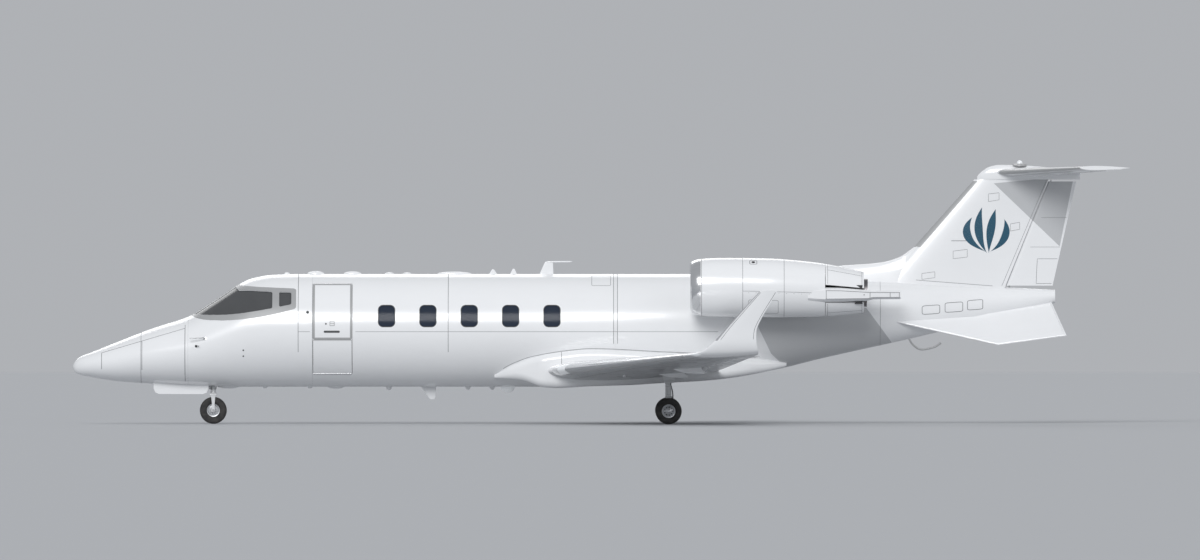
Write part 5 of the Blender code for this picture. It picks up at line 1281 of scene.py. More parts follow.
def flap_hinge(side):
    """The flap swings on a line below the wing, so that it slides back as it drops."""
    line = wing_hinge(side, FLAP_SPAN)
    radius = line.radius(line.ends[0])
    return line, line.ahead * radius - line.up * (radius + 0.065)


FLAP_POD_ENDS = (-0.62, 0.035)


def flap_pod(line, drop, share):
    """A smooth bracket fairing under the wing."""
    hinge = line.centre(share) + drop
    low = smooth_line([(-0.62, 0.10), (-0.45, 0.02), (-0.25, -0.025), (0.0, -0.035), (0.035, -0.02)])
    high = smooth_line([(-0.62, 0.16), (-0.3, 0.16), (-0.03, 0.13), (-0.012, 0.034), (0.035, 0.03)])
    half = smooth_line([(-0.62, 0.006), (-0.5, 0.026), (-0.3, 0.041), (-0.1, 0.0425), (0.035, 0.040)])
    rings = []
    for x in spread(*FLAP_POD_ENDS, 26):
        middle, reach = (high(x) + low(x)) / 2, (high(x) - low(x)) / 2
        ring = []
        for turn in turns(24):
            across = math.copysign(abs(math.cos(turn)) ** 0.6, math.cos(turn)) * half(x)
            rise = middle + math.copysign(abs(math.sin(turn)) ** 0.6, math.sin(turn)) * reach
            ring.append(hinge - line.ahead * x + line.axis * across + line.up * rise)
        rings.append(ring)
    return skin(rings, "paint")


def pod_slot(line, drop, share):
    hinge = line.centre(share) + drop
    places = ((-0.032, -0.2), (0.2, -0.2), (0.2, 0.3), (-0.032, 0.3))
    return plate([hinge - line.ahead * x + line.up * z for x, z in places], line.axis * 0.036, "paint")


def flap_arm(line, drop, share):
    hinge = line.centre(share) + drop
    places = ((-0.016, -0.004), (0.012, -0.012), (0.09, 0.075), (0.09, 0.105), (0.03, 0.10), (-0.012, 0.03))
    pin = line.axis * 0.0175
    return [plate([hinge - line.ahead * x + line.up * z for x, z in places], line.axis * 0.024,
                  "gear_paint"),
            rod(hinge - pin, hinge + pin, 0.0138, "steel", 20)]


def wing(name, side):
    surface = wing_surface(side)
    reach, lines = winglet_lines()
    tips = [winglet_section(d, lines, side) for d in spread(0, reach, 40)]
    leading, chord, thickness, up = tips[-1]
    cap = (leading + Vector((chord * 0.03, side * 0.001, 0.004)), chord * 0.93, thickness * 0.45, up)
    rings = [surface.ring(t) for t in spread(0, 1, 14)] + [foil_ring(*tip) for tip in tips[1:] + [cap]]
    made = fixed("wing_skin_" + name, [skin(rings, "paint")], ["wing_" + name])
    aileron_line = wing_hinge(side, AILERON_SPAN)
    flap_line, drop = flap_hinge(side)
    cut(made, [aileron_line.notch(RUNNING_GAP, END_GAP), flap_line.notch(RUNNING_GAP, END_GAP),
               spoiler_pocket(side)])
    # Painted shade: faces that look downwards get the pale grey of shade.
    repaint(made, "grey_paint", lambda centre, normal: normal.z < -0.35 and abs(centre.y) < 6.2)
    pods = fixed("flap_fairings_" + name, [flap_pod(flap_line, drop, span_share(y)) for y in FLAP_BRACKETS])
    cut(pods, [pod_slot(flap_line, drop, span_share(y)) for y in FLAP_BRACKETS])
    sleeves = [surface.sleeve(0.03, 0.95, 0.045, "polished")]
    sleeves.append(skin([sleeve_ring(*winglet_section(d, lines, side), 0.05, 0.001, 0.003)
                         for d in spread(0.42, reach * 0.98, 16)], "polished"))
    fixed("wing_leading_edge_" + name, sleeves)
    lamps = [skin([sleeve_ring(*winglet_section(d, lines, side), 0.06, 0.002, 0.004)
                   for d in spread(0.05, 0.14, 6)],
                  "clear_lens"),
             surface.sleeve(span_share(1.35), span_share(1.62), 0.035, "clear_lens", 0.0022, 0.004)]
    fixed("wing_lights_" + name, lamps)
    edges = [winglet_line(lines, (0.44, reach * 0.97), share, face, side)
             for share in (0.11, 0.93) for face in (1, -1)]
    fixed("wing_panel_lines_" + name, wing_lines(surface) + edges)
    fittings = [soft_block((MAIN_GEAR_STATION - 0.10, side * MAIN_GEAR_Y - 0.09, 0.735),
                           (MAIN_GEAR_STATION + 0.10, side * MAIN_GEAR_Y + 0.09, 0.90), "gear_paint",
                           0.012),
                turned(at(9.35, side * 2.2, 0.80), UP, [(0, 0.026), (0.004, 0.03), (0.14, 0.03)],
                       "steel", 32)]
    fixed("wing_fittings_" + name, fittings)


def winglet_line(lines, ends, share, face, side):
    """A line up one face of the winglet at a share of its chord."""
    samples = []
    for distance in spread(*ends, 16):
        leading, chord, thickness, up = winglet_section(distance, lines, side)
        samples.append((foil_point(leading, chord, thickness, up, share, face), up * face))
    return strip(samples, 0.007, "line", lift=0.0015, depth=0.003)


def wing_lines(surface):
    lines = []
    for face in (1, -1):
        lines.append(surface.line([(0.02, 0.14), (0.99, 0.14)], face, width=SEAM_LINE))
        lines.append(surface.line([(0.02, 0.585), (0.99, 0.585)], face, width=SEAM_LINE))
        for y in (1.55, 2.3, 3.1, 3.98, 4.8, 5.6, 6.15):
            lines.append(surface.line([(span_share(y), 0.05), (span_share(y), 0.585)], face,
                                      width=FINE_LINE))
    for y in (1.9, 2.7, 3.5, 4.3, 5.1, 5.8):
        lines.append(access_oval(surface, span_share(y), 0.34, 0.12, 0.075, -1))
    for y in (2.1, 3.3, 4.5):
        lines.append(fastener(*surface.sample(span_share(y), 0.30, 1), 0.045, "polished"))
    return lines


def access_oval(surface, t, fraction, half_x, half_y, face):
    """The outline of an oval access panel."""
    span = (surface.tip - surface.root).length
    samples = []
    for turn in turns(28):
        samples.append(surface.sample(t + half_y * math.sin(turn) / span,
                                      fraction + half_x * math.cos(turn) / surface.section(t)[1], face))
    return closed_line(samples, 0.006, "line")


def aileron(name, side):
    line = wing_hinge(side, AILERON_SPAN)
    body = "aileron_" + name
    piece(body + "_skin", body, [line.moving_skin("paint")] + line.pins(END_GAP), [body])
    surface = line.surface
    tab = [(span_share(4.45), 0.90), (span_share(5.05), 0.90)]
    lines = [surface.line([(tab[0][0], 0.998), tab[0], tab[1], (tab[1][0], 0.998)], face, width=SEAM_LINE)
             for face in (1, -1)]
    lines += [wick(surface.point(span_share(y), 0.995, 0), Vector((1, 0, 0.02))) for y in (5.2, 5.45, 5.7)]
    piece(body + "_details", body, lines)


WICK_REACH = 0.13


def wick(start, way):
    """A static discharger rod."""
    way = way.normalized()
    return turned(start - way * 0.02, way,
                  [(0, 0.003), (0.03, 0.004), (0.035, 0.0022), (WICK_REACH, 0.0016)], "dark", 10)


def flap(name, side):
    line, drop = flap_hinge(side)
    body = "flap_" + name
    piece(body + "_skin", body, [line.moving_skin("paint")], [body])
    arms = [part for y in FLAP_BRACKETS for part in flap_arm(line, drop, span_share(y))]
    piece(body + "_arms", body, arms)
    spots = [(span_share(y), line.fraction + 0.03) for y in (1.95, 2.65, 3.35)]
    piece(body + "_panel_lines", body,
          [line.surface.line([(t, f), (t, 0.995)], face, width=FINE_LINE) for t, f in spots
           for face in (1, -1)])


def spoiler_line(side):
    line = wing_hinge(side, SPOILER_SPAN, SPOILER_CHORD[0])
    starts = [line.surface.point(t, SPOILER_CHORD[0], 1) - line.up * SPOILER_DEPTH / 2 for t in line.ends]
    line.axis = (starts[1] - starts[0]).normalized()
    line.normal = line.axis
    line.up = (line.surface.up - line.axis * line.surface.up.dot(line.axis)).normalized()
    line.ahead = line.axis.cross(line.up) if side < 0 else line.up.cross(line.axis)
    return line, starts


def spoiler(name, side):
    line, starts = spoiler_line(side)
    half = SPOILER_DEPTH / 2
    rings = []
    for share in spread(0, 1, 6):
        t = line.ends[0] + (line.ends[1] - line.ends[0]) * share
        centre = starts[0].lerp(starts[1], share)
        spots = [SPOILER_CHORD[1] + (SPOILER_CHORD[0] - SPOILER_CHORD[1]) * k / 6 for k in range(6)]
        tops = [line.surface.point_in_plane(t, f, 1, centre, line.axis) for f in spots]
        nose_arc = [centre + half * (math.cos(a) * line.up + math.sin(a) * line.ahead)
                    for a in spread(0, math.pi, 10)]
        rings.append(tops + nose_arc + [p - line.up * SPOILER_DEPTH for p in reversed(tops)])
    body = "spoiler_" + name
    pins = []
    for centre, way in zip(starts, (-1, 1)):
        pins.append(rod(centre - line.axis * way * 0.03,
                        centre + line.axis * way * (RUNNING_GAP - FIT_GAP), 0.0055, "steel", 14))
    piece(body + "_skin", body, [skin(rings, "paint")] + pins, [body])
    lines = [line.surface.line([(span_share(y), 0.612), (span_share(y), 0.705)], 1, width=FINE_LINE)
             for y in (2.3, 2.9)]
    piece(body + "_panel_lines", body, lines)


def spoiler_pocket(side):
    line, starts = spoiler_line(side)
    rings = []
    for t, centre, way in zip(line.ends, starts, (-1, 1)):
        shift = line.axis * way * RUNNING_GAP
        front = centre + line.ahead * (SPOILER_DEPTH / 2 + RUNNING_GAP)
        back = line.surface.point_in_plane(t, SPOILER_CHORD[1], 1, centre,
                                           line.axis) - line.ahead * RUNNING_GAP
        low = line.up * (SPOILER_DEPTH + RUNNING_GAP)
        rings.append([front + shift + line.up * 0.2, front + shift - low * 0.75,
                      back + shift - low, back + shift + line.up * 0.2])
    return skin(rings, "paint")


# Tail
FIN_HINGE = 0.7525
FIN_TOP = 4.145
FIN_ENDS = (2.0, 4.2)
RUDDER_SPAN = (2.345, 4.112)
STABILIZER_SEAT = 4.1453
ELEVATOR_HINGE = 0.70
ELEVATOR_SPAN = (0.16, 2.06)
STABILIZER_TIP_Y = 2.24


def fin_leading(z):
    return 14.37 + (z - 3.12) * 0.897


def fin_trailing(z):
    return 16.61 + (z - 2.307) * 0.2268


def fin_surface():
    low, high = FIN_ENDS
    chords = tuple(fin_trailing(z) - fin_leading(z) for z in (low, high))
    return Surface(at(fin_leading(low), 0, low), at(fin_leading(high), 0, high), chords, (0.25, 0.135),
                   ACROSS)


def fin_share(z):
    return (z - FIN_ENDS[0]) / (FIN_ENDS[1] - FIN_ENDS[0])


def rudder_line():
    return HingeLine(fin_surface(), tuple(fin_share(z) for z in RUDDER_SPAN), FIN_HINGE, UP)


DORSAL_ENDS = (11.35, 14.55)


def dorsal_fillet():
    crest = smooth_line([(11.35, 2.50), (12.2, 2.60), (13.0, 2.68), (13.69, 2.735), (14.03, 2.83),
                         (14.2, 2.945), (14.37, 3.08), (14.55, 3.2)])
    rings = []
    for station in spread(*DORSAL_ENDS, 60):
        top = crest(station)
        side_line = [(0.11, 2.2), (0.095, 2.33), (0.085, 2.42), (0.066, (2.42 + top - 0.03) / 2),
                     (0.04, top - 0.03), (0.024, top - 0.008)]
        rings.append([at(station, y, z) for y, z in side_line] + [at(station, 0, top)]
                     + [at(station, -y, z) for y, z in reversed(side_line)])
    return skin(rings, "fin_paint_with_shade")


def fin_spot(station, z):
    """The place on the fin's surface at a station and height, as (t, fraction)."""
    return fin_share(z), (station - fin_leading(z)) / (fin_trailing(z) - fin_leading(z))


FIN_PANELS = (((15.53, 3.77), (15.71, 3.80), (15.71, 3.92), (15.53, 3.90)),
              ((15.90, 3.27), (16.06, 3.30), (16.06, 3.42), (15.90, 3.39)),
              ((14.93, 2.80), (15.17, 2.83), (15.17, 2.96), (14.93, 2.93)),
              ((14.40, 2.45), (14.62, 2.48), (14.62, 2.58), (14.40, 2.55)))


# The fin's motif: leaves from one foot, as start, bend and end in (station, height), and the width
MOTIF_LEAVES = (((15.475, 2.925), (14.99, 3.17), (15.25, 3.50), 0.135),
                ((15.500, 2.900), (15.27, 3.25), (15.42, 3.67), 0.140),
                ((15.535, 2.900), (15.54, 3.28), (15.65, 3.64), 0.140),
                ((15.565, 2.925), (15.93, 3.14), (15.80, 3.47), 0.125))
MOTIF_STEPS = 40


def motif_leaf(surface, face, start, bend, end, width):
    """One leaf of the motif, pointed at both ends, lying on the fin's skin."""
    samples = []
    widths = []
    for k in range(MOTIF_STEPS + 1):
        share = k / MOTIF_STEPS
        spot = Vector(start).lerp(Vector(bend), share).lerp(Vector(bend).lerp(Vector(end), share), share)
        samples.append(surface.sample(*fin_spot(*spot), face))
        widths.append(max(0.002, width * math.sin(math.pi * share ** 1.15)))
    return strip(samples, widths, "teal", 0.0016)


def fin():
    surface = fin_surface()
    rings = [surface.ring(fin_share(z)) for z in spread(2.05, FIN_TOP, 12)]
    made = fixed("fin_skin", [skin(rings, "fin_paint_with_shade")], ["fin"])
    cut(made, [rudder_line().notch(RUNNING_GAP, 0.5)])
    fixed("dorsal_fillet", [dorsal_fillet()])
    fixed("fin_leading_edge", [surface.sleeve(fin_share(3.0), fin_share(4.12), 0.045, "frame_grey")])
    lines = []
    for face in (1, -1):
        lines.append(surface.line([fin_spot(14.90, 3.105), fin_spot(15.16, 3.105)], face, width=0.010))
        for corners in FIN_PANELS:
            route = [fin_spot(*corner) for corner in corners + corners[:1]]
            lines.append(surface.line(route, face, width=SEAM_LINE))
        foot = [fin_spot(*corner) for corner in ((14.3, 2.44), (15.6, 2.34))]
        lines.append(surface.line(foot, face, width=JOINT_LINE))
        hinge = rudder_line()
        seam = [(t, FIN_HINGE - 0.045) for t in hinge.ends]
        lines.append(surface.line(seam, face, width=SEAM_LINE))
    fixed("fin_panel_lines", lines)
    fixed("fin_motif", [motif_leaf(surface, face, *leaf) for face in (1, -1) for leaf in MOTIF_LEAVES])


def rudder():
    line = rudder_line()
    piece("rudder_skin", "rudder", [line.moving_skin("fin_paint_with_shade")], ["rudder"])
    foot, head = (line.centre(t) for t in line.ends)
    low = (foot.z - TOP_LINE(foot.x + LENGTH / 2) - 0.006) / line.axis.z
    high = (STABILIZER_SEAT - head.z - 0.004) / line.axis.z
    pins = [rod(foot + line.axis * 0.04, foot - line.axis * low, 0.0118, "steel", 20),
            rod(head - line.axis * 0.04, head + line.axis * high, 0.0088, "steel", 20)]
    piece("rudder_pins", "rudder", pins)
    lines = []
    for face in (1, -1):
        tab = [fin_spot(*corner) for corner in ((16.70, 2.80), (16.36, 2.80), (16.34, 2.38), (16.60, 2.38))]
        lines.append(line.surface.line(tab, face, width=JOINT_LINE))
        for z in (3.0, 3.5):
            lines.append(line.surface.line([(fin_share(z), 0.79), (fin_share(z), 0.99)], face,
                                           width=FINE_LINE))
    piece("rudder_details", "rudder", lines)


def stabilizer_surface(side):
    return Surface(at(15.62, 0, 4.265), at(17.05, side * STABILIZER_TIP_Y, 4.33), (1.50, 0.83),
                   (0.145, 0.07), UP)


def elevator_line(side):
    ends = tuple(y / STABILIZER_TIP_Y for y in ELEVATOR_SPAN)
    return HingeLine(stabilizer_surface(side), ends, ELEVATOR_HINGE, Vector((0, side, 0)))


TAILPLANE_FAIRING_ENDS = (15.34, 17.08)


def tailplane_fairing():
    crown = smooth_line([(15.34, 4.20), (15.39, 4.257), (15.55, 4.36), (15.72, 4.393), (15.93, 4.390),
                         (16.7, 4.34), (17.08, 4.30)])
    breadth = smooth_line([(15.34, 0.015), (15.37, 0.035), (15.5, 0.065), (15.9, 0.09), (16.6, 0.085),
                           (17.0, 0.045), (17.08, 0.03)])
    rings = []
    for station in fine_stations(*TAILPLANE_FAIRING_ENDS, 0.03):
        top, half = crown(station), breadth(station)
        middle = min(4.24, (top + STABILIZER_SEAT) / 2)
        ring = [at(station, half * 0.96, STABILIZER_SEAT), at(station, half, STABILIZER_SEAT + 0.02)]
        ring += [at(station, half * math.cos(a), middle + (top - middle) * math.sin(a))
                 for a in spread(0, math.pi, 18)]
        ring += [at(station, -half, STABILIZER_SEAT + 0.02), at(station, -half * 0.96, STABILIZER_SEAT)]
        rings.append(ring)
    return skin(rings, "paint")


def stabilizer():
    surfaces = [stabilizer_surface(side) for _, side in SIDES]
    rings = [surfaces[0].ring(t) for t in spread(1, 0, 8)] + [surfaces[1].ring(t)
                                                              for t in spread(0, 1, 8)[1:]]
    made = fixed("stabilizer_skin", [skin(rings, "paint")], ["stabilizer"])
    cut(made, [elevator_line(side).notch(RUNNING_GAP, END_GAP) for _, side in SIDES])
    fixed("tailplane_fairing", [tailplane_fairing()])
    details = []
    for surface in surfaces:
        details.append(surface.sleeve(0.06, 0.99, 0.05, "frame_grey"))
        for face in (1, -1):
            details.append(surface.line([(0.06, 0.15), (0.99, 0.15)], face, width=FINE_LINE))
            for t in (0.35, 0.65):
                details.append(surface.line([(t, 0.06), (t, 0.68)], face, width=FINE_LINE))
    fixed("stabilizer_details", details)


def elevator(name, side):
    line = elevator_line(side)
    body = "elevator_" + name
    piece(body + "_skin", body, [line.moving_skin("paint")] + line.pins(END_GAP), [body])
    details = [line.surface.line([(t, 0.73), (t, 0.99)], face, width=FINE_LINE) for t in (0.3, 0.6)
               for face in (1, -1)]
    piece(body + "_details", body, details)


def ventral_fin(name, side):
    """A flat strake under the tail, with a thinned edge."""
    outline = [at(13.97, side * 0.442, 1.727), at(15.68, side * 0.75, 1.343), at(16.84, side * 0.75, 1.498),
               at(16.60, side * 0.06, 2.06), at(15.2, side * 0.05, 1.95)]
    lean = Vector((0, side * 0.6, 0.8))
    middle = sum(outline, Vector()) / len(outline)
    rings = []
    for share, depth in ((0.996, 0.004), (1.0, 0.006), (0.97, 0.013), (0.97, -0.013), (1.0, -0.006),
                         (0.996, -0.004)):
        rings.append([middle + (p - middle) * share + lean * depth for p in outline])
    fixed("ventral_fin_skin_" + name, [skin(rings, "aft_paint_with_shade")], ["ventral_fin_" + name])


# Engines
REVERSER_FRONT = 12.75
REVERSER_BACK = 13.40
REVERSER_PIVOT = 13.33
PIVOT_RISE = {"upper": 0.03, "lower": -0.10}
DOOR_ARC = {"upper": (-78, 78), "lower": (119, 241)}
POD_START = 10.47
POD_SPLIT = 12.742
LIP_END = 10.655
COWL_JOINTS = (11.35, 12.05)
BEAM_INNER = 0.37
BEAM_OUTER = 0.47
# Beam sections: station, low, high, inner and outer distance from the pod's axis
BEAM_SECTIONS = [
    (12.45, 2.10, 2.28, 0.435, 0.462), (12.60, 2.08, 2.30, 0.41, 0.467),
    (12.75, 2.065, 2.314, BEAM_INNER + 0.02, BEAM_OUTER), (13.0, 2.07, 2.31, BEAM_INNER, BEAM_OUTER),
    (13.47, 2.09, 2.27, BEAM_INNER, 0.455), (13.55, 2.115, 2.262, BEAM_INNER, 0.44),
    (14.005, 2.118, 2.258, 0.38, 0.415), (14.02, 2.126, 2.25, 0.384, 0.411),
]
FAN_BLADES = 24
POD_STEPS = 112


def pod_out(turn):
    """The way out from the pod's axis, by the angle from the top."""
    return Vector((0, math.sin(turn), math.cos(turn)))


def inward_test(side, limit):
    """A test for faces that look towards the pod's axis."""
    def test(centre, normal):
        return ((centre.y - side * ENGINE_Y) * normal.y
                + (centre.z - POD_CENTRE(centre.x + LENGTH / 2)) * normal.z < limit)
    return test


def pod_centre(station, side):
    return at(station, side * ENGINE_Y, POD_CENTRE(station))


def pod_point(station, turn, radius, side):
    return pod_centre(station, side) + radius * pod_out(turn)


def pod_ring(station, radius, side):
    return [pod_point(station, turn, radius, side) for turn in turns(POD_STEPS)]


def pod_samples(points, side):
    """Points of the cowl with normals, from (station, turn) places."""
    samples = []
    for station, turn in points:
        spot = pod_point(station, turn, POD_RADIUS(station), side)
        along = pod_point(station + 0.01, turn, POD_RADIUS(station + 0.01), side) - spot
        out = pod_out(turn)
        samples.append((spot, (out - along * out.dot(along) / along.length_squared).normalized()))
    return samples


def pod_hoop(station, side):
    return closed_line(pod_samples([(station, turn) for turn in turns(72)], side), JOINT_LINE, "line")


def pod_run(first, last, turn, side):
    return strip(pod_samples([(s, turn) for s in spread(first, last, 20)], side), SEAM_LINE, "line")


def pod_patch(s0, s1, a0, a1, side, width=SEAM_LINE):
    """A rounded rectangle drawn on the cowl."""
    route = soft_outline([(s0, a0), (s1, a0), (s1, a1), (s0, a1)], 0.04, 0.03)
    return closed_line(pod_samples(route, side), width, "line")


def beam_lines(axis_y, way):
    """Panel lines on a beam's flat side: along both edges, across its ends and at its joint."""
    normal = Vector((0, way, 0))
    low_line, high_line, outer_line = (smooth_line([(section[0], section[k]) for section in BEAM_SECTIONS])
                                       for k in (1, 2, 4))

    def spot(station, share):
        low, high = low_line(station), high_line(station)
        return at(station, axis_y + way * outer_line(station), low + (high - low) * share), normal

    run = [section[0] for section in BEAM_SECTIONS if 12.7 < section[0] < 14.01]
    lines = [strip([spot(s, share) for s in run], 0.008, "line", lift=0.003) for share in (0.215, 0.785)]
    lines += [strip([spot(s, share) for share in (0.215, 0.5, 0.785)], 0.008, "line", lift=0.003)
              for s in (12.76, 13.5, 13.84, 13.995)]
    return lines


def nacelle(name, side):
    """The engine pod with its polished lip and lined duct, and the beams that carry the reverser doors."""
    front = [POD_START + 0.13 * (k / 10) ** 2 for k in range(11)]
    outside = front + spread(10.64, POD_SPLIT, 34)
    inside = [s + 0.004 for s in front[3:]] + spread(10.66, POD_SPLIT, 22)
    rings = [pod_ring(s, POD_RADIUS(s), side) for s in outside]
    rings += [pod_ring(s, DUCT_RADIUS(s), side) for s in reversed(inside)]
    made = fixed("cowl_" + name, [skin(rings, "paint", loop=True)], ["nacelle_" + name])
    axis_y = side * ENGINE_Y
    lip_x = at(LIP_END, 0, 0).x
    inward = inward_test(side, 0)
    repaint(made, "liner", lambda centre, normal: inward(centre, normal) and centre.x > lip_x)
    repaint(made, "polished", lambda centre, normal: centre.x < lip_x)
    beams = []
    for way in (side, -side):
        rings = []
        for station, low, high, inner, outer in BEAM_SECTIONS:
            soft = (high - low) * 0.2
            half = (outer - inner) * 0.5
            rings.append([at(station, axis_y + way * y, z) for y, z in (
                (inner, low), (inner + half, low + soft * 0.3), (outer, low + soft), (outer, high - soft),
                (inner + half, high - soft * 0.3), (inner, high))])
        beams.append(skin(rings, "paint"))
        for station in (12.9, 13.15, 13.4):
            spot = at(station, axis_y + way * BEAM_OUTER * 0.985, 2.19)
            beams.append(fastener(spot, Vector((0, way, 0)), 0.011))
        beams += beam_lines(axis_y, way)
    fixed("reverser_beams_" + name, beams)
    lines = [pod_hoop(s, side) for s in (LIP_END, *COWL_JOINTS)]
    lines += [pod_run(LIP_END, POD_SPLIT, turn, side) for turn in (0.0, math.pi)]
    lines.append(pod_run(COWL_JOINTS[0], POD_SPLIT, side * math.radians(97), side))
    lines.append(pod_patch(11.45, 11.95, side * 2.0, side * 2.6, side))
    lines.append(pod_patch(11.47, 11.59, side * 0.42, side * 0.66, side, 0.010))
    for station in spread(11.45, 12.6, 9):
        lines += [fastener(spot, normal, 0.006) for spot, normal in
                  pod_samples([(station, side * math.radians(100))], side)]
    fixed("cowl_panel_lines_" + name, lines)
    (spot, normal), = pod_samples([(11.53, side * 0.54)], side)
    scoop = [turned(spot - normal * 0.004, normal, [(0, 0.03), (0.006, 0.03), (0.008, 0.026)], "dark", 24)]
    fixed("cowl_vent_" + name, scoop)


def pylon(name, side):
    surface = Surface(at(10.95, side * 0.45, 2.20), at(10.95, side * 0.985, 2.212), (1.74, 1.74),
                      (0.19, 0.178), UP)
    fixed("pylon_skin_" + name, [skin([surface.ring(t) for t in spread(0, 1, 8)], "paint")],
          ["pylon_" + name])
    lines = []
    for face in (1, -1):
        for fraction in (0.14, 0.62):
            lines.append(surface.line([(0.5, fraction), (0.92, fraction)], face, width=SEAM_LINE))
    lines.append(surface.sleeve(0.3, 0.99, 0.03, "polished"))
    fixed("pylon_panel_lines_" + name, lines)


def radial_fins(start, axis, angles, rings, look):
    """Fins set round an axis. The points of their rings are (along the axis, outwards, across)."""
    up, across = axis_frame(axis)
    fins = []
    for turn in angles:
        out = math.cos(turn) * up + math.sin(turn) * across
        wide = axis.cross(out)
        fins.append(skin([[start + axis * a + out * r + wide * b for a, r, b in ring] for ring in rings],
                         look))
    return fins


JET_AXIS = ((11.10, 2.312), (13.45, 2.222))


def engine(name, side):
    """The engine's casing, guide vanes and heat-stained jet pipe."""
    start, end = (at(station, side * ENGINE_Y, z) for station, z in JET_AXIS)
    direction = end - start
    axis = direction.normalized()
    casing = [(0, 0.11), (0.02, 0.20), (0.06, 0.255), (0.10, 0.29), (0.6, 0.29), (1.25, 0.29),
              (1.42, 0.268), (1.55, 0.245), (1.8, 0.24)]
    fixed("engine_casing_" + name, [turned(start, direction, casing, "dark")], ["engine_" + name])
    pipe_profile = [(1.70, 0.242), (2.0, 0.2385), (2.36, 0.235), (2.36, 0.222), (2.33, 0.216), (2.0, 0.215),
                    (1.70, 0.215)]
    cone = [(1.58, 0.12), (1.7, 0.112), (1.85, 0.075), (1.97, 0.04), (2.04, 0.016), (2.06, 0.003)]
    parts = [turned(start, direction, pipe_profile, "heat", loop=True),
             turned(start, direction, cone, "heat")]
    parts.append(turned(start, direction, [(1.60, 0.2155), (1.62, 0.2155)], "dark"))
    for distance in (1.9, 2.15):
        band = [(distance, 0.236), (distance, 0.2415), (distance + 0.02, 0.2415), (distance + 0.02, 0.236)]
        parts.append(turned(start, direction, band, "heat", loop=True))
    fixed("jet_pipe_" + name, parts)
    vane = ((-0.09, 0.0), (-0.05, 0.006), (0.03, 0.005), (0.11, 0.0), (0.03, -0.004), (-0.05, -0.005))
    vane_rings = [[(0.62 + a, radius, b) for a, b in vane] for radius in (0.27, 0.33, 0.39, 0.415)]
    vanes = radial_fins(start, axis, turns(20), vane_rings, "steel")
    fixed("guide_vanes_" + name, vanes)
    strut = ((0.105, -0.004), (0.216, -0.006), (0.216, 0.006), (0.105, 0.004))
    strut_rings = [[(a, radius, b) for radius, b in strut] for a in (1.55, 1.62, 1.68)]
    chute = radial_fins(start, axis, turns(12, 0.5), strut_rings, "heat")
    fixed("exhaust_struts_" + name, chute)


def fan(name, side):
    """A spinner and its twisted blades, turning about the engine's axis."""
    centre = pod_centre(FAN_STATION, side)
    body = "fan_" + name
    profile = [(-0.17, 0.0), (-0.166, 0.014), (-0.155, 0.03), (-0.135, 0.051), (-0.11, 0.07),
               (-0.075, 0.09), (-0.04, 0.105), (-0.01, 0.112), (0.02, 0.115), (0.1445, 0.115)]
    piece("spinner_" + name, body, [turned(centre, BACK, profile, "dark", 64)], [body])
    blades = []
    for turn in turns(FAN_BLADES):
        out = pod_out(turn)
        tangent = Vector((0, math.cos(turn), -math.sin(turn)))
        rings = []
        for share in spread(0, 1, 9):
            radius = 0.09 + 0.286 * share
            pitch = math.radians(26 + 34 * share)
            chord = 0.033 + 0.013 * math.sin(math.pi * share * 0.8)
            along = Vector((math.cos(pitch), 0, 0)) + tangent * math.sin(pitch)
            thick = Vector((-math.sin(pitch), 0, 0)) + tangent * math.cos(pitch)
            middle = centre + out * radius
            spots = [(-1.0, 0.0), (-0.6, 0.45), (0.0, 0.8), (0.6, 0.5), (1.0, 0.0), (0.6, 0.1),
                     (0.0, 0.2), (-0.6, 0.05)]
            rings.append([middle + along * (a * chord) + thick * (b * 0.0065 - 0.003) for a, b in spots])
        blades.append(skin(rings, "titanium"))
    piece("fan_blades_" + name, body, blades)
    swirl = []
    for k in range(22):
        share = k / 21
        reach, radius = -0.16 + 0.13 * share, smooth_line(profile)(-0.16 + 0.13 * share)
        turn = 4.2 * share
        out = pod_out(turn)
        swirl.append((centre + Vector((reach, 0, 0)) + out * radius,
                      (out - Vector((0.7, 0, 0))).normalized()))
    # The mark takes the lamp lens finish, so it glows faintly though it is no lamp: a painted glow.
    piece("spinner_mark_" + name, body, [strip(swirl, 0.009, "clear_lens", 0.0012, 0.003)])


def reverser_door(name, side, level):
    """A bucket door that closes the aft pod and swings back behind the jet pipe."""
    first, last = (math.radians(a) for a in DOOR_ARC[level])
    angles = spread(first, last, 48)
    rings = []
    for station in spread(REVERSER_FRONT, REVERSER_BACK, 14):
        soft = 0.004 if station in (REVERSER_FRONT, REVERSER_BACK) else 0.0
        outer = POD_RADIUS(station) - soft
        inner = POD_RADIUS(station) - 0.03 + soft
        rings.append([pod_point(station, a, outer, side) for a in angles]
                     + [pod_point(station, a, inner, side) for a in reversed(angles)])
    body = f"reverser_{level}_{name}"
    made = piece(body + "_skin", body, [skin(rings, "paint")], [body])
    repaint(made, "heat", inward_test(side, -0.01))
    pivot = pod_centre(REVERSER_PIVOT, side) + Vector((0, 0, PIVOT_RISE[level]))
    way, reach = (1, 0.09) if level == "upper" else (-1, 0.10)
    parts = []
    for hand in (-1, 1):
        middle = pivot + Vector((0, hand * 0.3225, 0))
        places = [(-0.03, -0.012), (-0.012, -0.03), (0.012, -0.03), (0.03, -0.012), (0.045, reach),
                  (-0.09, reach)]
        parts.append(plate([middle + Vector((x, 0, way * z)) for x, z in places], Vector((0, 0.055, 0)),
                           "dark"))
        parts.append(rod(pivot + Vector((0, hand * 0.335, 0)),
                         pivot + Vector((0, hand * (BEAM_INNER - FIT_GAP), 0)), 0.0118, "steel", 20))
    piece(body + "_lugs", body, parts)
    lines = []
    for share in (0.25, 0.75):
        turn = first + (last - first) * share
        lines.append(pod_run(REVERSER_FRONT + 0.04, REVERSER_BACK - 0.04, turn, side))
    edge = spread(first + 0.04, last - 0.04, 40)
    for station in (REVERSER_FRONT + 0.035, REVERSER_BACK - 0.035):
        lines.append(strip(pod_samples([(station, a) for a in edge], side), 0.005, "line"))
    piece(body + "_panel_lines", body, lines)


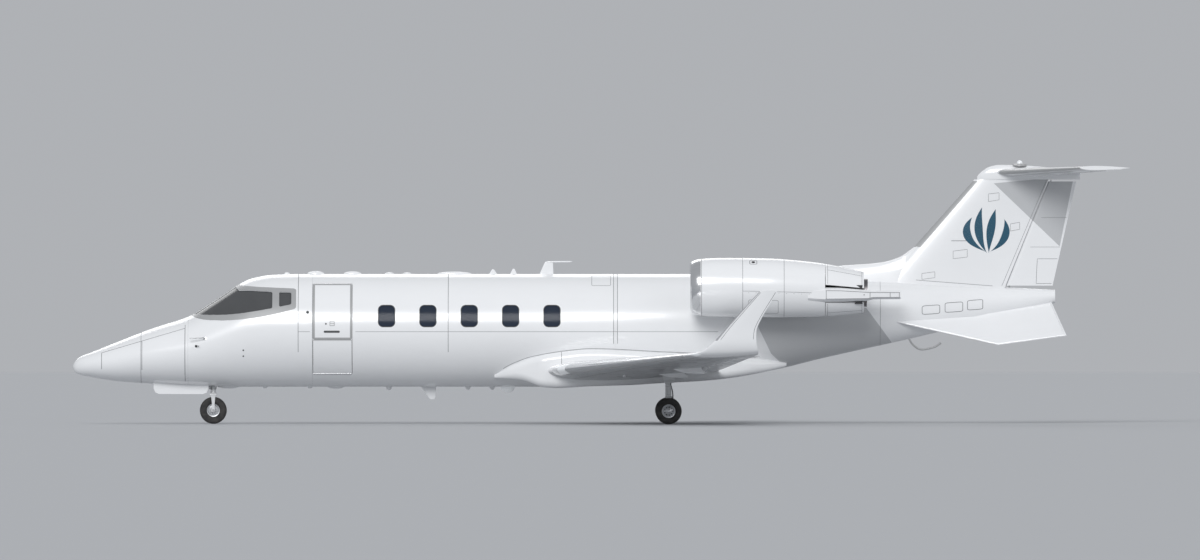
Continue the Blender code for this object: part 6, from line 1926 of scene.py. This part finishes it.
# Landing gear
def tyre(name, body, centre, size, rim_radius, replaces):
    """A tyre with rounded shoulders and four grooves round its tread."""
    radius, width = size
    half = width / 2
    inside = rim_radius + FIT_GAP
    crown = radius - 0.30 * half
    side = inside + 0.5 * (radius - inside)
    shoulder = [(0.74, inside), (0.83, inside + 0.006), (0.93, inside + 0.3 * (side - inside)),
                (0.985, side - 0.012),
                (1.0, side), (0.985, side + 0.014), (0.94, crown - 0.012), (0.82, crown + 0.003),
                (0.64, radius - 0.09 * half), (0.50, radius - 0.0015)]
    tread = []
    for place in (0.42, 0.15, -0.15, -0.42):
        tread += [(place + 0.035, radius), (place + 0.025, radius - 0.006), (place - 0.025, radius - 0.006),
                  (place - 0.035, radius)]
    profile = [(-half * a, r) for a, r in shoulder] + [(-half * a, r) for a, r in tread]
    profile += [(half * a, r) for a, r in reversed(shoulder)]
    piece(name, body, [turned(centre, ACROSS, profile, "tyre", 112, loop=True)], replaces)
    marks = []
    for way in (-1, 1):
        for ring in (0.35, 0.72):
            r = inside + ring * (crown - inside)
            a = way * half * (0.93 + 0.06 * math.sin(math.pi * ring)) * 0.985
            bead = [(a - 0.002, r - 0.002), (a - 0.002, r + 0.002), (a + 0.002 * way + 0.001, r)]
            marks.append(turned(centre, ACROSS, bead, "tyre", 96, loop=True))
    piece(name + "_beads", body, marks)


WHEEL_HOLES = 9


def wheel_rim(centre, width, radius, hub, bore, way):
    """A forged wheel, as its disc and rim, the lightening holes to cut, and its bolts with the cap last."""
    half = width / 2
    one_side = [(-half * 0.74, bore), (-half * 0.74, hub), (-half * 0.62, hub + 0.004),
                (-half * 0.3, radius - 0.024), (-half * 0.42, radius - 0.016),
                (-half * 0.72, radius - 0.010), (-half * 0.74, radius - 0.002), (-half * 0.70, radius)]
    profile = one_side + [(-a, r) for a, r in reversed(one_side)]
    axis = ACROSS
    disc = turned(centre, axis, profile, "wheel", 72, loop=True)
    holes, bolts = [], []
    middle = (hub + radius - 0.024) / 2
    for turn in turns(WHEEL_HOLES):
        out = Vector((math.cos(turn), 0, math.sin(turn)))
        holes.append(turned(centre + out * middle - axis * half, axis, [(0, 0.010), (2 * half, 0.010)],
                            "wheel", 20))
    for turn in turns(WHEEL_HOLES, 0.5):
        out = Vector((math.cos(turn), 0, math.sin(turn)))
        face = centre + out * (hub + 0.008) + axis * way * half * 0.60
        bolts.append(turned(face, axis * way, [(0, 0.0055), (0.012, 0.0055), (0.014, 0.004)], "steel", 6))
    cap = [(0, hub * 0.86), (0.012, hub * 0.84), (0.022, hub * 0.6), (0.026, hub * 0.2)]
    bolts.append(turned(centre + axis * way * half * 0.70, axis * way, cap, "wheel", 48))
    return disc, holes, bolts


def main_wheels(name, side):
    """Two wheels on the shaft that turns in the leg, with brake discs inboard of each."""
    body = "main_wheels_" + name
    centre = at(MAIN_GEAR_STATION, side * MAIN_GEAR_Y, MAIN_TYRE[0])
    axis = ACROSS
    reach = TWIN_OFFSET + MAIN_TYRE[1] * 0.37
    piece("main_shaft_" + name, body,
          [rod(centre - axis * reach, centre + axis * reach, 0.0256, "steel", 40)], [body])
    fittings = []
    for label, way in (("inner", -1), ("outer", 1)):
        middle = centre + axis * way * TWIN_OFFSET
        disc, holes, bolts = wheel_rim(middle, MAIN_TYRE[1], MAIN_RIM, 0.045, 0.024, way)
        rim = piece(f"main_rim_{name}_{label}", body, [disc])
        cut(rim, holes)
        fittings += bolts
        for k in range(4):
            start = middle - axis * way * (0.034 - 0.009 * k)
            fittings.append(collar(start, axis * way, 0.005, 0.05, 0.088, "dark", 56))
        tyre(f"main_tyre_skin_{name}_{label}", body, middle, MAIN_TYRE, MAIN_RIM,
             [f"main_tyre_{name}_{label}"])
    piece("main_wheel_fittings_" + name, body, fittings)


def main_leg(name, side):
    """Oleo strut with its axle housing, piston, torque links, brake hoses and clamps."""
    x, y = MAIN_GEAR_STATION, side * MAIN_GEAR_Y
    centre = at(x, y, MAIN_TYRE[0])
    up = UP
    axis = ACROSS
    strut = [(0, 0.040), (0.004, 0.046), (0.03, 0.052), (0.05, 0.052), (0.055, 0.048), (0.25, 0.048),
             (0.255, 0.052), (0.3147, 0.052)]
    parts = [turned(at(x, y, 0.42), up, strut, "gear_paint", 48),
             soft_block((x - 0.085, y - 0.075, 0.70), (x + 0.085, y + 0.075, 0.7345), "gear_paint", 0.008)]
    housing = [(0, 0.027), (0, 0.044), (0.004, 0.048), (0.076, 0.048), (0.08, 0.044), (0.08, 0.027)]
    parts.append(turned(centre - axis * 0.04, axis, housing, "gear_paint", 48, loop=True))
    fixed("main_strut_" + name, parts, ["main_leg_" + name])
    rods = [rod(at(x, y, 0.262), at(x, y, 0.44), 0.034, "chrome", 48),
            turned(at(x, y, 0.416), up, [(0, 0.036), (0, 0.047), (0.006, 0.048), (0.006, 0.036)], "seal",
                   40, loop=True)]
    fixed("main_piston_" + name, rods)
    links = []
    for low, high in (((0.045, 0.25), (0.15, 0.35)), ((0.15, 0.35), (0.045, 0.47))):
        for way in (-1, 1):
            start, end = at(x + low[0], y, low[1]), at(x + high[0], y, high[1])
            near = axis * way * (0.030 if low[0] < high[0] else 0.010)
            far = axis * way * (0.010 if low[0] < high[0] else 0.030)
            links.append(rod(start + near, end + far, 0.0075, "gear_paint", 12))
        links.append(rod(at(x + low[0], y - 0.036, low[1]), at(x + low[0], y + 0.036, low[1]), 0.010,
                         "steel", 16))
    hoses = [pipe([at(x + 0.03, y + way * 0.045, 0.70), at(x + 0.07, y + way * 0.05, 0.55),
                   at(x + 0.075, y + way * 0.03, 0.40), at(x + 0.055, y + way * 0.03, 0.30),
                   at(x + 0.02, y + way * 0.034, 0.262)], 0.006, "hose") for way in (-1, 1)]
    clamps = [collar(at(x, y, z), up, 0.014, 0.047, 0.0535, "steel", 40) for z in (0.50, 0.63)]
    fixed("main_leg_fittings_" + name, links + hoses + clamps)


def nose_leg():
    x = NOSE_GEAR_STATION
    up = UP
    strut = [(0, 0.038), (0.004, 0.043), (0.02, 0.045), (0.05, 0.045), (0.055, 0.041), (0.20, 0.041),
             (0.205, 0.045), (0.315, 0.045)]
    parts = [turned(at(x, 0, 0.545), up, strut, "gear_paint", 48),
             rod(at(x, -0.1495, 0.83), at(x, 0.1495, 0.83), 0.03, "gear_paint", 32)]
    fixed("nose_strut", parts, ["nose_leg"])
    drag = [rod(at(x - 0.02, way * 0.018, 0.66), at(1.75, way * 0.006, 0.905), 0.011, "gear_paint", 14)
            for way in (-1, 1)]
    drag.append(rod(at(x - 0.02, -0.03, 0.66), at(x - 0.02, 0.03, 0.66), 0.012, "steel", 16))
    drag.append(collar(at(x, 0, 0.58), up, 0.02, 0.040, 0.050, "steel", 40))
    lamp = at(x - 0.052, 0, 0.62)
    drag.append(turned(lamp + Vector((0.012, 0, 0)), -BACK,
                       [(0, 0.015), (0.012, 0.028), (0.030, 0.034), (0.034, 0.034)], "gear_paint", 32))
    drag.append(turned(lamp - Vector((0.0215, 0, 0)), -BACK, [(0, 0.031), (0.003, 0.028), (0.005, 0.018)],
                       "clear_lens", 32))
    drag.append(pipe([at(x + 0.044, 0.02, 0.80), at(x + 0.052, 0.022, 0.70), at(x + 0.047, 0.02, 0.60)],
                     0.005, "hose"))
    fixed("nose_leg_fittings", drag)


def nose_fork():
    """The steered fork: a collar under the leg and a forged arm on each side of the tyre."""
    x = NOSE_GEAR_STATION
    parts = [soft_block((x - 0.06, -0.095, 0.475), (x + 0.06, 0.095, 0.515), "gear_paint", 0.012)]
    parts.append(turned(at(x, 0, 0.49), UP, [(0, 0.05), (0.040, 0.05), (0.0546, 0.047)], "gear_paint", 48))
    for _, side in SIDES:
        rings = []
        for z, half, y0, y1 in ((0.198, 0.014, 0.074, 0.090), (0.206, 0.026, 0.071, 0.092),
                                (0.2285, 0.031, 0.070, 0.092), (0.25, 0.027, 0.070, 0.092),
                                (0.35, 0.024, 0.071, 0.091), (0.45, 0.034, 0.070, 0.092),
                                (0.49, 0.05, 0.070, 0.092)):
            rings.append([at(x + a * half, side * b, z) for a, b in (
                (-1, y0 + 0.004), (-0.8, y0), (0.8, y0), (1, y0 + 0.004), (1, y1 - 0.004), (0.8, y1),
                (-0.8, y1), (-1, y1 - 0.004))])
        parts.append(skin(rings, "gear_paint"))
    piece("nose_fork_arms", "nose_fork", parts, ["nose_fork"])
    axle = [rod(at(x, -0.1, NOSE_TYRE[0]), at(x, 0.1, NOSE_TYRE[0]), 0.0198, "steel", 32)]
    piece("nose_axle", "nose_fork", axle)


def nose_wheel():
    centre = at(NOSE_GEAR_STATION, 0, NOSE_TYRE[0])
    disc, holes, bolts = wheel_rim(centre, NOSE_TYRE[1], NOSE_RIM, 0.04, 0.0206, -1)
    rim = piece("nose_rim", "nose_wheel", [disc], ["nose_wheel"])
    cut(rim, holes)
    piece("nose_rim_bolts", "nose_wheel", bolts[:-1])
    tyre("nose_tyre_skin", "nose_wheel", centre, NOSE_TYRE, NOSE_RIM, ["nose_tyre"])


def nose_gear_doors():
    """The two doors that hang open beside the nose leg."""
    parts = []
    for _, side in SIDES:
        rings = []
        for station, low, high in ((1.37, 0.60, 0.72), (1.40, 0.535, 0.722), (1.46, 0.508, 0.724),
                                   (2.20, 0.505, 0.724), (2.27, 0.53, 0.722), (2.3, 0.59, 0.72)):
            rings.append([at(station, side * y, z)
                          for y, z in ((0.1605, low), (0.1605, high), (0.1715, high),
                                                                (0.1715, low))])
        parts.append(skin(rings, "paint"))
        for station in (1.55, 1.85, 2.12):
            parts.append(rod(at(station, side * 0.155, 0.60), at(station, side * 0.155, 0.71), 0.006,
                             "gear_paint", 12))
    fixed("nose_gear_doors", parts)


# Cabin
SHELF_END = 2.75
FLOOR_THICKNESS = 0.03
SEAT_PLACES = {"left": ((5.75, 1), (7.05, -1), (8.35, -1)), "right": ((5.05, 1), (6.45, -1), (7.75, -1))}
SEAT_Y = 0.42
PILOT_SEATS = ((3.40, -0.33), (3.40, 0.33))
SEAT_FLOOR = FLOOR_TOP + 0.0063


def inner_half(station, z, inset):
    """The half width inside the skin at a height."""
    top, keel = TOP_LINE(station) - inset, KEEL_LINE(station) + inset
    cosine = max(-1.0, min(1.0, (z - (top + keel) / 2) / ((top - keel) / 2)))
    return (HALF_WIDTH(station) - inset) * math.sin(math.acos(cosine))


def cabin_floor():
    """The floor, the rear bulkhead and the rails along the cabin's sides."""
    inset = WALL + 0.001
    low = FLOOR_TOP - FLOOR_THICKNESS
    rings = []
    for station in fine_stations(SHELF_END + 0.001, CABIN_END - 0.02, 0.12):
        wide, narrow = inner_half(station, FLOOR_TOP, inset), inner_half(station, low, inset)
        rings.append([at(station, -wide, FLOOR_TOP), at(station, wide, FLOOR_TOP), at(station, narrow, low),
                      at(station, -narrow, low)])
    fixed("floor_boards", [skin(rings, "carpet")], ["cabin_floor"])
    panel = [hull_solid(CABIN_END - 0.04, CABIN_END - 0.001, "trim", inset)]
    panel.append(soft_block((CABIN_END - 0.052, -0.24, FLOOR_TOP + 0.004),
                            (CABIN_END - 0.036, 0.24, 2.22), "veneer", 0.006))
    panel.append(rod(at(CABIN_END - 0.075, 0.17, 1.5), at(CABIN_END - 0.05, 0.17, 1.5), 0.012, "steel", 20))
    fixed("rear_bulkhead", panel)
    rails = []
    for _, side in SIDES:
        for angle, look, width in ((0.52, "clear_lens", 0.05), (0.72, "dark_trim", 0.02),
                                   (1.70, "veneer", 0.06)):
            samples = [(hull_point(s, side * angle, WALL), -hull_normal(s, side * angle))
                       for s in spread(4.95, CABIN_END - 0.06, 60)]
            rails.append(strip(samples, width, look, 0.006, 0.004))
    fixed("cabin_side_rails", rails)


CUSHION_CUTS = 14
CUSHION_EDGE = 0.22


def puff(look, low, high, bulge, turn, pivot):
    """A stuffed cushion: a soft box whose faces swell towards their middles."""
    (x0, y0, z0), (x1, y1, z1) = low, high
    centre = at((x0 + x1) / 2, (y0 + y1) / 2, (z0 + z1) / 2)
    half = Vector((x1 - x0, y1 - y0, z1 - z0)) / 2
    shape = bmesh.new()
    bmesh.ops.create_cube(shape, size=2.0)
    bmesh.ops.subdivide_edges(shape, edges=shape.edges[:], cuts=CUSHION_CUTS, use_grid_fill=True)
    for vert in shape.verts:
        a = vert.co.copy()
        swell = [bulge * (1 - a[(k + 1) % 3] ** 4) * (1 - a[(k + 2) % 3] ** 4) for k in range(3)]
        reach = min(half) * CUSHION_EDGE * 2
        core = Vector(max(h - reach, 0.001) for h in half)
        inside = Vector(max(-c, min(c, a[k] * half[k])) for k, c in enumerate(core))
        offset = Vector(a[k] * half[k] for k in range(3)) - inside
        if offset.length > 0:
            spot = inside + offset.normalized() * reach
        else:
            spot = inside
        for k in range(3):
            if abs(a[k]) > 0.999:
                spot[k] += math.copysign(swell[k] * 0.5 - bulge * 0.5, a[k])
        vert.co = centre + spot
    return shape_part(shape, look, turn, pivot)


def cushion(name, look, low, high, bulge, turn=None, pivot=None):
    made = piece(name, "airframe", [puff(look, low, high, bulge, turn, pivot)])


def seat(name, station, y, facing, look):
    """One seat: cushions on a shell with armrests and a pedestal, facing forward (-1) or back (1)."""
    rear = -facing
    z = SEAT_FLOOR

    def box(xs, half, zs):
        """The corners of a block about the seat's middle, with xs measured towards its back."""
        x0, x1 = sorted(station + rear * x for x in xs)
        return (x0, y - half, z + zs[0]), (x1, y + half, z + zs[1])

    cushion(name + "_cushion", look, *box((-0.215, 0.215), 0.215, (0.32, 0.445)), 0.022)
    pivot = at(station + rear * 0.20, y, z + 0.38)
    turn = Matrix.Rotation(rear * math.radians(13.5), 3, "Y")
    cushion(name + "_back_cushion", look, *box((0.20, 0.285), 0.20, (0.39, 0.86)), 0.018, turn, pivot)
    cushion(name + "_headrest", look, *box((0.195, 0.285), 0.15, (0.875, 1.035)), 0.014, turn, pivot)
    parts = [soft_block(*box((0.275, 0.315), 0.21, (0.33, 1.0)), look, 0.016, 4, turn, pivot),
             soft_block(*box((-0.22, 0.22), 0.21, (0.296, 0.345)), look, 0.014),
             soft_block(*box((-0.13, 0.13), 0.075, (0.002, 0.31)), "dark_trim", 0.02),
             soft_block(*box((-0.17, 0.17), 0.12, (0.002, 0.03)), "steel", 0.008)]
    belt = at(station + rear * 0.10, y, z + 0.452)
    straps = []
    for way in (-1, 1):
        middle = y + way * 0.235
        for x0, x1, half, z0, z1, cover in ((-0.17, 0.20, 0.024, 0.41, 0.545, look),
                                            (-0.18, 0.205, 0.027, 0.545, 0.582, "veneer")):
            parts.append(soft_block((station + x0, middle - half, z + z0),
                                    (station + x1, middle + half, z + z1), cover, 0.012))
        outer = belt + Vector((0, way * 0.20, -0.02))
        straps.append(skin([[q + Vector((d, 0, rise)) for d, rise in
                             ((-0.022, -0.002), (0.022, -0.002), (0.022, 0.003), (-0.022, 0.003))]
                            for q in (outer, belt.lerp(outer, 0.5) + Vector((0, 0, 0.006)), belt)],
                           "dark_trim"))
    buckle = soft_block((station + rear * 0.10 - 0.028, y - 0.03, z + 0.449),
                        (station + rear * 0.10 + 0.028, y + 0.03, z + 0.463), "steel", 0.004)
    return parts + straps + [buckle]


def seats():
    """The cabin's and the pilots' seats, with the pedestal between the pilots."""
    for name, side in SIDES:
        parts = []
        places = SEAT_PLACES[name]
        for k, (station, facing) in enumerate(places):
            parts += seat(f"seat_{name}_{k}", station, side * SEAT_Y, facing, "leather")
        parts.append(soft_block((places[0][0] - 0.2, side * SEAT_Y - 0.05, SEAT_FLOOR - 0.006),
                                (places[-1][0] + 0.2, side * SEAT_Y + 0.05, SEAT_FLOOR + 0.014), "steel",
                                0.004))
        fixed("seat_frames_" + name, parts, ["cabin_seats_" + name])
    parts = []
    for k, (station, y) in enumerate(PILOT_SEATS):
        parts += seat(f"pilot_seat_{k}", station, y, -1, "dark_leather")
    parts.append(soft_block((3.05, -0.42, SEAT_FLOOR - 0.006), (3.75, 0.42, SEAT_FLOOR + 0.014),
                            "dark_trim", 0.004))
    pedestal_top = SEAT_FLOOR + 0.444
    parts.append(soft_block((2.76, -0.08, SEAT_FLOOR - 0.006), (3.15, 0.08, pedestal_top), "dark_trim",
                            0.012))
    for k, (x, y) in enumerate(((2.86, -0.035), (2.86, 0.035), (3.04, -0.035), (3.04, 0.035))):
        parts.append(soft_block((x - 0.06, y - 0.028, pedestal_top - 0.004),
                                (x + 0.06, y + 0.028, pedestal_top + 0.005),
                                "dark" if k < 2 else "display", 0.003))
    for y in (-0.018, 0.018):
        lever = at(2.95, y, pedestal_top)
        parts.append(rod(lever, lever + Vector((-0.03, 0, 0.10)), 0.006, "steel", 12))
        parts.append(soft_block((2.95 - 0.05, y - 0.012, pedestal_top + 0.09), (2.95 - 0.012, y + 0.012,
                                                                              pedestal_top + 0.125),
                                "dark", 0.008))
    fixed("pilot_seat_frames", parts, ["cockpit_seats"])


PANEL_FOOT = (2.66, 1.35)
PANEL_HEAD = (2.70, 1.70)


def instrument_panel():
    """The panel with its displays, knobs and yokes."""
    outline = [(2.46, SHELF_Z + FIT_GAP), (2.60, SHELF_Z + FIT_GAP), PANEL_FOOT, PANEL_HEAD, (2.735, 1.735),
               (2.70, 1.755), (2.56, 1.76), (2.46, 1.70)]
    rings = [[at(s, y, z) for s, z in outline] for y in spread(-0.5, 0.5, 4)]
    fixed("panel_body", [skin(rings, "dark_trim")], ["instrument_panel"])
    (foot_x, foot_z), (head_x, head_z) = PANEL_FOOT, PANEL_HEAD
    lean = math.atan2(head_x - foot_x, head_z - foot_z)
    turn = Matrix.Rotation(lean, 3, "Y")
    pivot = at(foot_x, 0, foot_z)
    parts = []
    for y in (-0.36, -0.125, 0.125, 0.36):
        parts.append(soft_block((2.655, y - 0.105, 1.44), (2.668, y + 0.105, 1.66), "dark", 0.005, 2,
                                turn, pivot))
        parts.append(soft_block((2.660, y - 0.090, 1.46), (2.671, y + 0.090, 1.645), "display", 0.003, 2,
                                turn, pivot))
    for k in range(9):
        y = -0.24 + 0.06 * k
        parts.append(rod(turn @ (at(foot_x, y, 1.40) - pivot) + pivot,
                         turn @ (at(2.685, y, 1.40) - pivot) + pivot, 0.009, "steel", 16))
    for _, side in SIDES:
        y = side * 0.33
        parts.append(rod(at(foot_x, y, 1.27), at(2.86, y, 1.30), 0.014, "dark", 20))
        horn = [at(2.86, y - 0.13, 1.40), at(2.865, y - 0.12, 1.33), at(2.865, y - 0.05, 1.295),
                at(2.865, y + 0.05, 1.295), at(2.865, y + 0.12, 1.33), at(2.86, y + 0.13, 1.40)]
        parts.append(pipe(horn, 0.013, "dark", 14))
    fixed("panel_fittings", parts)


# Small things on the skin
BLADE_ROOT = 0.012


def blade(station, angle, height, chord, tip_chord, sweep, thickness=0.018):
    """A blade antenna that stands on the skin."""
    base, normal = hull_sample(station, angle, BLADE_ROOT)
    up = normal.cross(BACK).normalized()
    rings = []
    for share in (0.0, 0.3, 0.6, 0.85, 0.95, 1.0):
        shrink = 1.0 if share < 0.9 else (0.9 if share < 0.99 else 0.7)
        wide = (chord + (tip_chord - chord) * share) * shrink
        behind = sweep * share + (1 - shrink) * wide * 0.5
        leading = base + normal * (height + BLADE_ROOT) * share + Vector((behind, 0, 0))
        rings.append(foil_ring(leading, wide, thickness * shrink * (1 - 0.4 * share), up))
    return skin(rings, "paint")


def blister(station, angle, length, width, height, look="paint"):
    """A low smooth dome on the skin."""
    rings = []
    for along in (math.cos(t) for t in spread(math.pi, 0, 16)):
        share = max(0.06, math.sqrt(max(0.0, 1 - along * along)))
        s = station + along * length / 2
        ring = []
        for k in range(13):
            turn = math.pi * k / 12
            a = angle + math.cos(turn) * share * width / 2 / CABIN_RADIUS
            ring.append(hull_point(s, a)
                        + hull_normal(s, a) * (math.sin(turn) ** 0.7 * share * height - 0.003))
        for way in (-1, 1):
            a = angle + way * share * width / 2 / CABIN_RADIUS
            ring.append(hull_point(s, a, 0.015))
        rings.append(ring)
    return skin(rings, look)


TOP_BLISTERS = ((4.12, 0.30, 0.051), (4.745, 0.31, 0.045), (5.37, 0.17, 0.030), (5.67, 0.16, 0.028),
                (6.47, 0.59, 0.042))
TOP_SPIKES = ((7.05, 0.078, 0.15), (7.41, 0.088, 0.125))
BELLY_BLISTERS = ((2.63, 0.37, 0.034), (3.26, 0.08, 0.03), (4.02, 0.08, 0.03), (4.46, 0.27, 0.035),
                  (5.36, 0.10, 0.06))


PITOT_PROBE = (2.25, 1.45)
TEMPERATURE_PROBE = (2.10, 1.32)


def antennas():
    """Aerials, signal lights and probes."""
    parts = [blister(3.63, 0.0, 0.10, 0.05, 0.035)]
    parts += [blister(s, 0.0, length, 0.15, height) for s, length, height in TOP_BLISTERS]
    parts += [blade(s, 0.0, height, chord, 0.03, 0.4 * chord, 0.012) for s, height, chord in TOP_SPIKES]
    parts.append(blade(7.91, 0.0, 0.21, 0.24, 0.13, 0.10))
    arm = at(8.02, 0, 2.747)
    parts.append(turned(arm, Vector((1, 0, 0.01)),
                        [(0, 0.004), (0.03, 0.012), (0.40, 0.012), (0.45, 0.003)], "paint", 20))
    parts += [blister(s, math.pi, length, 0.14, height) for s, length, height in BELLY_BLISTERS]
    parts.append(blade(5.90, math.pi, 0.21, 0.26, 0.09, 0.15))
    parts += [blade(s, math.pi, 0.055, 0.12, 0.03, 0.05, 0.012) for s in (6.64, 7.05)]
    fixed("antennas", parts)
    lamps = [blister(7.38, math.pi, 0.24, 0.10, 0.10, "clear_lens")]
    beacon = at(16.06, 0, 4.37)
    lamps.append(turned(beacon, UP, [(0, 0.125), (0.03, 0.12), (0.042, 0.08), (0.046, 0.052)], "frame_grey",
                        48))
    lamps.append(turned(beacon, UP, [(0.04, 0.05), (0.07, 0.048), (0.088, 0.036), (0.096, 0.012)],
                        "clear_lens", 40))
    tail = at(17.075, 0, 4.262)
    lamps.append(turned(tail, BACK, [(-0.05, 0.03), (0, 0.03), (0.025, 0.022), (0.035, 0.008)],
                        "clear_lens", 32))
    fixed("signal_lights", lamps)
    probes = []
    for _, side in SIDES:
        root, normal = hull_sample(PITOT_PROBE[0], side * angle_at_height(*PITOT_PROBE))
        route = [root - normal * 0.01, root + normal * 0.045,
                 root + normal * 0.062 + Vector((-0.03, 0, -0.004)),
                 root + normal * 0.064 + Vector((-0.25, 0, -0.012))]
        probes.append(pipe(route, 0.009, "steel", 14, 6))
        probes.append(fastener(root, normal, 0.03, "steel"))
        root, normal = hull_sample(TEMPERATURE_PROBE[0], side * angle_at_height(*TEMPERATURE_PROBE))
        probes.append(pipe([root - normal * 0.01, root + normal * 0.05,
                            root + normal * 0.055 + Vector((0.06, 0, -0.004))],
                           0.006, "dark", 12, 5))
        probes.append(fastener(root, normal, 0.022, "dark"))
        for station, z, radius in ((3.99, 1.893, 0.026), (2.9, 1.25, 0.014), (2.9, 1.15, 0.014)):
            a = side * angle_at_height(station, z)
            probes.append(fastener(*hull_sample(station, a), radius, "dark"))
    hook = [at(14.18, -0.24, 1.44), at(14.25, -0.245, 1.34), at(14.38, -0.25, 1.262),
            at(14.60, -0.25, 1.30), at(14.72, -0.25, 1.372)]
    probes.append(pipe(hook, 0.016, "frame_grey", 14, 6))
    fixed("probes", probes)


# Stage
def stage_material(name, colour):
    """A plain pale studio surface."""
    nodes = Nodes(name)
    grain = nodes.noise(0.6, 3.0)
    set_shader(nodes, base_color=(*colour, 1.0), roughness=0.9)
    nodes.rough(grain, 0.86, 0.94)
    return nodes.material


SKY_COLOUR = (0.43, 0.443, 0.465)
FLOOR_COLOUR = (0.475, 0.487, 0.505)
FLOOR_RADIUS = 220.0
FLOOR_LOW = -0.02
FLOOR_THICK = 0.0195


def stage():
    profile = [(0, FLOOR_RADIUS), (FLOOR_THICK, FLOOR_RADIUS)]
    mesh, _ = build_mesh("floor", [turned(UP * FLOOR_LOW, UP, profile, "trim", 128)])
    floor = bpy.data.objects.new("floor", mesh)
    bpy.context.scene.collection.objects.link(floor)
    floor.data.materials.clear()
    floor.data.materials.append(stage_material("floor", FLOOR_COLOUR))
    world = bpy.context.scene.world or bpy.data.worlds.new("studio")
    bpy.context.scene.world = world
    world.use_nodes = True
    sky = world.node_tree.nodes["Background"]
    sky.inputs["Color"].default_value = (*SKY_COLOUR, 1.0)
    sky.inputs["Strength"].default_value = 1.0


def sun(name, place, target_z, energy, angle):
    data = bpy.data.lights.new(name, "SUN")
    data.energy = energy
    data.angle = math.radians(angle)
    made = bpy.data.objects.new(name, data)
    made.location = place
    made.rotation_euler = (Vector((0, 0, target_z)) - Vector(place)).to_track_quat("-Z", "Y").to_euler()
    bpy.context.scene.collection.objects.link(made)


def lights():
    sun("key", (-6, -30, 17), 1.5, 1.75, 25)
    sun("fill", (24, -8, 16), 2.0, 0.35, 40)
    sun("rim", (-4, 24, 14), 2.0, 0.35, 30)


CAMERA_LENS = 700
CAMERA_SENSOR = 36
PHOTO_WIDTH = 20.36
PHOTO_MIDDLE = (0.0, 2.44)


def camera():
    data = bpy.data.cameras.new("camera")
    data.lens = CAMERA_LENS
    data.sensor_width = CAMERA_SENSOR
    distance = PHOTO_WIDTH * CAMERA_LENS / CAMERA_SENSOR
    data.clip_start = 1.0
    data.clip_end = distance * 3
    made = bpy.data.objects.new("camera", data)
    made.location = (PHOTO_MIDDLE[0], -distance, PHOTO_MIDDLE[1])
    made.rotation_euler = (math.pi / 2, 0, 0)
    bpy.context.scene.collection.objects.link(made)
    bpy.context.scene.camera = made
    bpy.context.scene.view_settings.view_transform = "Standard"


def reverser_doors(name, side):
    for level in DOOR_ARC:
        reverser_door(name, side, level)


def build():
    for make in (nose, cockpit, cabin, doors, aft_body, belly_fairing, fin, rudder, stabilizer, nose_leg,
                 nose_fork, nose_wheel, nose_gear_doors, cabin_floor, seats, instrument_panel, antennas):
        make()
    for name, side in SIDES:
        for make in (wing, aileron, flap, spoiler, elevator, ventral_fin, nacelle, pylon, engine, fan,
                     reverser_doors, main_leg, main_wheels):
            make(name, side)
    for make in (stage, lights, camera):
        make()


build()
